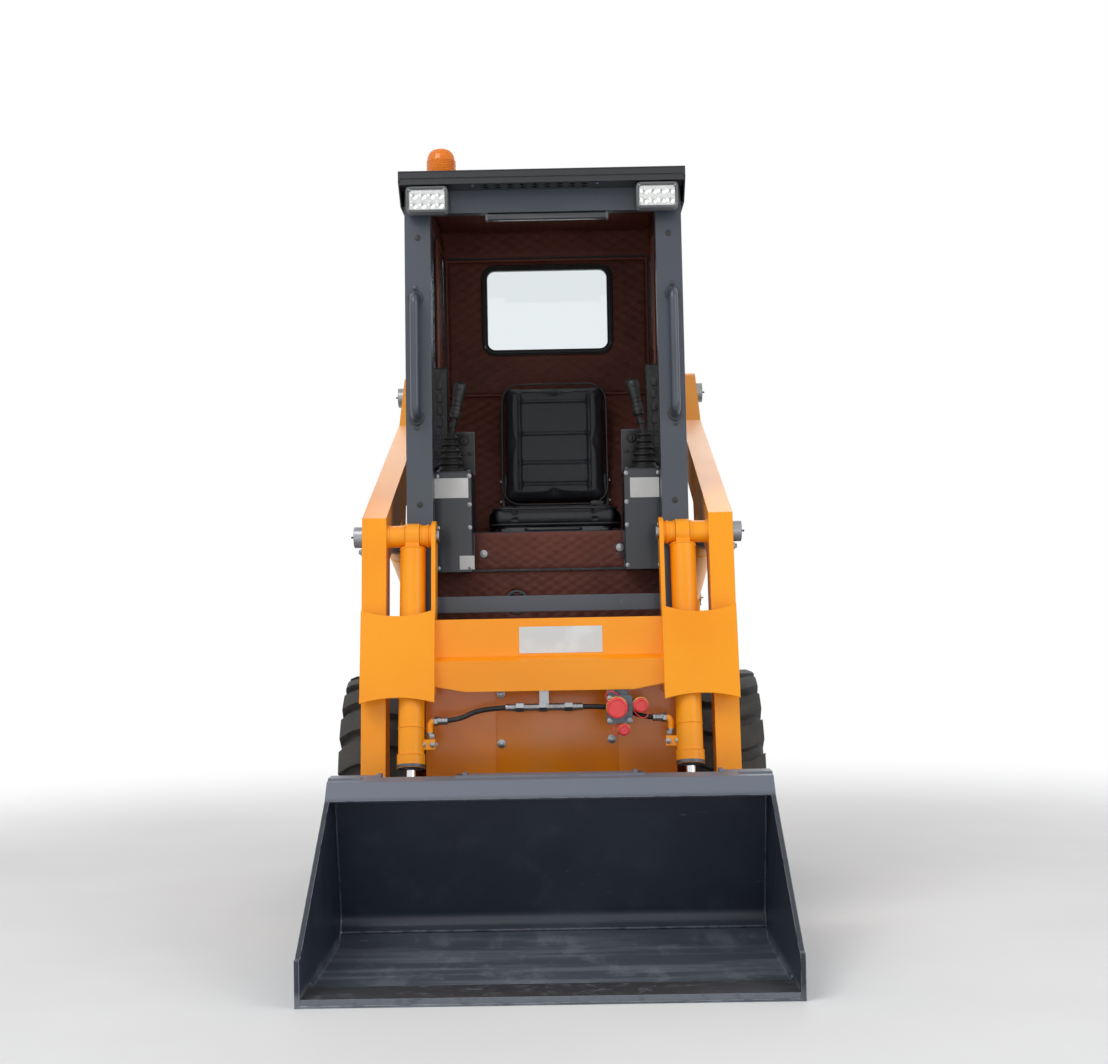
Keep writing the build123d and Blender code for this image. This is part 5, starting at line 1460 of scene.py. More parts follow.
@dataclass
class Cylinders(Assembly):
    """Tilt and lift cylinders: gland rings, welds, ports, eyes and nuts."""

    rams: tuple[Ram, ...] = (
        Ram("tilt", 378.0, ARM_PIN, TILT_EYE, 35.5, 13.0, 655.0, 37.0, 28.0, 20.0),
        Ram("lift", 484.0, LIFT_BASE, LIFT_TIP, 38.0, 19.0, 800.0, 53.0, 34.0, 17.0),
    )

    def build(self) -> None:
        """Dress the four cylinders."""
        for ram in self.rams:
            run = (Vector((0, *ram.tip)) - Vector((0, *ram.base))).normalized()
            for side, hand in (("left", 1), ("right", -1)):
                barrel, rod = f"{ram.kind}_barrel_{side}", f"{ram.kind}_rod_{side}"
                self.dress(Shelf.ORANGE, barrel)
                self.dress(Shelf.CHROME, rod)
                self._barrel(barrel, spot(hand * ram.line, *ram.base), run, ram)
                self._eye(rod, spot(hand * ram.line, *ram.tip), run, ram)
                if ram.kind == "tilt":
                    self._port(barrel, hand)

    @staticmethod
    def _barrel(name: str, foot: Vector, run: Vector, ram: Ram) -> None:
        """Weld the barrel's base, ring its gland and fit a wiper."""
        barrel, rod, length = ram.barrel, ram.rod, ram.length
        rings = Shape()
        rings.line(circle(foot + run * (ram.start + 2) * MM, run, barrel - 1, 56), 3.0)
        rings.line(circle(foot + run * (length - 36) * MM, run, barrel + 1.2, 56), 2.4)
        rings.line(circle(foot + run * (length - 110) * MM, run, barrel + 0.2, 56), 1.6)
        rings.piece(f"{name}_welds", Shelf.ORANGE, name, angle=60)
        gland = Shape()
        top = barrel + 3
        gland.ring(
            [
                (rod + 4, length + 0.3), (top - 1.5, length + 0.3), (top + 0.6, length - 1.6),
                (top + 0.6, length - 9), (top + 0.1, length - 9.5), (rod + 4, length - 9.5)
            ],
            foot, run, 64
        )
        gland.ring(
            [
                (rod + 0.6, length - 3), (rod + 5, length - 3), (rod + 5, length + 2),
                (rod + 2.5, length + 4.5), (rod + 0.6, length + 5)
            ],
            foot, run, 48
        )
        gland.piece(f"{name}_gland", Shelf.DARK_STEEL, name, slot="black_steel")

    @staticmethod
    def _eye(name: str, centre: Vector, run: Vector, ram: Ram) -> None:
        """Paint the rod's eye and weld it to the rod."""
        eye, half, rod = ram.eye, ram.half, ram.rod
        shape = Shape()
        shape.ring(
            [
                (eye + 0.05, -half + 1), (eye + 1.6, -half + 2.2), (eye + 1.6, half - 2.2),
                (eye + 0.05, half - 1)
            ],
            centre, ACROSS, 56
        )
        shape.ring(
            [(eye * 0.66, half), (eye - 0.5, half), (eye - 0.5, half + 0.9), (eye * 0.66, half + 0.9)],
            centre, ACROSS
        )
        shape.ring(
            [(eye * 0.66, -half - 0.9), (eye - 0.5, -half - 0.9), (eye - 0.5, -half), (eye * 0.66, -half)],
            centre, ACROSS
        )
        shape.ring(
            [(rod + 0.1, -eye - 8), (rod + 5, -eye - 3), (rod + 7, -eye + 4), (rod + 0.1, -eye + 4)],
            centre, run
        )
        shape.piece(f"{name}_eye", Shelf.ORANGE, name)

    @staticmethod
    def _port(name: str, hand: int) -> None:
        """Bolt the port block and nut the elbow."""
        shape = Shape()
        for across in (320, 345):
            shape.bolt(spot(hand * across, COUPLER_FACE, 515.5), FRONT, 8)
        foot = spot(hand * 329, 815, 529)
        shape.rod(foot + UP * 0.1 * MM, foot + UP * 13 * MM, 14.5, sides=6, bevel=1.0)
        shape.rod(foot + UP * 13 * MM, foot + UP * 18 * MM, 11.5, sides=28, bevel=0.8)
        shape.ring(
            [(9.0, 0), (13.4, 0), (13.4, 1.5), (12.4, 3), (9.0, 3)], spot(hand * 306.5, 815, 577),
            Vector((-hand, 0, 0)), 24
        )
        shape.rod(spot(hand * 318, 815, 577), spot(hand * 307, 815, 577), 12.6, sides=6, bevel=0.8)
        shape.piece(f"{name}_fittings", Shelf.ZINC, name)


@dataclass
class Wheel(Assembly):
    """One wheel: a tyre with chamfered blocks on a smooth carcass, nuts, cap and valve."""

    corner: str
    hand: int
    behind: float
    centre_line: float = 495.5
    height: float = AXLE_HEIGHT
    rows: int = 20
    pitch_share: float = 0.34
    skew: float = 2.5
    middle_gap: float = 8.0
    block_width: float = 97.5
    foot_radius: float = 310.0
    foot_drop: float = 34.0
    crown_drop: float = 6.5
    nuts: int = 8
    nut_circle: float = 82.0

    def build(self) -> None:
        """Build the tyre and what the rim carries."""
        body = f"wheel_{self.corner}"
        centre = spot(self.hand * self.centre_line, self.behind, self.height)
        out = Vector((self.hand, 0, 0))
        self.dress(Shelf.RIM, f"rim_{self.corner}")
        self._tyre(body, centre, out)
        self._hub(body, centre, out)

    def _tyre(self, body: str, centre: Vector, out: Vector) -> None:
        """Turn the carcass and lay the tread blocks on it."""
        shape = Shape()
        half = [
            (190.5, 95.2), (204, 95.4), (207, 98.5), (212, 99.5), (214, 101.5), (226, 104.8), (246, 107.2),
            (250, 108.4), (256, 108.4), (258, 107.2), (276, 105.6), (292, 101.0), (303, 94.5), (311, 84),
            (315.5, 70), (317.5, 40), (318, 0)
        ]
        profile = half + [(radius, -distance) for radius, distance in reversed(half[:-1])] + [half[0]]
        shape.turned(profile, centre, out, 96)
        pitch = math.tau / self.rows
        for row in (1, -1):
            for number in range(self.rows):
                self._block(
                    shape, centre, row, math.radians(-90) + row * pitch / 4 + number * pitch,
                    pitch * self.pitch_share
                )
        shape.piece(
            f"tyre_{self.corner}_tread", Shelf.TYRE, body, angle=32, replaces=(f"tyre_{self.corner}",)
        )

    def _block(self, shape: Shape, centre: Vector, row: int, turn: float, half: float) -> None:
        """Add one tread block: a grid raised into a slab, bent round the tyre and bevelled."""
        base = bmesh.ops.create_grid(shape.mesh, x_segments=3, y_segments=5, size=0.5)["verts"]
        faces = list({face for vert in base for face in vert.link_faces})
        made = bmesh.ops.extrude_face_region(shape.mesh, geom=faces, use_keep_orig=True)
        top = [item for item in made["geom"] if isinstance(item, bmesh.types.BMVert)]
        skew = math.radians(self.skew)
        for rise, verts in ((0, base), (1, top)):
            for vert in verts:
                side, run = vert.co.x, vert.co.y + 0.5
                distance = self.middle_gap + run * self.block_width
                foot = self.foot_radius - self.foot_drop * run ** 2.4
                radius = foot + (self.height - self.crown_drop * run ** 6 - foot) * rise
                flare = half * (1 + 0.14 * (1 - rise)) * (1 - 0.10 * run)
                angle = turn + skew * (1 - 2 * run) + flare * 2 * side + 0.035 * math.sin(run * math.pi)
                reach = Vector((row * distance, math.cos(angle) * radius, math.sin(angle) * radius)) * MM
                vert.co = centre + Vector((self.hand * reach.x, reach.y, self.hand * reach.z))
        sharp = [edge for edge in {e for v in top for e in v.link_edges} if edge.calc_face_angle(0.0) > 0.9]
        bmesh.ops.bevel(
            shape.mesh, geom=sharp, offset=2.2 * MM, offset_type="OFFSET", segments=2, profile=0.5,
            affect="EDGES", clamp_overlap=True, material=-1
        )

    def _hub(self, body: str, centre: Vector, out: Vector) -> None:
        """Nut the disc, cap the hub and fit a valve."""
        nuts = Shape()
        for number in range(self.nuts):
            turn = math.tau * (number + 0.5) / self.nuts
            foot = centre + out * 24 * MM + Vector((0, math.cos(turn), math.sin(turn))) * self.nut_circle * MM
            nuts.turned([(0, 0), (13, 0), (11, 3.5), (0, 3.5)], foot, out, 24)
            nuts.rod(foot + out * 3 * MM, foot + out * 15 * MM, 11, sides=6, bevel=1.0)
            nuts.rod(foot + out * 15 * MM, foot + out * 21 * MM, 6.2, sides=20, bevel=0.8)
        nuts.piece(f"nuts_{self.corner}", Shelf.ZINC, body)
        rings = Shape()
        rings.line(circle(centre + out * 24.6 * MM, out, 58.6, 64), 1.8)
        rings.line(circle(centre + out * 14 * MM, out, 183, 96), 3.0)
        rings.ring(
            [(189.6, 92), (205.5, 96.6), (206.6, 98.4), (205.5, 100.0), (203, 99.6), (189.6, 98.2)], centre,
            out, 96
        )
        rings.piece(f"rim_rings_{self.corner}", Shelf.RIM, body, angle=50)
        valve = Shape()
        foot = centre + out * 26 * MM + Vector((0, 0.6, 0.8)) * 176 * MM
        valve.turned(
            [(0, 0), (5.5, 0), (5, 8), (3.8, 12), (3.8, 26), (5, 27), (5, 36), (0, 37)], foot, out, 20
        )
        valve.piece(f"valve_{self.corner}", Shelf.PLASTIC, body)


@dataclass
class Chassis(Assembly):
    """Main frame, axles, cover, towers, engine bay, guard, door and hood."""

    flange: float = 388.0
    flank_face: float = 353.6
    tower_face: float = 436.0
    guard_face: float = 2552.0
    door_columns: tuple[float, float] = (-165.0, 165.0)
    blade_rows: int = 9
    blade_pitch: float = 46.0

    def build(self) -> None:
        """Dress the frame's solids and add what is bolted or welded to them."""
        self.dress(Shelf.ORANGE, "main_frame", "axles", "towers", "bay_beam", "engine_door", "hood")
        self.dress(Shelf.SHADED_COVER, "front_cover")
        self.dress(Shelf.BLACK, "rear_guard")
        self.dress(Shelf.IRON, "engine_block")
        self.dress(Shelf.ZINC, "frame_pins")
        self._cover()
        self._axles()
        self._towers()
        self._pins()
        self._sides()
        self._guard()
        self._door()
        self._hood()
        self._engine()

    def _cover(self) -> None:
        """Bolt the front cover and fold its lip."""
        bolts = Shape()
        for across, height in ((-139, 501), (-139, 372), (170, 509), (170, 380), (-139, 640), (170, 644)):
            bolts.bolt(spot(across, 941, height), FRONT, 13)
        for across in (-330, 330):
            for height in (340, 500, 660):
                bolts.bolt(spot(across, COVER_FACE, height), FRONT, 13)
        bolts.piece("cover_bolts", Shelf.ZINC)
        lips = Shape()
        lips.straight([spot(-351, 944.5, 705.4), spot(351, 944.5, 705.4)], 1.6)
        for height, behind in ((318, 943.5), (688, 943.5)):
            lips.block((690, 2.4, 9), spot(0, behind, height), 1.0)
        lips.piece("cover_ribs", Shelf.SHADED_COVER)
        panel = Shape().block((340, 3, 346), spot(17, 942.6, 503), 1.2)
        panel.piece("cover_panel", Shelf.SHADED_COVER)

    def _axles(self) -> None:
        """Bolt each axle flange and weld its tube to the frame."""
        bolts, welds = Shape(), Shape()
        for behind in (FRONT_AXLE, REAR_AXLE):
            for number in range(8):
                turn = math.tau * (number + 0.5) / 8
                place = spot(self.flange, behind + 71 * math.cos(turn), AXLE_HEIGHT + 71 * math.sin(turn))
                bolts.bolt(place, Vector((-1, 0, 0)), 13)
            welds.line(circle(spot(353, behind, AXLE_HEIGHT), ACROSS, 59, 90), 4.0)
            welds.ring(
                [(58, 0), (96, 0), (96, 5), (93, 7), (58, 7)], spot(352, behind, AXLE_HEIGHT), ACROSS, 64
            )
        bolts.mirrored().piece("axle_bolts", Shelf.ZINC)
        welds.mirrored().piece("axle_welds", Shelf.ORANGE, angle=50)

    def _towers(self) -> None:
        """Run beads round the towers' bosses, lugs and feet, and stiffen their faces."""
        seams = Shape()
        seams.line(circle(spot(436.6, *PIVOT_PIN), ACROSS, 59.5, 80), 2.8)
        for side in (448.4, 460.6, 507.4, 519.6):
            seams.bead([spot(side, 2216, 813), spot(side, 2372, 813)], 2.4)
        for z in (799, 813):
            seams.bead([spot(436.8, 2212, z), spot(436.8, 2378, z)], 2.6)
        seams.bead([spot(362.4, 2120, 701), spot(362.4, 2384, 701)], 3.2, 5)
        for start, end in (((2120, 705), (2167, 1470)), ((2384, 705), (2353, 1470))):
            seams.bead([spot(437, *start), spot(437, *end)], 1.8, 6)
        seams.mirrored().piece("tower_seams", Shelf.ORANGE, angle=60)
        plates = Shape()
        plates.block((3, 120, 190), spot(437.2, 2256, 1180), 1.4)
        plates.ring(
            [(44, 0), (47, 0), (47, 3), (45, 5), (44, 5)], spot(self.tower_face, PIVOT_PIN[0], 1420),
            ACROSS, 48
        )
        plates.turned(
            [(0, 0), (44, 0), (44, 1.2), (0, 1.2)], spot(self.tower_face, PIVOT_PIN[0], 1420), ACROSS, 48
        )
        plates.mirrored().piece("tower_plates", Shelf.ORANGE)
        bolts = Shape()
        for behind, height in ((2212, 1110), (2300, 1110), (2212, 1250), (2300, 1250)):
            bolts.bolt(spot(438.7, behind, height), ACROSS, 10)
        bolts.mirrored().piece("tower_bolts", Shelf.ZINC)

    def _pins(self) -> None:
        """Lock the boom pivots and the lift cylinders' base pins."""
        locks, nipples = Shape(), Shape()
        for behind, height, face, radius in ((*PIVOT_PIN, 542.3, 36), (*LIFT_BASE, 527.5, 18)):
            locks.ring(
                [(radius - 5, 0), (radius - 3, 1.4), (radius - 10, 1.4), (radius - 12, 0)],
                spot(face - 0.2, behind, height), ACROSS
            )
            nipples.turned(NIPPLE, spot(face, behind, height), ACROSS, 20)
        locks.mirrored().piece("pivot_rings", Shelf.ZINC)
        nipples.mirrored().piece("pivot_nipples", Shelf.BRASS)
        keepers = Shape()
        keepers.block((4, 52, 14), spot(521.8, 2290, 866), 1.2)
        for behind in (2276, 2304):
            keepers.bolt(spot(523.8, behind, 866), ACROSS, 8, False)
        keepers.mirrored().piece("base_keepers", Shelf.ZINC)

    def _sides(self) -> None:
        """Dress the frame's flanks with a tie ring, a step strip and edge rows of bolts."""
        bolts, plates = Shape(), Shape()
        plates.block((4, 220, 60), spot(self.flank_face, 1500, 620), 2.0)
        for behind in (1405, 1595):
            bolts.bolt(spot(self.flank_face + 2, behind, 620), ACROSS, 10)
        plates.block((4, 150, 110), spot(self.flank_face, 1660, 330), 3.0)
        for behind in (1600, 1720):
            for height in (290, 370):
                bolts.bolt(spot(self.flank_face + 2, behind, height), ACROSS, 10)
        plates.block((4, 60, 320), spot(self.flank_face, 2422, 900), 2.0)
        for height in (760, 900, 1040):
            bolts.bolt(spot(self.flank_face + 2, 2420, height), ACROSS, 10)
        plates.mirrored().piece("flank_plates", Shelf.ORANGE)
        bolts.mirrored().piece("flank_bolts", Shelf.ZINC)
        rings = Shape()
        rings.line(
            [
                spot(353, 1010, 640), spot(382, 1010, 640), spot(386, 1010, 612), spot(382, 1010, 590),
                spot(353, 1010, 590)
            ],
            7
        )
        rings.mirrored().piece("tie_rings", Shelf.BLACK, angle=60)

    def _guard(self) -> None:
        """Bolt the rear guard and pin its clevis."""
        shape = Shape()
        for across in (-310, -180, 180, 310):
            for height in (330, 450):
                shape.bolt(spot(across, self.guard_face, height), REAR, 17)
        shape.turned(
            [(0, 0), (18, 0), (18, 6), (12.6, 8), (12.6, 96), (10, 99), (0, 99)], spot(0, 2574, 439), -UP,
            32
        )
        shape.line(circle(spot(0, 2574, 455), REAR, 14, 40), 2.4)
        shape.piece("guard_bolts", Shelf.ZINC)
        seams = Shape()
        for height in (364, 380, 420, 436):
            seams.bead([spot(-44, 2552.4, height), spot(44, 2552.4, height)], 2.2)
        seams.block((600, 3, 46), spot(0, 2552.5, 390 + 88), 1.4)
        seams.piece("guard_ribs", Shelf.BLACK, angle=60)
        lamps, housings = Shape(), Shape()
        for across in (-262, 262):
            housings.block((92, 8, 42), spot(across, 2554, 300), 3)
            lamps.block((80, 6, 30), spot(across, 2559, 300), 2.5, 3)
        housings.piece("tail_housings", Shelf.PLASTIC)
        lamps.piece("tail_lenses", Shelf.RED)

    def _door(self) -> None:
        """Fit the engine door's latch, hinge caps, rim and mesh."""
        body = "engine_door"
        latch = Shape()
        latch.block((44, 4, 120), spot(-306, 2491, DOOR_MIDDLE), 2.5, 3)
        latch.turned([(0, 0), (15, 0), (15, 5), (12, 8), (0, 8)], spot(-306, 2493, 852), REAR, 32)
        latch.block((16, 12, 78), spot(-306, 2499, 818), 4, 3)
        latch.piece("door_latch", Shelf.PLASTIC, body)
        rim = Shape()
        for across in (-331, 331):
            rim.block((8, 3, 520), spot(across, DOOR_FACE + 1, DOOR_MIDDLE), 1.4)
        for height in (541, 1111):
            rim.block((610, 3, 8), spot(0, DOOR_FACE + 1, height), 1.4)
        rim.block((8, 3, 500), spot(0, DOOR_FACE + 1, DOOR_MIDDLE), 1.4)
        rim.piece("door_rim", Shelf.ORANGE, body)
        blades, mesh = Shape(), Shape()
        lean = Matrix.Rotation(math.atan2(11, 14), 4, "X")
        for column in self.door_columns:
            mesh.block((262, 1.2, 408), spot(column, 2483.6, DOOR_MIDDLE), 0.0)
            for number in range(self.blade_rows):
                blades.block(
                    (250, 2.4, 20),
                    spot(column, 2493.6, 832 + (number - (self.blade_rows - 1) / 2) * self.blade_pitch),
                    1.0, 2, lean
                )
        blades.piece("door_blades", Shelf.ORANGE, body)
        mesh.piece("door_mesh", Shelf.PLASTIC, body)
        bolts = Shape()
        for across in (-322, 322):
            for height in (560, 1092):
                bolts.bolt(spot(across - (14 if across > 0 else -14), DOOR_FACE, height), REAR, 8)
        for height in (651, 1031):
            bolts.ring(
                [(4.4, 0), (8.4, 0), (8.4, 2), (6, 4), (4.4, 4)], spot(347, 2467, height + 30.2), UP, 24
            )
        bolts.piece("door_bolts", Shelf.ZINC, body)

    def _hood(self) -> None:
        """Rib the hood, and give it a grab bar and rubber stops."""
        body = "hood"
        slope = Matrix.Rotation(math.atan2(-22, 558), 4, "X")
        ribs = Shape()
        for across in (-240, -80, 80, 240):
            ribs.block((16, 420, 4), spot(across, 2190, 1174.6), 1.8, 3, slope)
        ribs.piece("hood_ribs", Shelf.ORANGE, body)
        grille = Shape()
        for number in range(9):
            grille.block((110, 8, 3), spot(0, 2080 + number * 22, 1179.3 - number * 0.87), 1.2, 2, slope)
        grille.piece("hood_grille", Shelf.PLASTIC, body)
        bar = Shape()
        bar.line(
            [spot(-60, 2478, 1152), spot(-60, 2494, 1153), spot(60, 2494, 1153), spot(60, 2478, 1152)], 5
        )
        bar.piece("hood_bar", Shelf.BLACK, body, angle=60)
        stops = Shape()
        for across in (-318, 318):
            stops.rod(spot(across, 2440, 1160), spot(across, 2440, 1136), 10, sides=24, bevel=1)
        stops.piece("hood_stops", Shelf.SEAL, body)

    def _engine(self) -> None:
        """Give the engine a cowl, pulleys, a filter and ducts in its bay."""
        block = Shape()
        block.block((360, 330, 60), spot(0, 2092, 945), 14, 3)
        for number in range(11):
            block.block((300, 8, 26), spot(0, 1952 + number * 28, 984), 2)
        block.block((12, 300, 420), spot(226, 2092, 520), 5)
        block.block((12, 300, 420), spot(-226, 2092, 520), 5)
        block.piece("engine_cowl", Shelf.IRON)
        pulleys = Shape()
        for across, height, radius in ((0, 480, 78), (-120, 640, 52), (126, 690, 44)):
            pulleys.turned(
                [
                    (0, 0), (radius, 0), (radius, 6), (radius - 8, 12), (radius, 18), (radius, 24),
                    (radius - 14, 26), (0, 26)
                ],
                spot(across, 2292, height), REAR, 56
            )
        pulleys.piece("engine_pulleys", Shelf.DARK_STEEL, slot="engine")
        ducts = Shape()
        ducts.line(
            [
                spot(-150, 2150, 975), spot(-150, 2150, 1030), spot(-90, 2200, 1052), spot(60, 2210, 1052),
                spot(130, 2210, 1030)
            ],
            30
        )
        ducts.rod(spot(40, 2210, 1040), spot(200, 2210, 1040), 52, sides=40, bevel=6)
        ducts.piece("engine_ducts", Shelf.PLASTIC, angle=50)


@dataclass
class Cab(Assembly):
    """Cab shell: posts, roof, walls, window, quilted lining and seat box."""

    wall_face: float = 1834.0
    wall_top: float = 2033.0
    wall_fold: float = 1583.0
    lining_half: float = 335.7
    post_foot: tuple[float, float] = (1019.0, 1127.0)
    post_head: tuple[float, float] = (1085.0, 2038.0)
    post_face: float = 988.5
    post_low: float = 700.0
    handle_line: float = 372.0
    lamp_middle: float = 12.0
    box_low: float = 709.0
    hole_centre: tuple[float, float] = (-100.0, 893.0)

    def build(self) -> None:
        """Dress the cab's solids and line it."""
        self.dress(Shelf.SLATE, "cab_frame", "cab_sides", "rear_wall", "cab_floor", "seat_box")
        self.dress(Shelf.SHADED_ROOF, "roof")
        self.dress(Shelf.SLATE, "grab_handles")
        self.dress(Shelf.SEAL, "window_seal")
        self.dress(Shelf.GLASS, "rear_window")
        self._walls()
        self._side_linings()
        self._welts()
        self._window()
        self._posts()
        self._roof()
        self._box()
        self._floor()

    def _walls(self) -> None:
        """Quilt the wall behind the seat in its two runs."""
        top, low = self.wall_top, self.wall_fold
        middle = (top + low) / 2
        hole = rounded_hole((0, 1865 - middle), 424, 290, 38)
        upper = QuiltPanel(
            "wall_quilt_upper", spot(0, self.wall_face + 5, middle), ACROSS, UP, 2 * self.lining_half - 6,
            top - low - 4, 5.0, 6.0, keep=hole
        )
        start, end = Vector((0, 1834.0, 1582.2)), Vector((0, 1656.8, 1122.3))
        run = (start - end).normalized()
        centre = (start + end) / 2
        lower = QuiltPanel(
            "wall_quilt_lower", spot(0, centre.y, centre.z) - ACROSS.cross(run) * 5 * MM, ACROSS, run,
            2 * self.lining_half - 6, (start - end).length - 6, 5.0, 6.0,
        )
        settle(upper.build(), CHASSIS, ("linings",))
        settle(lower.build(), CHASSIS)
        ceiling = QuiltPanel("ceiling_quilt", spot(0, 1479, 2128), ACROSS, FRONT, 696, 676, 3.0, 4.0)
        settle(ceiling.build(), CHASSIS)
        beam = QuiltPanel("beam_quilt", spot(0, 1816, 2083), ACROSS, UP, 696, 86, 3.0, 4.0)
        settle(beam.build(), CHASSIS)
        for side in Hand:
            inward = Vector((-side.value, 0, 0))
            right = Vector((0, side.value, 0))
            rail = QuiltPanel(
                f"rail_quilt_{side.name.lower()}", spot(side.value * 349.5, 1478, 2083), right,
                inward.cross(right), 668, 80, 3.0, 4.0
            )
            settle(rail.build(), CHASSIS)

    def _side_linings(self) -> None:
        """Quilt the rear half of each side wall, cut along the folded wall."""
        for side in Hand:
            front, rear, low, top = 1476.0, 1831.0, 1107.0, self.wall_top
            middle_a, middle_z = (front + rear) / 2, (low + top) / 2
            right = Vector((0, side.value, 0))
            inward = Vector((-side.value, 0, 0))
            foot, fold = Vector((1652.0, 1107.0)), Vector((1829.0, 1580.0))
            along = (fold - foot).normalized()

            def keep(across: float, high: float, hand: int = side.value) -> float:
                """Distance in front of the folded wall's slope."""
                place = Vector((middle_a + hand * across, middle_z + high)) - foot
                return -(place.x * along.y - place.y * along.x)

            panel = QuiltPanel(
                f"side_quilt_{side.name.lower()}", spot(side.value * 342, middle_a, middle_z), right,
                inward.cross(right), rear - front, top - low, 4.0, 5.0, keep=keep
            )
            settle(panel.build(), CHASSIS)

    def _welts(self) -> None:
        """Pipe the lining's corners and edges."""
        welts = Shape()
        half = self.lining_half
        welts.straight([spot(-half, 1832, 1581), spot(half, 1832, 1581)], 3.4)
        welts.straight(
            [spot(half - 1, 1829, 2034), spot(half - 1, 1829, 1582), spot(half - 1, 1653, 1124)], 4.0
        )
        welts.straight(
            [spot(1 - half, 1829, 2034), spot(1 - half, 1829, 1582), spot(1 - half, 1653, 1124)], 4.0
        )
        for hand in (1, -1):
            welts.straight(
                [spot(hand * 340, 1476, 1108), spot(hand * 340, 1476, 2033), spot(hand * 338, 1828, 2033)],
                4.2
            )
        welts.straight([spot(-half, 1832, 2033), spot(half, 1832, 2033)], 4.0)
        welts.straight([spot(-half, 1655, 1120), spot(half, 1655, 1120)], 4.0)
        welts.piece("lining_welts", Shelf.WELT, angle=60)

    def _window(self) -> None:
        """Lip the window's seal and lay its locking bead."""
        lips = Shape()
        for grow, radius in ((4.0, 3.2), (-9.0, 2.6)):
            lips.straight(self._ring(424 + 2 * grow, 290 + 2 * grow, 38 + grow, 1828.6), radius)
            lips.straight(self._ring(424 + 2 * grow, 290 + 2 * grow, 38 + grow, 1854.6), radius)
        lips.piece("seal_lips", Shelf.SEAL, slot="seal", angle=60)

    @staticmethod
    def _ring(width: float, height: float, radius: float, behind: float) -> list[Vector]:
        """Points of a rounded rectangle round the window."""
        points = []
        for corner in range(4):
            middle_x = (width / 2 - radius) * (1 if corner in (0, 3) else -1)
            middle_z = (height / 2 - radius) * (1 if corner < 2 else -1)
            for step in range(9):
                turn = math.radians(90 * corner + 11.25 * step)
                points.append(
                    spot(
                        middle_x + radius * math.cos(turn), behind,
                        1865 + middle_z + radius * math.sin(turn)
                    )
                )
        return [*points, points[0]]

    def _posts(self) -> None:
        """Bolt the handles' feet and plug the posts."""
        feet, bolts, plugs, seams = Shape(), Shape(), Shape(), Shape()
        lean = (self.post_head[0] - self.post_foot[0]) / (self.post_head[1] - self.post_foot[1])

        def face(across: float, height: float) -> Vector:
            """Give a place on the posts' front face."""
            return spot(across, self.post_face + lean * (height - self.post_low), height)

        tilt = Matrix.Rotation(-math.atan(lean), 4, "X")
        out = tilt.to_3x3() @ FRONT
        for height in (1430, 1782):
            foot = face(self.handle_line, height)
            feet.ring([(12.6, 0), (22, 0), (22, 4), (20, 6), (12.6, 6)], foot, out, 40)
            for shift in (-28, 28):
                bolts.bolt(face(self.handle_line, height + shift), out, 9)
        feet.mirrored().piece("handle_feet", Shelf.BLACK)
        bolts.mirrored().piece("handle_bolts", Shelf.BLACK)
        for height in (760, 1180, 1960):
            plugs.turned([(0, 0), (9, 0), (9, 1.4), (6, 2.6), (0, 2.6)], face(365, height), out, 28)
        plugs.mirrored().piece("post_plugs", Shelf.PLASTIC)
        for height in (868, 914):
            seams.bead([spot(327.6, 1042, height), spot(327.6, 1078, height)], 2.4)
        for behind in (1100, 1136):
            seams.bead([spot(327.6, behind, 2036), spot(327.6, behind, 2097)], 2.2)
        seams.bead([spot(353, 1062, 2044.6), spot(403, 1062, 2044.6)], 2.2)
        seams.mirrored().piece("post_seams", Shelf.SLATE, angle=60)
        rail = Shape()
        for number in range(5):
            rail.bolt(spot(404, 1200 + 150 * number, 2088), ACROSS, 9)
            rail.bolt(spot(404, 1200 + 150 * number, 725), ACROSS, 9)
        rail.mirrored().piece("rail_bolts", Shelf.ZINC)

    def _roof(self) -> None:
        """Crease the roof, bolt it down and cap its edge."""
        beads, bolts = Shape(), Shape()
        for across in (-260, -130, 0, 130, 260):
            beads.block((26, 690, 3), spot(across, 1470, 2139), 1.4, 3)
        beads.straight([spot(-412, 1010.4, 2137), spot(412, 1010.4, 2137)], 2.2)
        beads.piece("roof_beads", Shelf.SHADED_ROOF)
        for across in (-390, 390):
            for behind in (1060, 1260, 1460, 1660, 1840):
                bolts.turned(
                    [(0, 0), (8, 0), (8, 2), (5, 4.2), (0, 4.4)], spot(across, behind, ROOF_TOP), UP, 24
                )
        bolts.piece("roof_bolts", Shelf.ZINC)
        edge = Shape()
        for hand in (1, -1):
            edge.straight(
                [spot(hand * 411, 1012, 2110), spot(hand * 411, 1080, 2051), spot(hand * 411, 1882, 2051)],
                2.6
            )
        edge.piece("skirt_edges", Shelf.SHADED_ROOF, angle=60)
        screws = Shape()
        for across in (-200, 160):
            screws.bolt(spot(across, 1026, 2099.6), Vector((0, 0, -1)), 7)
        screws.piece("soffit_screws", Shelf.DARK_STEEL)
        strip = Shape().block((352, 26, 20), spot(self.lamp_middle, 1118, 2023.6), 5, 3)
        strip.piece("cab_lamp", Shelf.DIFFUSER)
        caps = Shape()
        for shift in (-176, 176):
            caps.block((8, 29, 22), spot(self.lamp_middle + shift, 1118, 2023.4), 3, 3)
        caps.piece("cab_lamp_caps", Shelf.GREY)

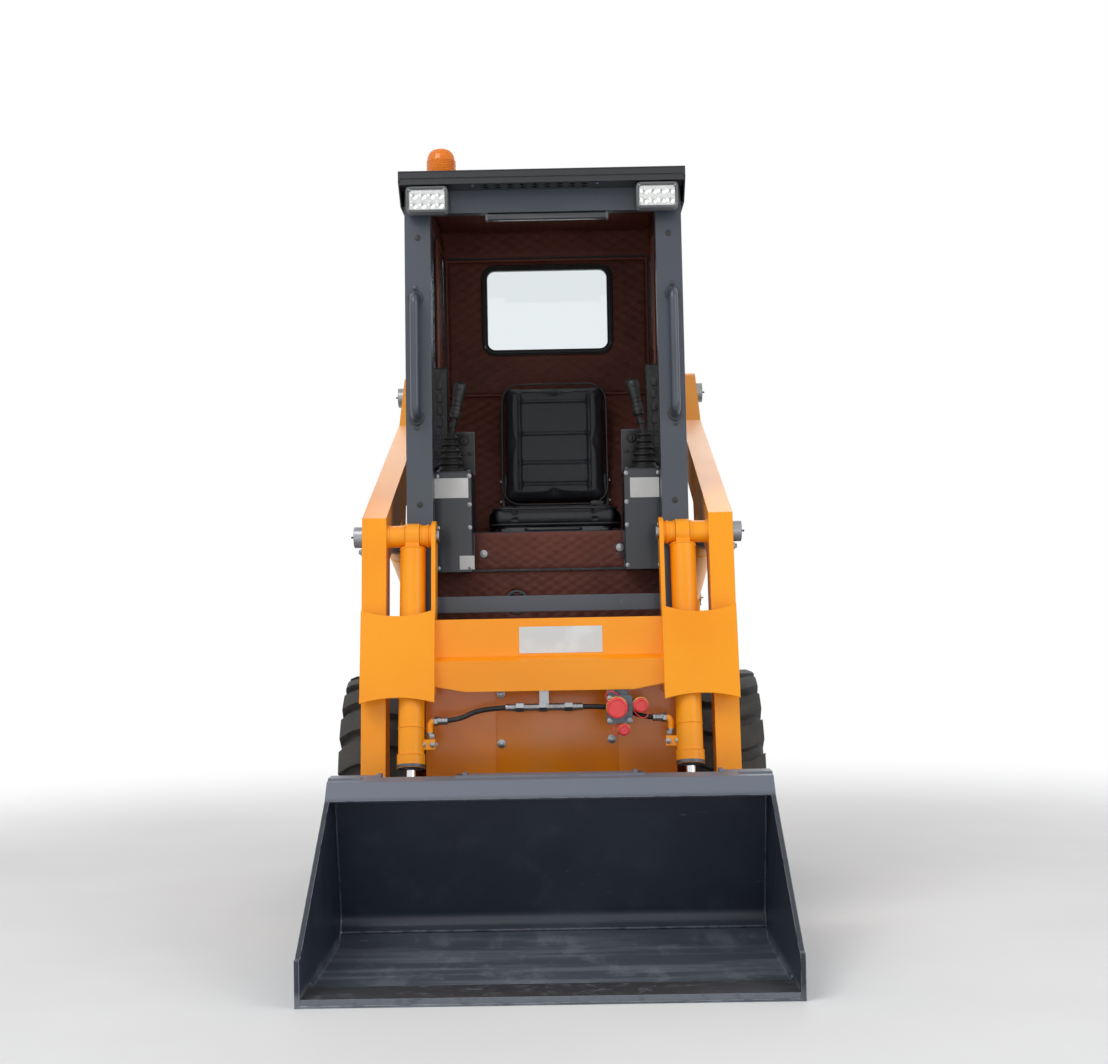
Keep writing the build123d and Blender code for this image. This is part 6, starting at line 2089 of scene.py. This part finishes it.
    def _box(self) -> None:
        """Panel the seat box in stitched vinyl, line its round hole and tab its foot."""
        for name, low, high, face, half in (
            ("upper", 993.0, 1102.0, 1250.0, 222.0), ("lower", self.box_low, 987.0, 1264.0, 344.0)
        ):
            middle = (low + high) / 2
            hole = rounded_hole(
                (self.hole_centre[0], self.hole_centre[1] - middle), 76, 76, 37.5
            ) if name == "lower" else None
            panel = QuiltPanel(
                f"box_quilt_{name}", spot(0, face - 3, middle), ACROSS, UP, 2 * half, high - low, 2.4, 4.0,
                5.0, (45.0, 45.0 * 34 / 57), hole
            )
            settle(panel.build(), CHASSIS)
        rings = Shape()
        rings.ring(
            [(32, 2), (38, 2), (38, -1.6), (36, -3), (30.6, -3), (30.6, 24), (32, 24)],
            spot(self.hole_centre[0], 1264, self.hole_centre[1]), REAR, 56
        )
        rings.piece("box_ring", Shelf.BLACK)
        strap = Shape()
        strap.block((12, 3, 60), spot(self.hole_centre[0], 1284, self.hole_centre[1]), 1, 3)
        strap.piece("box_latch", Shelf.RED)
        tabs, bolts = Shape(), Shape()
        for across_mm, height in ((-196, 1040), (211, 1052)):
            tabs.block((34, 5, 52), spot(across_mm, 1247.6, height - 8), 2, 3)
            bolts.bolt(spot(across_mm, 1245, height), FRONT, 12)
        tabs.piece("box_tabs", Shelf.NAVY)
        bolts.piece("box_bolts", Shelf.ZINC)
        trim = Shape()
        trim.straight([spot(-346, 1249.6, 991), spot(346, 1249.6, 991)], 1.8)
        trim.straight([spot(-346, 1262.6, 918), spot(346, 1262.6, 918)], 1.6)
        trim.straight([spot(-346, 1260, 707), spot(346, 1260, 707)], 2.6)
        trim.piece("box_edges", Shelf.SLATE, angle=60)

    def _floor(self) -> None:
        """Lay a ribbed mat and two foot pedals on the floor."""
        mat = Shape()
        mat.block((560, 190, 3), spot(0, 1160, 706), 1.2, 2)
        for number in range(24):
            mat.block((10, 176, 2.2), spot(-253 + number * 22, 1160, 708), 0.9, 2)
        mat.piece("floor_mat", Shelf.SEAL)
        pedals = Shape()
        for across in (-190, 190):
            tilt = Matrix.Rotation(math.radians(28), 4, "X")
            pedals.block((90, 130, 8), spot(across, 1090, 738), 3, 3, tilt)
            for number in range(5):
                pedals.block((82, 6, 3), spot(across, 1050 + number * 20, 722 + number * 10.6), 1, 2, tilt)
            pedals.rod(spot(across, 1110, 706), spot(across, 1110, 745), 9, sides=24, bevel=1)
        pedals.piece("foot_pedals", Shelf.BLACK)


@dataclass
class Controls(Assembly):
    """Consoles, levers and the switch boxes beside them."""

    line: float = 290.0
    behind: float = 1250.0
    gaiter_low: float = 1283.0
    stem_low: float = 1378.0
    lean: float = 0.19
    ribs: int = 6
    rib_pitch: float = 19.5
    box_front: float = 1299.6

    def build(self) -> None:
        """Dress the consoles and build the levers."""
        self.dress(Shelf.NAVY, "consoles")
        self.dress(Shelf.PLASTIC, "side_boxes")
        for hand in (1, -1):
            self._lever(hand)
        self._console()
        self._labels()
        self._side_boxes()

    def _lever(self, hand: int) -> None:
        """Turn a ribbed gaiter and model the grip with its buttons."""
        side = "left" if hand > 0 else "right"
        foot = spot(hand * self.line, self.behind, self.gaiter_low)
        profile = [(46, 0), (46, 4), (43, 6)]
        for rib in range(self.ribs):
            size = 42 - 4 * rib
            low = rib * self.rib_pitch
            profile += [
                (size - 6, low + 2), (size - 2, low + 3.5), (size, low + 7), (size - 1.5, low + 11),
                (size - 6, low + 14), (size - 8, low + 17)
            ]
        profile += [(15, 116), (13, 120), (9, 121), (0, 121)]
        gaiter = Shape().turned([(0, 0), *profile], foot, UP, 56)
        gaiter.piece(f"gaiter_{side}", Shelf.SEAL, angle=50, replaces=("levers",) if hand > 0 else ())
        lean = Vector((-hand * self.lean, 0, 1)).normalized()
        base = spot(hand * self.line, self.behind, self.stem_low)
        stem = Shape().rod(base, base + lean * 90 * MM, 8, sides=28)
        stem.rod(base + lean * 44 * MM, base + lean * 60 * MM, 11.5, sides=6, bevel=1)
        stem.piece(f"stem_{side}", Shelf.SEAL)
        start = base + lean * 70 * MM
        grip = Shape().turned(
            [
                (0, 0), (12, 0), (15.5, 3), (17.2, 10), (16.4, 22), (15.2, 36), (15.4, 50), (16.6, 62),
                (18.4, 74), (20, 84), (20, 96), (18.6, 104), (14, 109), (7, 111), (0, 111.4)
            ],
            start, lean, 48
        )
        for number in range(4):
            grip.line(
                circle(
                    start + lean * (14 + number * 13) * MM, lean, 16.9 - (0.9 if number in (1, 2) else 0.1),
                    40
                ),
                1.5
            )
        grip.piece(f"grip_{side}", Shelf.PLASTIC, angle=50)
        buttons = Shape()
        side_way = Vector((-hand, 0, 0))
        buttons.turned(
            [(0, 0), (6, 0), (6, 3), (4.6, 4.6), (0, 4.8)], start + lean * 92 * MM + FRONT * 18.6 * MM,
            FRONT, 28
        )
        buttons.turned(
            [(0, 0), (4.4, 0), (4.4, 2.6), (0, 3.2)], start + lean * 78 * MM + FRONT * 17.4 * MM, FRONT, 24
        )
        buttons.turned(
            [(0, 0), (5, 0), (5, 3), (0, 4)], start + lean * 110.5 * MM + side_way * 5 * MM, lean, 24
        )
        buttons.piece(f"lever_buttons_{side}", Shelf.PLASTIC)

    def _console(self) -> None:
        """Plate the consoles' tops, and bolt and seam their fronts."""
        plates, bolts, seams = Shape(), Shape(), Shape()
        plates.block((100, 210, 2.4), spot(279.5, 1290, 1284), 1.0)
        plates.block((52, 2, 120), spot(255, 1394, 1354), 0.8)
        for height, across in (
            (1270, 232), (1185, 232), (1117, 232), (1270, 327), (1117, 327), (998, 232), (998, 327)
        ):
            bolts.bolt(spot(across, CONSOLE_FACE, height), FRONT, 7)
        for behind in (1196, 1388):
            for across in (234, 325):
                bolts.turned([(0, 0), (5, 0), (5, 1.6), (3, 3), (0, 3)], spot(across, behind, 1285), UP, 20)
        seams.straight(
            [
                spot(226.6, CONSOLE_FACE + 0.6, 988), spot(226.6, CONSOLE_FACE + 0.6, 1281),
                spot(332.4, CONSOLE_FACE + 0.6, 1281), spot(332.4, CONSOLE_FACE + 0.6, 988)
            ],
            1.4
        )
        plates.mirrored().piece("console_plates", Shelf.PLASTIC, slot="console")
        bolts.mirrored().piece("console_bolts", Shelf.ZINC)
        seams.mirrored().piece("console_seams", Shelf.NAVY, slot="console", angle=60)
        keys = Shape()
        keys.turned([(0, 0), (15, 0), (15, 3), (12, 6), (0, 6)], spot(258, 1395, 1392), FRONT, 40)
        keys.block((4, 14, 16), spot(258, 1384, 1392), 1.4, 3)
        for number in range(3):
            keys.block((14, 6, 9), spot(240 + 18 * number, 1392, 1352), 1.8, 3)
        keys.mirrored().piece("console_switches", Shelf.PLASTIC)

    def _labels(self) -> None:
        """Stick blank labels on the consoles."""
        labels = Shape()
        labels.block((103, 0.8, 59), spot(-286.5, CONSOLE_FACE - 0.6, 1234.5), 0.3, 1)
        labels.block((86, 0.8, 59), spot(286, CONSOLE_FACE - 0.6, 1226.5), 0.3, 1)
        labels.block((44, 0.8, 41), spot(-242, CONSOLE_FACE - 0.6, 1013.5), 0.3, 1)
        labels.piece("console_labels", Shelf.WHITE)

    def _side_boxes(self) -> None:
        """Seam the switch boxes and set switches in them."""
        seams, knobs = Shape(), Shape()
        seams.straight([spot(322, self.box_front, 1302), spot(322, self.box_front, 1604)], 1.4)
        for number in range(7):
            seams.block((30, 1.6, 3), spot(325, self.box_front, 1330 + number * 12), 0.6, 1)
        for number in range(4):
            knobs.block((16, 6, 26), spot(325, 1298, 1440 + number * 38), 2.2, 3)
        for height in (1310, 1596):
            knobs.turned([(0, 0), (4, 0), (4, 1.6), (2.6, 2.6), (0, 2.6)], spot(314, 1300, height), FRONT, 18)
        seams.mirrored().piece("side_box_seams", Shelf.PLASTIC, angle=60)
        knobs.mirrored().piece("side_box_switches", Shelf.PLASTIC)


@dataclass
class Seat(Assembly):
    """Vinyl cushion and back, blown up by cloth and sewn with channels and piping."""

    middle: float = 18.0
    cushion_half: float = 202.0
    back_half: float = 0.178
    back_thick: float = 0.078
    back_height: float = 0.430
    back_lean: float = 0.21

    def build(self) -> None:
        """Dress the pan and build both pads."""
        self.dress(Shelf.BLACK, "seat_pan")
        self._cushion()
        self._back()
        self._hardware()

    @staticmethod
    def channel(
        axis: int, place: float, low: Vector, high: Vector, depth: float = 7.0, width: float = 7.0
    ) -> Press:
        """Make a press that sinks one straight channel.

        Args:
            axis: the direction that the channel crosses, 0 to 2.
            place: where it lies in that direction, in metres.
            low: corner of the region that it presses.
            high: the opposite corner.
            depth: how deep it sinks, in millimetres.
            width: how wide it is, in millimetres.

        Returns:
            A function that moves a point of the pad.
        """
        def press(point: Vector, normal: Vector) -> Vector:
            """Sink a point near the channel along its normal."""
            if any(not low[i] <= point[i] <= high[i] for i in range(3)):
                return point
            share = math.exp(-(((point[axis] - place) / (width * MM)) ** 2))
            return point - normal * depth * MM * share

        return press

    def _cushion(self) -> None:
        """Blow up the cushion on its pan."""
        low, high = spot(
            self.middle - self.cushion_half, 1298, 1119.3
        ), spot(self.middle + self.cushion_half, 1612, 1186)
        start = Shape().block((384, 296, 50), (low + high) / 2, 20, 4)
        top_low, top_high = Vector((low.x + 0.03, low.y + 0.02, 1.14)), Vector(
            (high.x - 0.03, high.y - 0.02, 1.3)
        )
        inner_low, inner_high = Vector((low.x + 0.075, low.y + 0.02, 1.14)), Vector(
            (high.x - 0.075, high.y - 0.02, 1.3)
        )
        presses = (
            [self.channel(0, spot(self.middle + side * 122, 0, 0).x, top_low, top_high) for side in (-1, 1)]
            + [
                self.channel(1, spot(0, behind, 0).y, inner_low, inner_high, 5.0, 6.0)
                for behind in (1385, 1465, 1545)
            ]
        )
        made = Pad("cushion_pad", start, (low, high), presses).build()
        self._finish(made, "seat_cushion")
        piping = Shape()
        piping.line(self._loop(low, high, 46, 1176, 13), 3.2)
        piping.line(self._loop(low, high, 50, 1128, 1.5), 3.2)
        piping.piece("cushion_piping", Shelf.PIPING, angle=60)

    @staticmethod
    def _loop(low: Vector, high: Vector, radius: float, height: float, inset: float) -> list[Vector]:
        """Points of a rounded rectangle inside two corners, at a height in millimetres."""
        points = []
        middle = (low + high) / 2
        half_x, half_y = (high.x - low.x) / 2 - inset * MM, (high.y - low.y) / 2 - inset * MM
        for corner in range(4):
            sign_x, sign_y = (1 if corner in (0, 3) else -1), (1 if corner < 2 else -1)
            for step in range(7):
                turn = math.radians(90 * corner + 15 * step)
                points.append(Vector((
                    middle.x + sign_x * (half_x - radius * MM) + radius * MM * math.cos(turn),
                    middle.y + sign_y * (half_y - radius * MM) + radius * MM * math.sin(turn), height * MM,
                )))
        return [*points, points[0]]

    def _pose(self) -> Matrix:
        """Pose of the back: its own x across, y backwards and z up its lean."""
        up = Vector((0, self.back_lean, 1)).normalized()
        pose = Matrix(((1, 0, 0), (0, up.z, -up.y), (0, up.y, up.z))).transposed().to_4x4()
        pose.translation = spot(self.middle, 1590, 1196)
        return pose

    def _back(self) -> None:
        """Blow up the back in its own upright frame, then lean it."""
        low, high = Vector((-self.back_half, 0, 0)), Vector(
            (self.back_half, self.back_thick, self.back_height)
        )
        start = Shape().block((336, 402, 58), Vector((0, 0, 0)), 26, 4)
        bmesh.ops.transform(
            start.mesh,
            matrix=Matrix.Translation((low + high) / 2) @ Matrix.Rotation(math.radians(90), 4, "X"),
            verts=start.mesh.verts
        )
        face_low, face_high = Vector((-0.15, -0.1, 0.055)), Vector((0.15, 0.045, 0.375))
        inner_low, inner_high = Vector((-0.112, -0.1, 0.05)), Vector((0.112, 0.045, 0.4))
        presses = [self.channel(0, side * 0.112, face_low, face_high, 9.0, 7.0) for side in (-1, 1)]
        presses += [
            self.channel(2, place, inner_low, inner_high, 8.0, 7.0)
            for place in (0.075, 0.146, 0.243, 0.352)
        ]
        made = Pad("back_pad", start, (low, high), presses, self._pose()).build()
        self._finish(made, "seat_back")
        piping = Shape()
        loop = self._loop(
            Vector((-self.back_half, 0, 0)), Vector((self.back_half, self.back_height - 0.008, 0)), 58, 0, 9
        )
        pose = self._pose()
        for depth in (12, 70):
            piping.line([pose @ Vector((point.x, depth * MM, point.y)) for point in loop], 3.2)
        piping.piece("back_piping", Shelf.PIPING, angle=60)

    @staticmethod
    def _finish(made: bpy.types.Object, node: str) -> None:
        """Cover a pad in vinyl and let it stand for its solid."""
        made.data.materials.clear()
        made.data.materials.append(Shelf.take(Shelf.VINYL))
        settle(made, CHASSIS, (node,))

    def _hardware(self) -> None:
        """Bolt the brackets and set the slide's rails, knob and belt buckle."""
        bolts = Shape()
        for hand in (1, -1):
            side = self.middle + hand * (168 + 4)
            for behind, height in ((1640, 1150), (1668, 1215), (1690, 1282)):
                bolts.bolt(spot(side, behind, height), Vector((hand, 0, 0)), 10)
        bolts.piece("seat_bolts", Shelf.ZINC)
        rails = Shape()
        for hand in (1, -1):
            rails.block((26, 300, 9), spot(self.middle + hand * 150, 1458, 1109.6), 2)
        rails.line(
            [spot(-70, 1296, 1112), spot(-70, 1284, 1112), spot(96, 1284, 1112), spot(96, 1296, 1112)], 4.5
        )
        rails.piece("seat_rails", Shelf.BLACK)
        belt = Shape()
        belt.line(
            [
                spot(-172, 1600, 1124), spot(-184, 1590, 1160), spot(-160, 1560, 1190),
                spot(-120, 1520, 1192)
            ],
            1.4, flat=22
        )
        belt.line(
            [spot(208, 1600, 1124), spot(216, 1592, 1160), spot(192, 1560, 1190), spot(160, 1524, 1192)],
            1.4, flat=22
        )
        belt.piece("seat_belt", Shelf.SEAL, slot="seat_vinyl", angle=60)
        buckle = Shape()
        buckle.block((44, 70, 16), spot(150, 1500, 1196), 4, 3)
        buckle.block((30, 22, 4), spot(150, 1484, 1204), 1.5, 3)
        buckle.piece("belt_buckle", Shelf.PLASTIC)


@dataclass
class Lamps(Assembly):
    """Work lamps with their reflectors, and the amber beacon."""

    across: float = 332.0
    height: float = 2059.0
    columns: int = 4
    pitch: tuple[float, float] = (25.0, 27.0)
    beacon: tuple[float, float] = (-301.0, 1200.0)
    fins: int = 11

    def build(self) -> None:
        """Dress and detail both lamps and the beacon."""
        self.dress(Shelf.GREY, "work_lamps")
        self.dress(Shelf.LENS, "lamp_glasses")
        self._reflectors()
        self._housings()
        self._beacon()

    def _reflectors(self) -> None:
        """Set a grid of cups behind each glass."""
        cups, diodes, tray = Shape(), Shape(), Shape()
        tray.block((104, 1.6, 58), spot(self.across, 1028.4, self.height), 0.5, 1)
        for column in range(self.columns):
            for row in range(2):
                place = spot(
                    self.across + (column - (self.columns - 1) / 2) * self.pitch[0], 1028,
                    self.height + (row - 0.5) * self.pitch[1]
                )
                cups.ring(
                    [(4.2, 0.4), (8, 1.8), (11.4, 3.4), (12.2, 3.6), (12.2, 0), (4.2, 0)], place, FRONT, 32
                )
                diodes.turned([(0, 0), (4, 0), (3.6, 1.6), (0, 2.2)], place, FRONT, 20)
        tray.mirrored().piece("lamp_trays", Shelf.REFLECTOR)
        cups.mirrored().piece("lamp_cups", Shelf.REFLECTOR, angle=30)
        diodes.mirrored().piece("lamp_diodes", Shelf.WHITE, slot="glass")

    def _housings(self) -> None:
        """Fin, rim and bolt the lamps."""
        fins, bolts = Shape(), Shape()
        for number in range(self.fins):
            fins.block((2.6, 12, 60), spot(self.across - 50 + number * 10, 1064, self.height), 0.8, 2)
        rim = [
            spot(self.across + x, 1018, self.height + z) for x,
            z in ((-56, -33), (56, -33), (56, 33), (-56, 33), (-56, -33))
        ]
        fins.straight(rim, 2.2)
        fins.mirrored().piece("lamp_fins", Shelf.GREY)
        for across in (281, 383):
            for height in (2031, 2087):
                bolts.turned([(0, 0), (3, 0), (3, 1.2), (0, 2)], spot(across, 1017.6, height), FRONT, 16)
        for shift in (-14, 14):
            bolts.bolt(spot(346 + shift, 1074, 2050), Vector((0, 0, -1)), 9)
        bolts.mirrored().piece("lamp_bolts", Shelf.ZINC)

    def _beacon(self) -> None:
        """Turn the beacon's base, ribbed dome and inner reflector."""
        foot = spot(*self.beacon, ROOF_TOP)
        base = Shape().turned(
            [(0, 0), (50, 0), (50, 9), (48, 13), (45.4, 14), (45.4, 19), (0, 19)], foot, UP, 64
        )
        for number in range(4):
            turn = math.tau * (number + 0.5) / 4
            base.rod(
                foot + Vector((math.cos(turn), math.sin(turn), 0)) * 40 * MM,
                foot + Vector((math.cos(turn) * 0.040, math.sin(turn) * 0.040, 0.0205)), 3.4, sides=18
            )
        base.piece("beacon_base", Shelf.PLASTIC, slot="amber", replaces=("beacon",))
        profile = [(44, 14)]
        for number in range(11):
            low = 19 + number * 5.2
            profile += [(43.6, low), (44.2, low + 2.6), (43.2, low + 4.6)]
        profile += [
            (42.4, 80), (40.6, 88), (37, 96.5), (32, 103), (25, 108), (14, 111), (0, 112), (0, 109.4),
            (13, 108.4), (24, 105.4), (30, 100.8), (35, 94.6), (38.2, 87), (40, 79), (40.6, 14), (44, 14)
        ]
        dome = Shape().turned(profile, foot, UP, 72)
        dome.piece("beacon_dome", Shelf.AMBER, angle=24)
        inner = Shape().turned(
            [(0, 14), (16, 14), (16, 20), (9, 24), (9, 66), (14, 70), (14, 74), (0, 76)], foot, UP, 40
        )
        for number in range(20):
            turn = math.tau * number / 20
            way = Vector((math.cos(turn), math.sin(turn), 0))
            inner.rod(
                foot + way * 39.6 * MM + UP * 20 * MM, foot + way * 39.6 * MM + UP * 82 * MM, 1.5, sides=8
            )
        inner.piece("beacon_reflector", Shelf.BEACON_INNER, angle=30)


def main() -> None:
    """Dress every sub-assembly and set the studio."""
    logging.basicConfig(level=logging.INFO, format="%(name)s %(message)s")
    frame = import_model()
    for assembly in (Bucket, Boom, Hoses, Cylinders, Chassis):
        assembly(frame).build()
    for corner, hand, behind in (
        ("front_left", 1, FRONT_AXLE), ("front_right", -1, FRONT_AXLE), ("rear_left", 1, REAR_AXLE),
        ("rear_right", -1, REAR_AXLE)
    ):
        Wheel(frame, corner, hand, behind).build()
    for assembly in (Cab, Controls, Seat, Lamps):
        assembly(frame).build()
    Studio().build()
    LOG.info("sizes written")


if __name__ == "__main__":
    main()
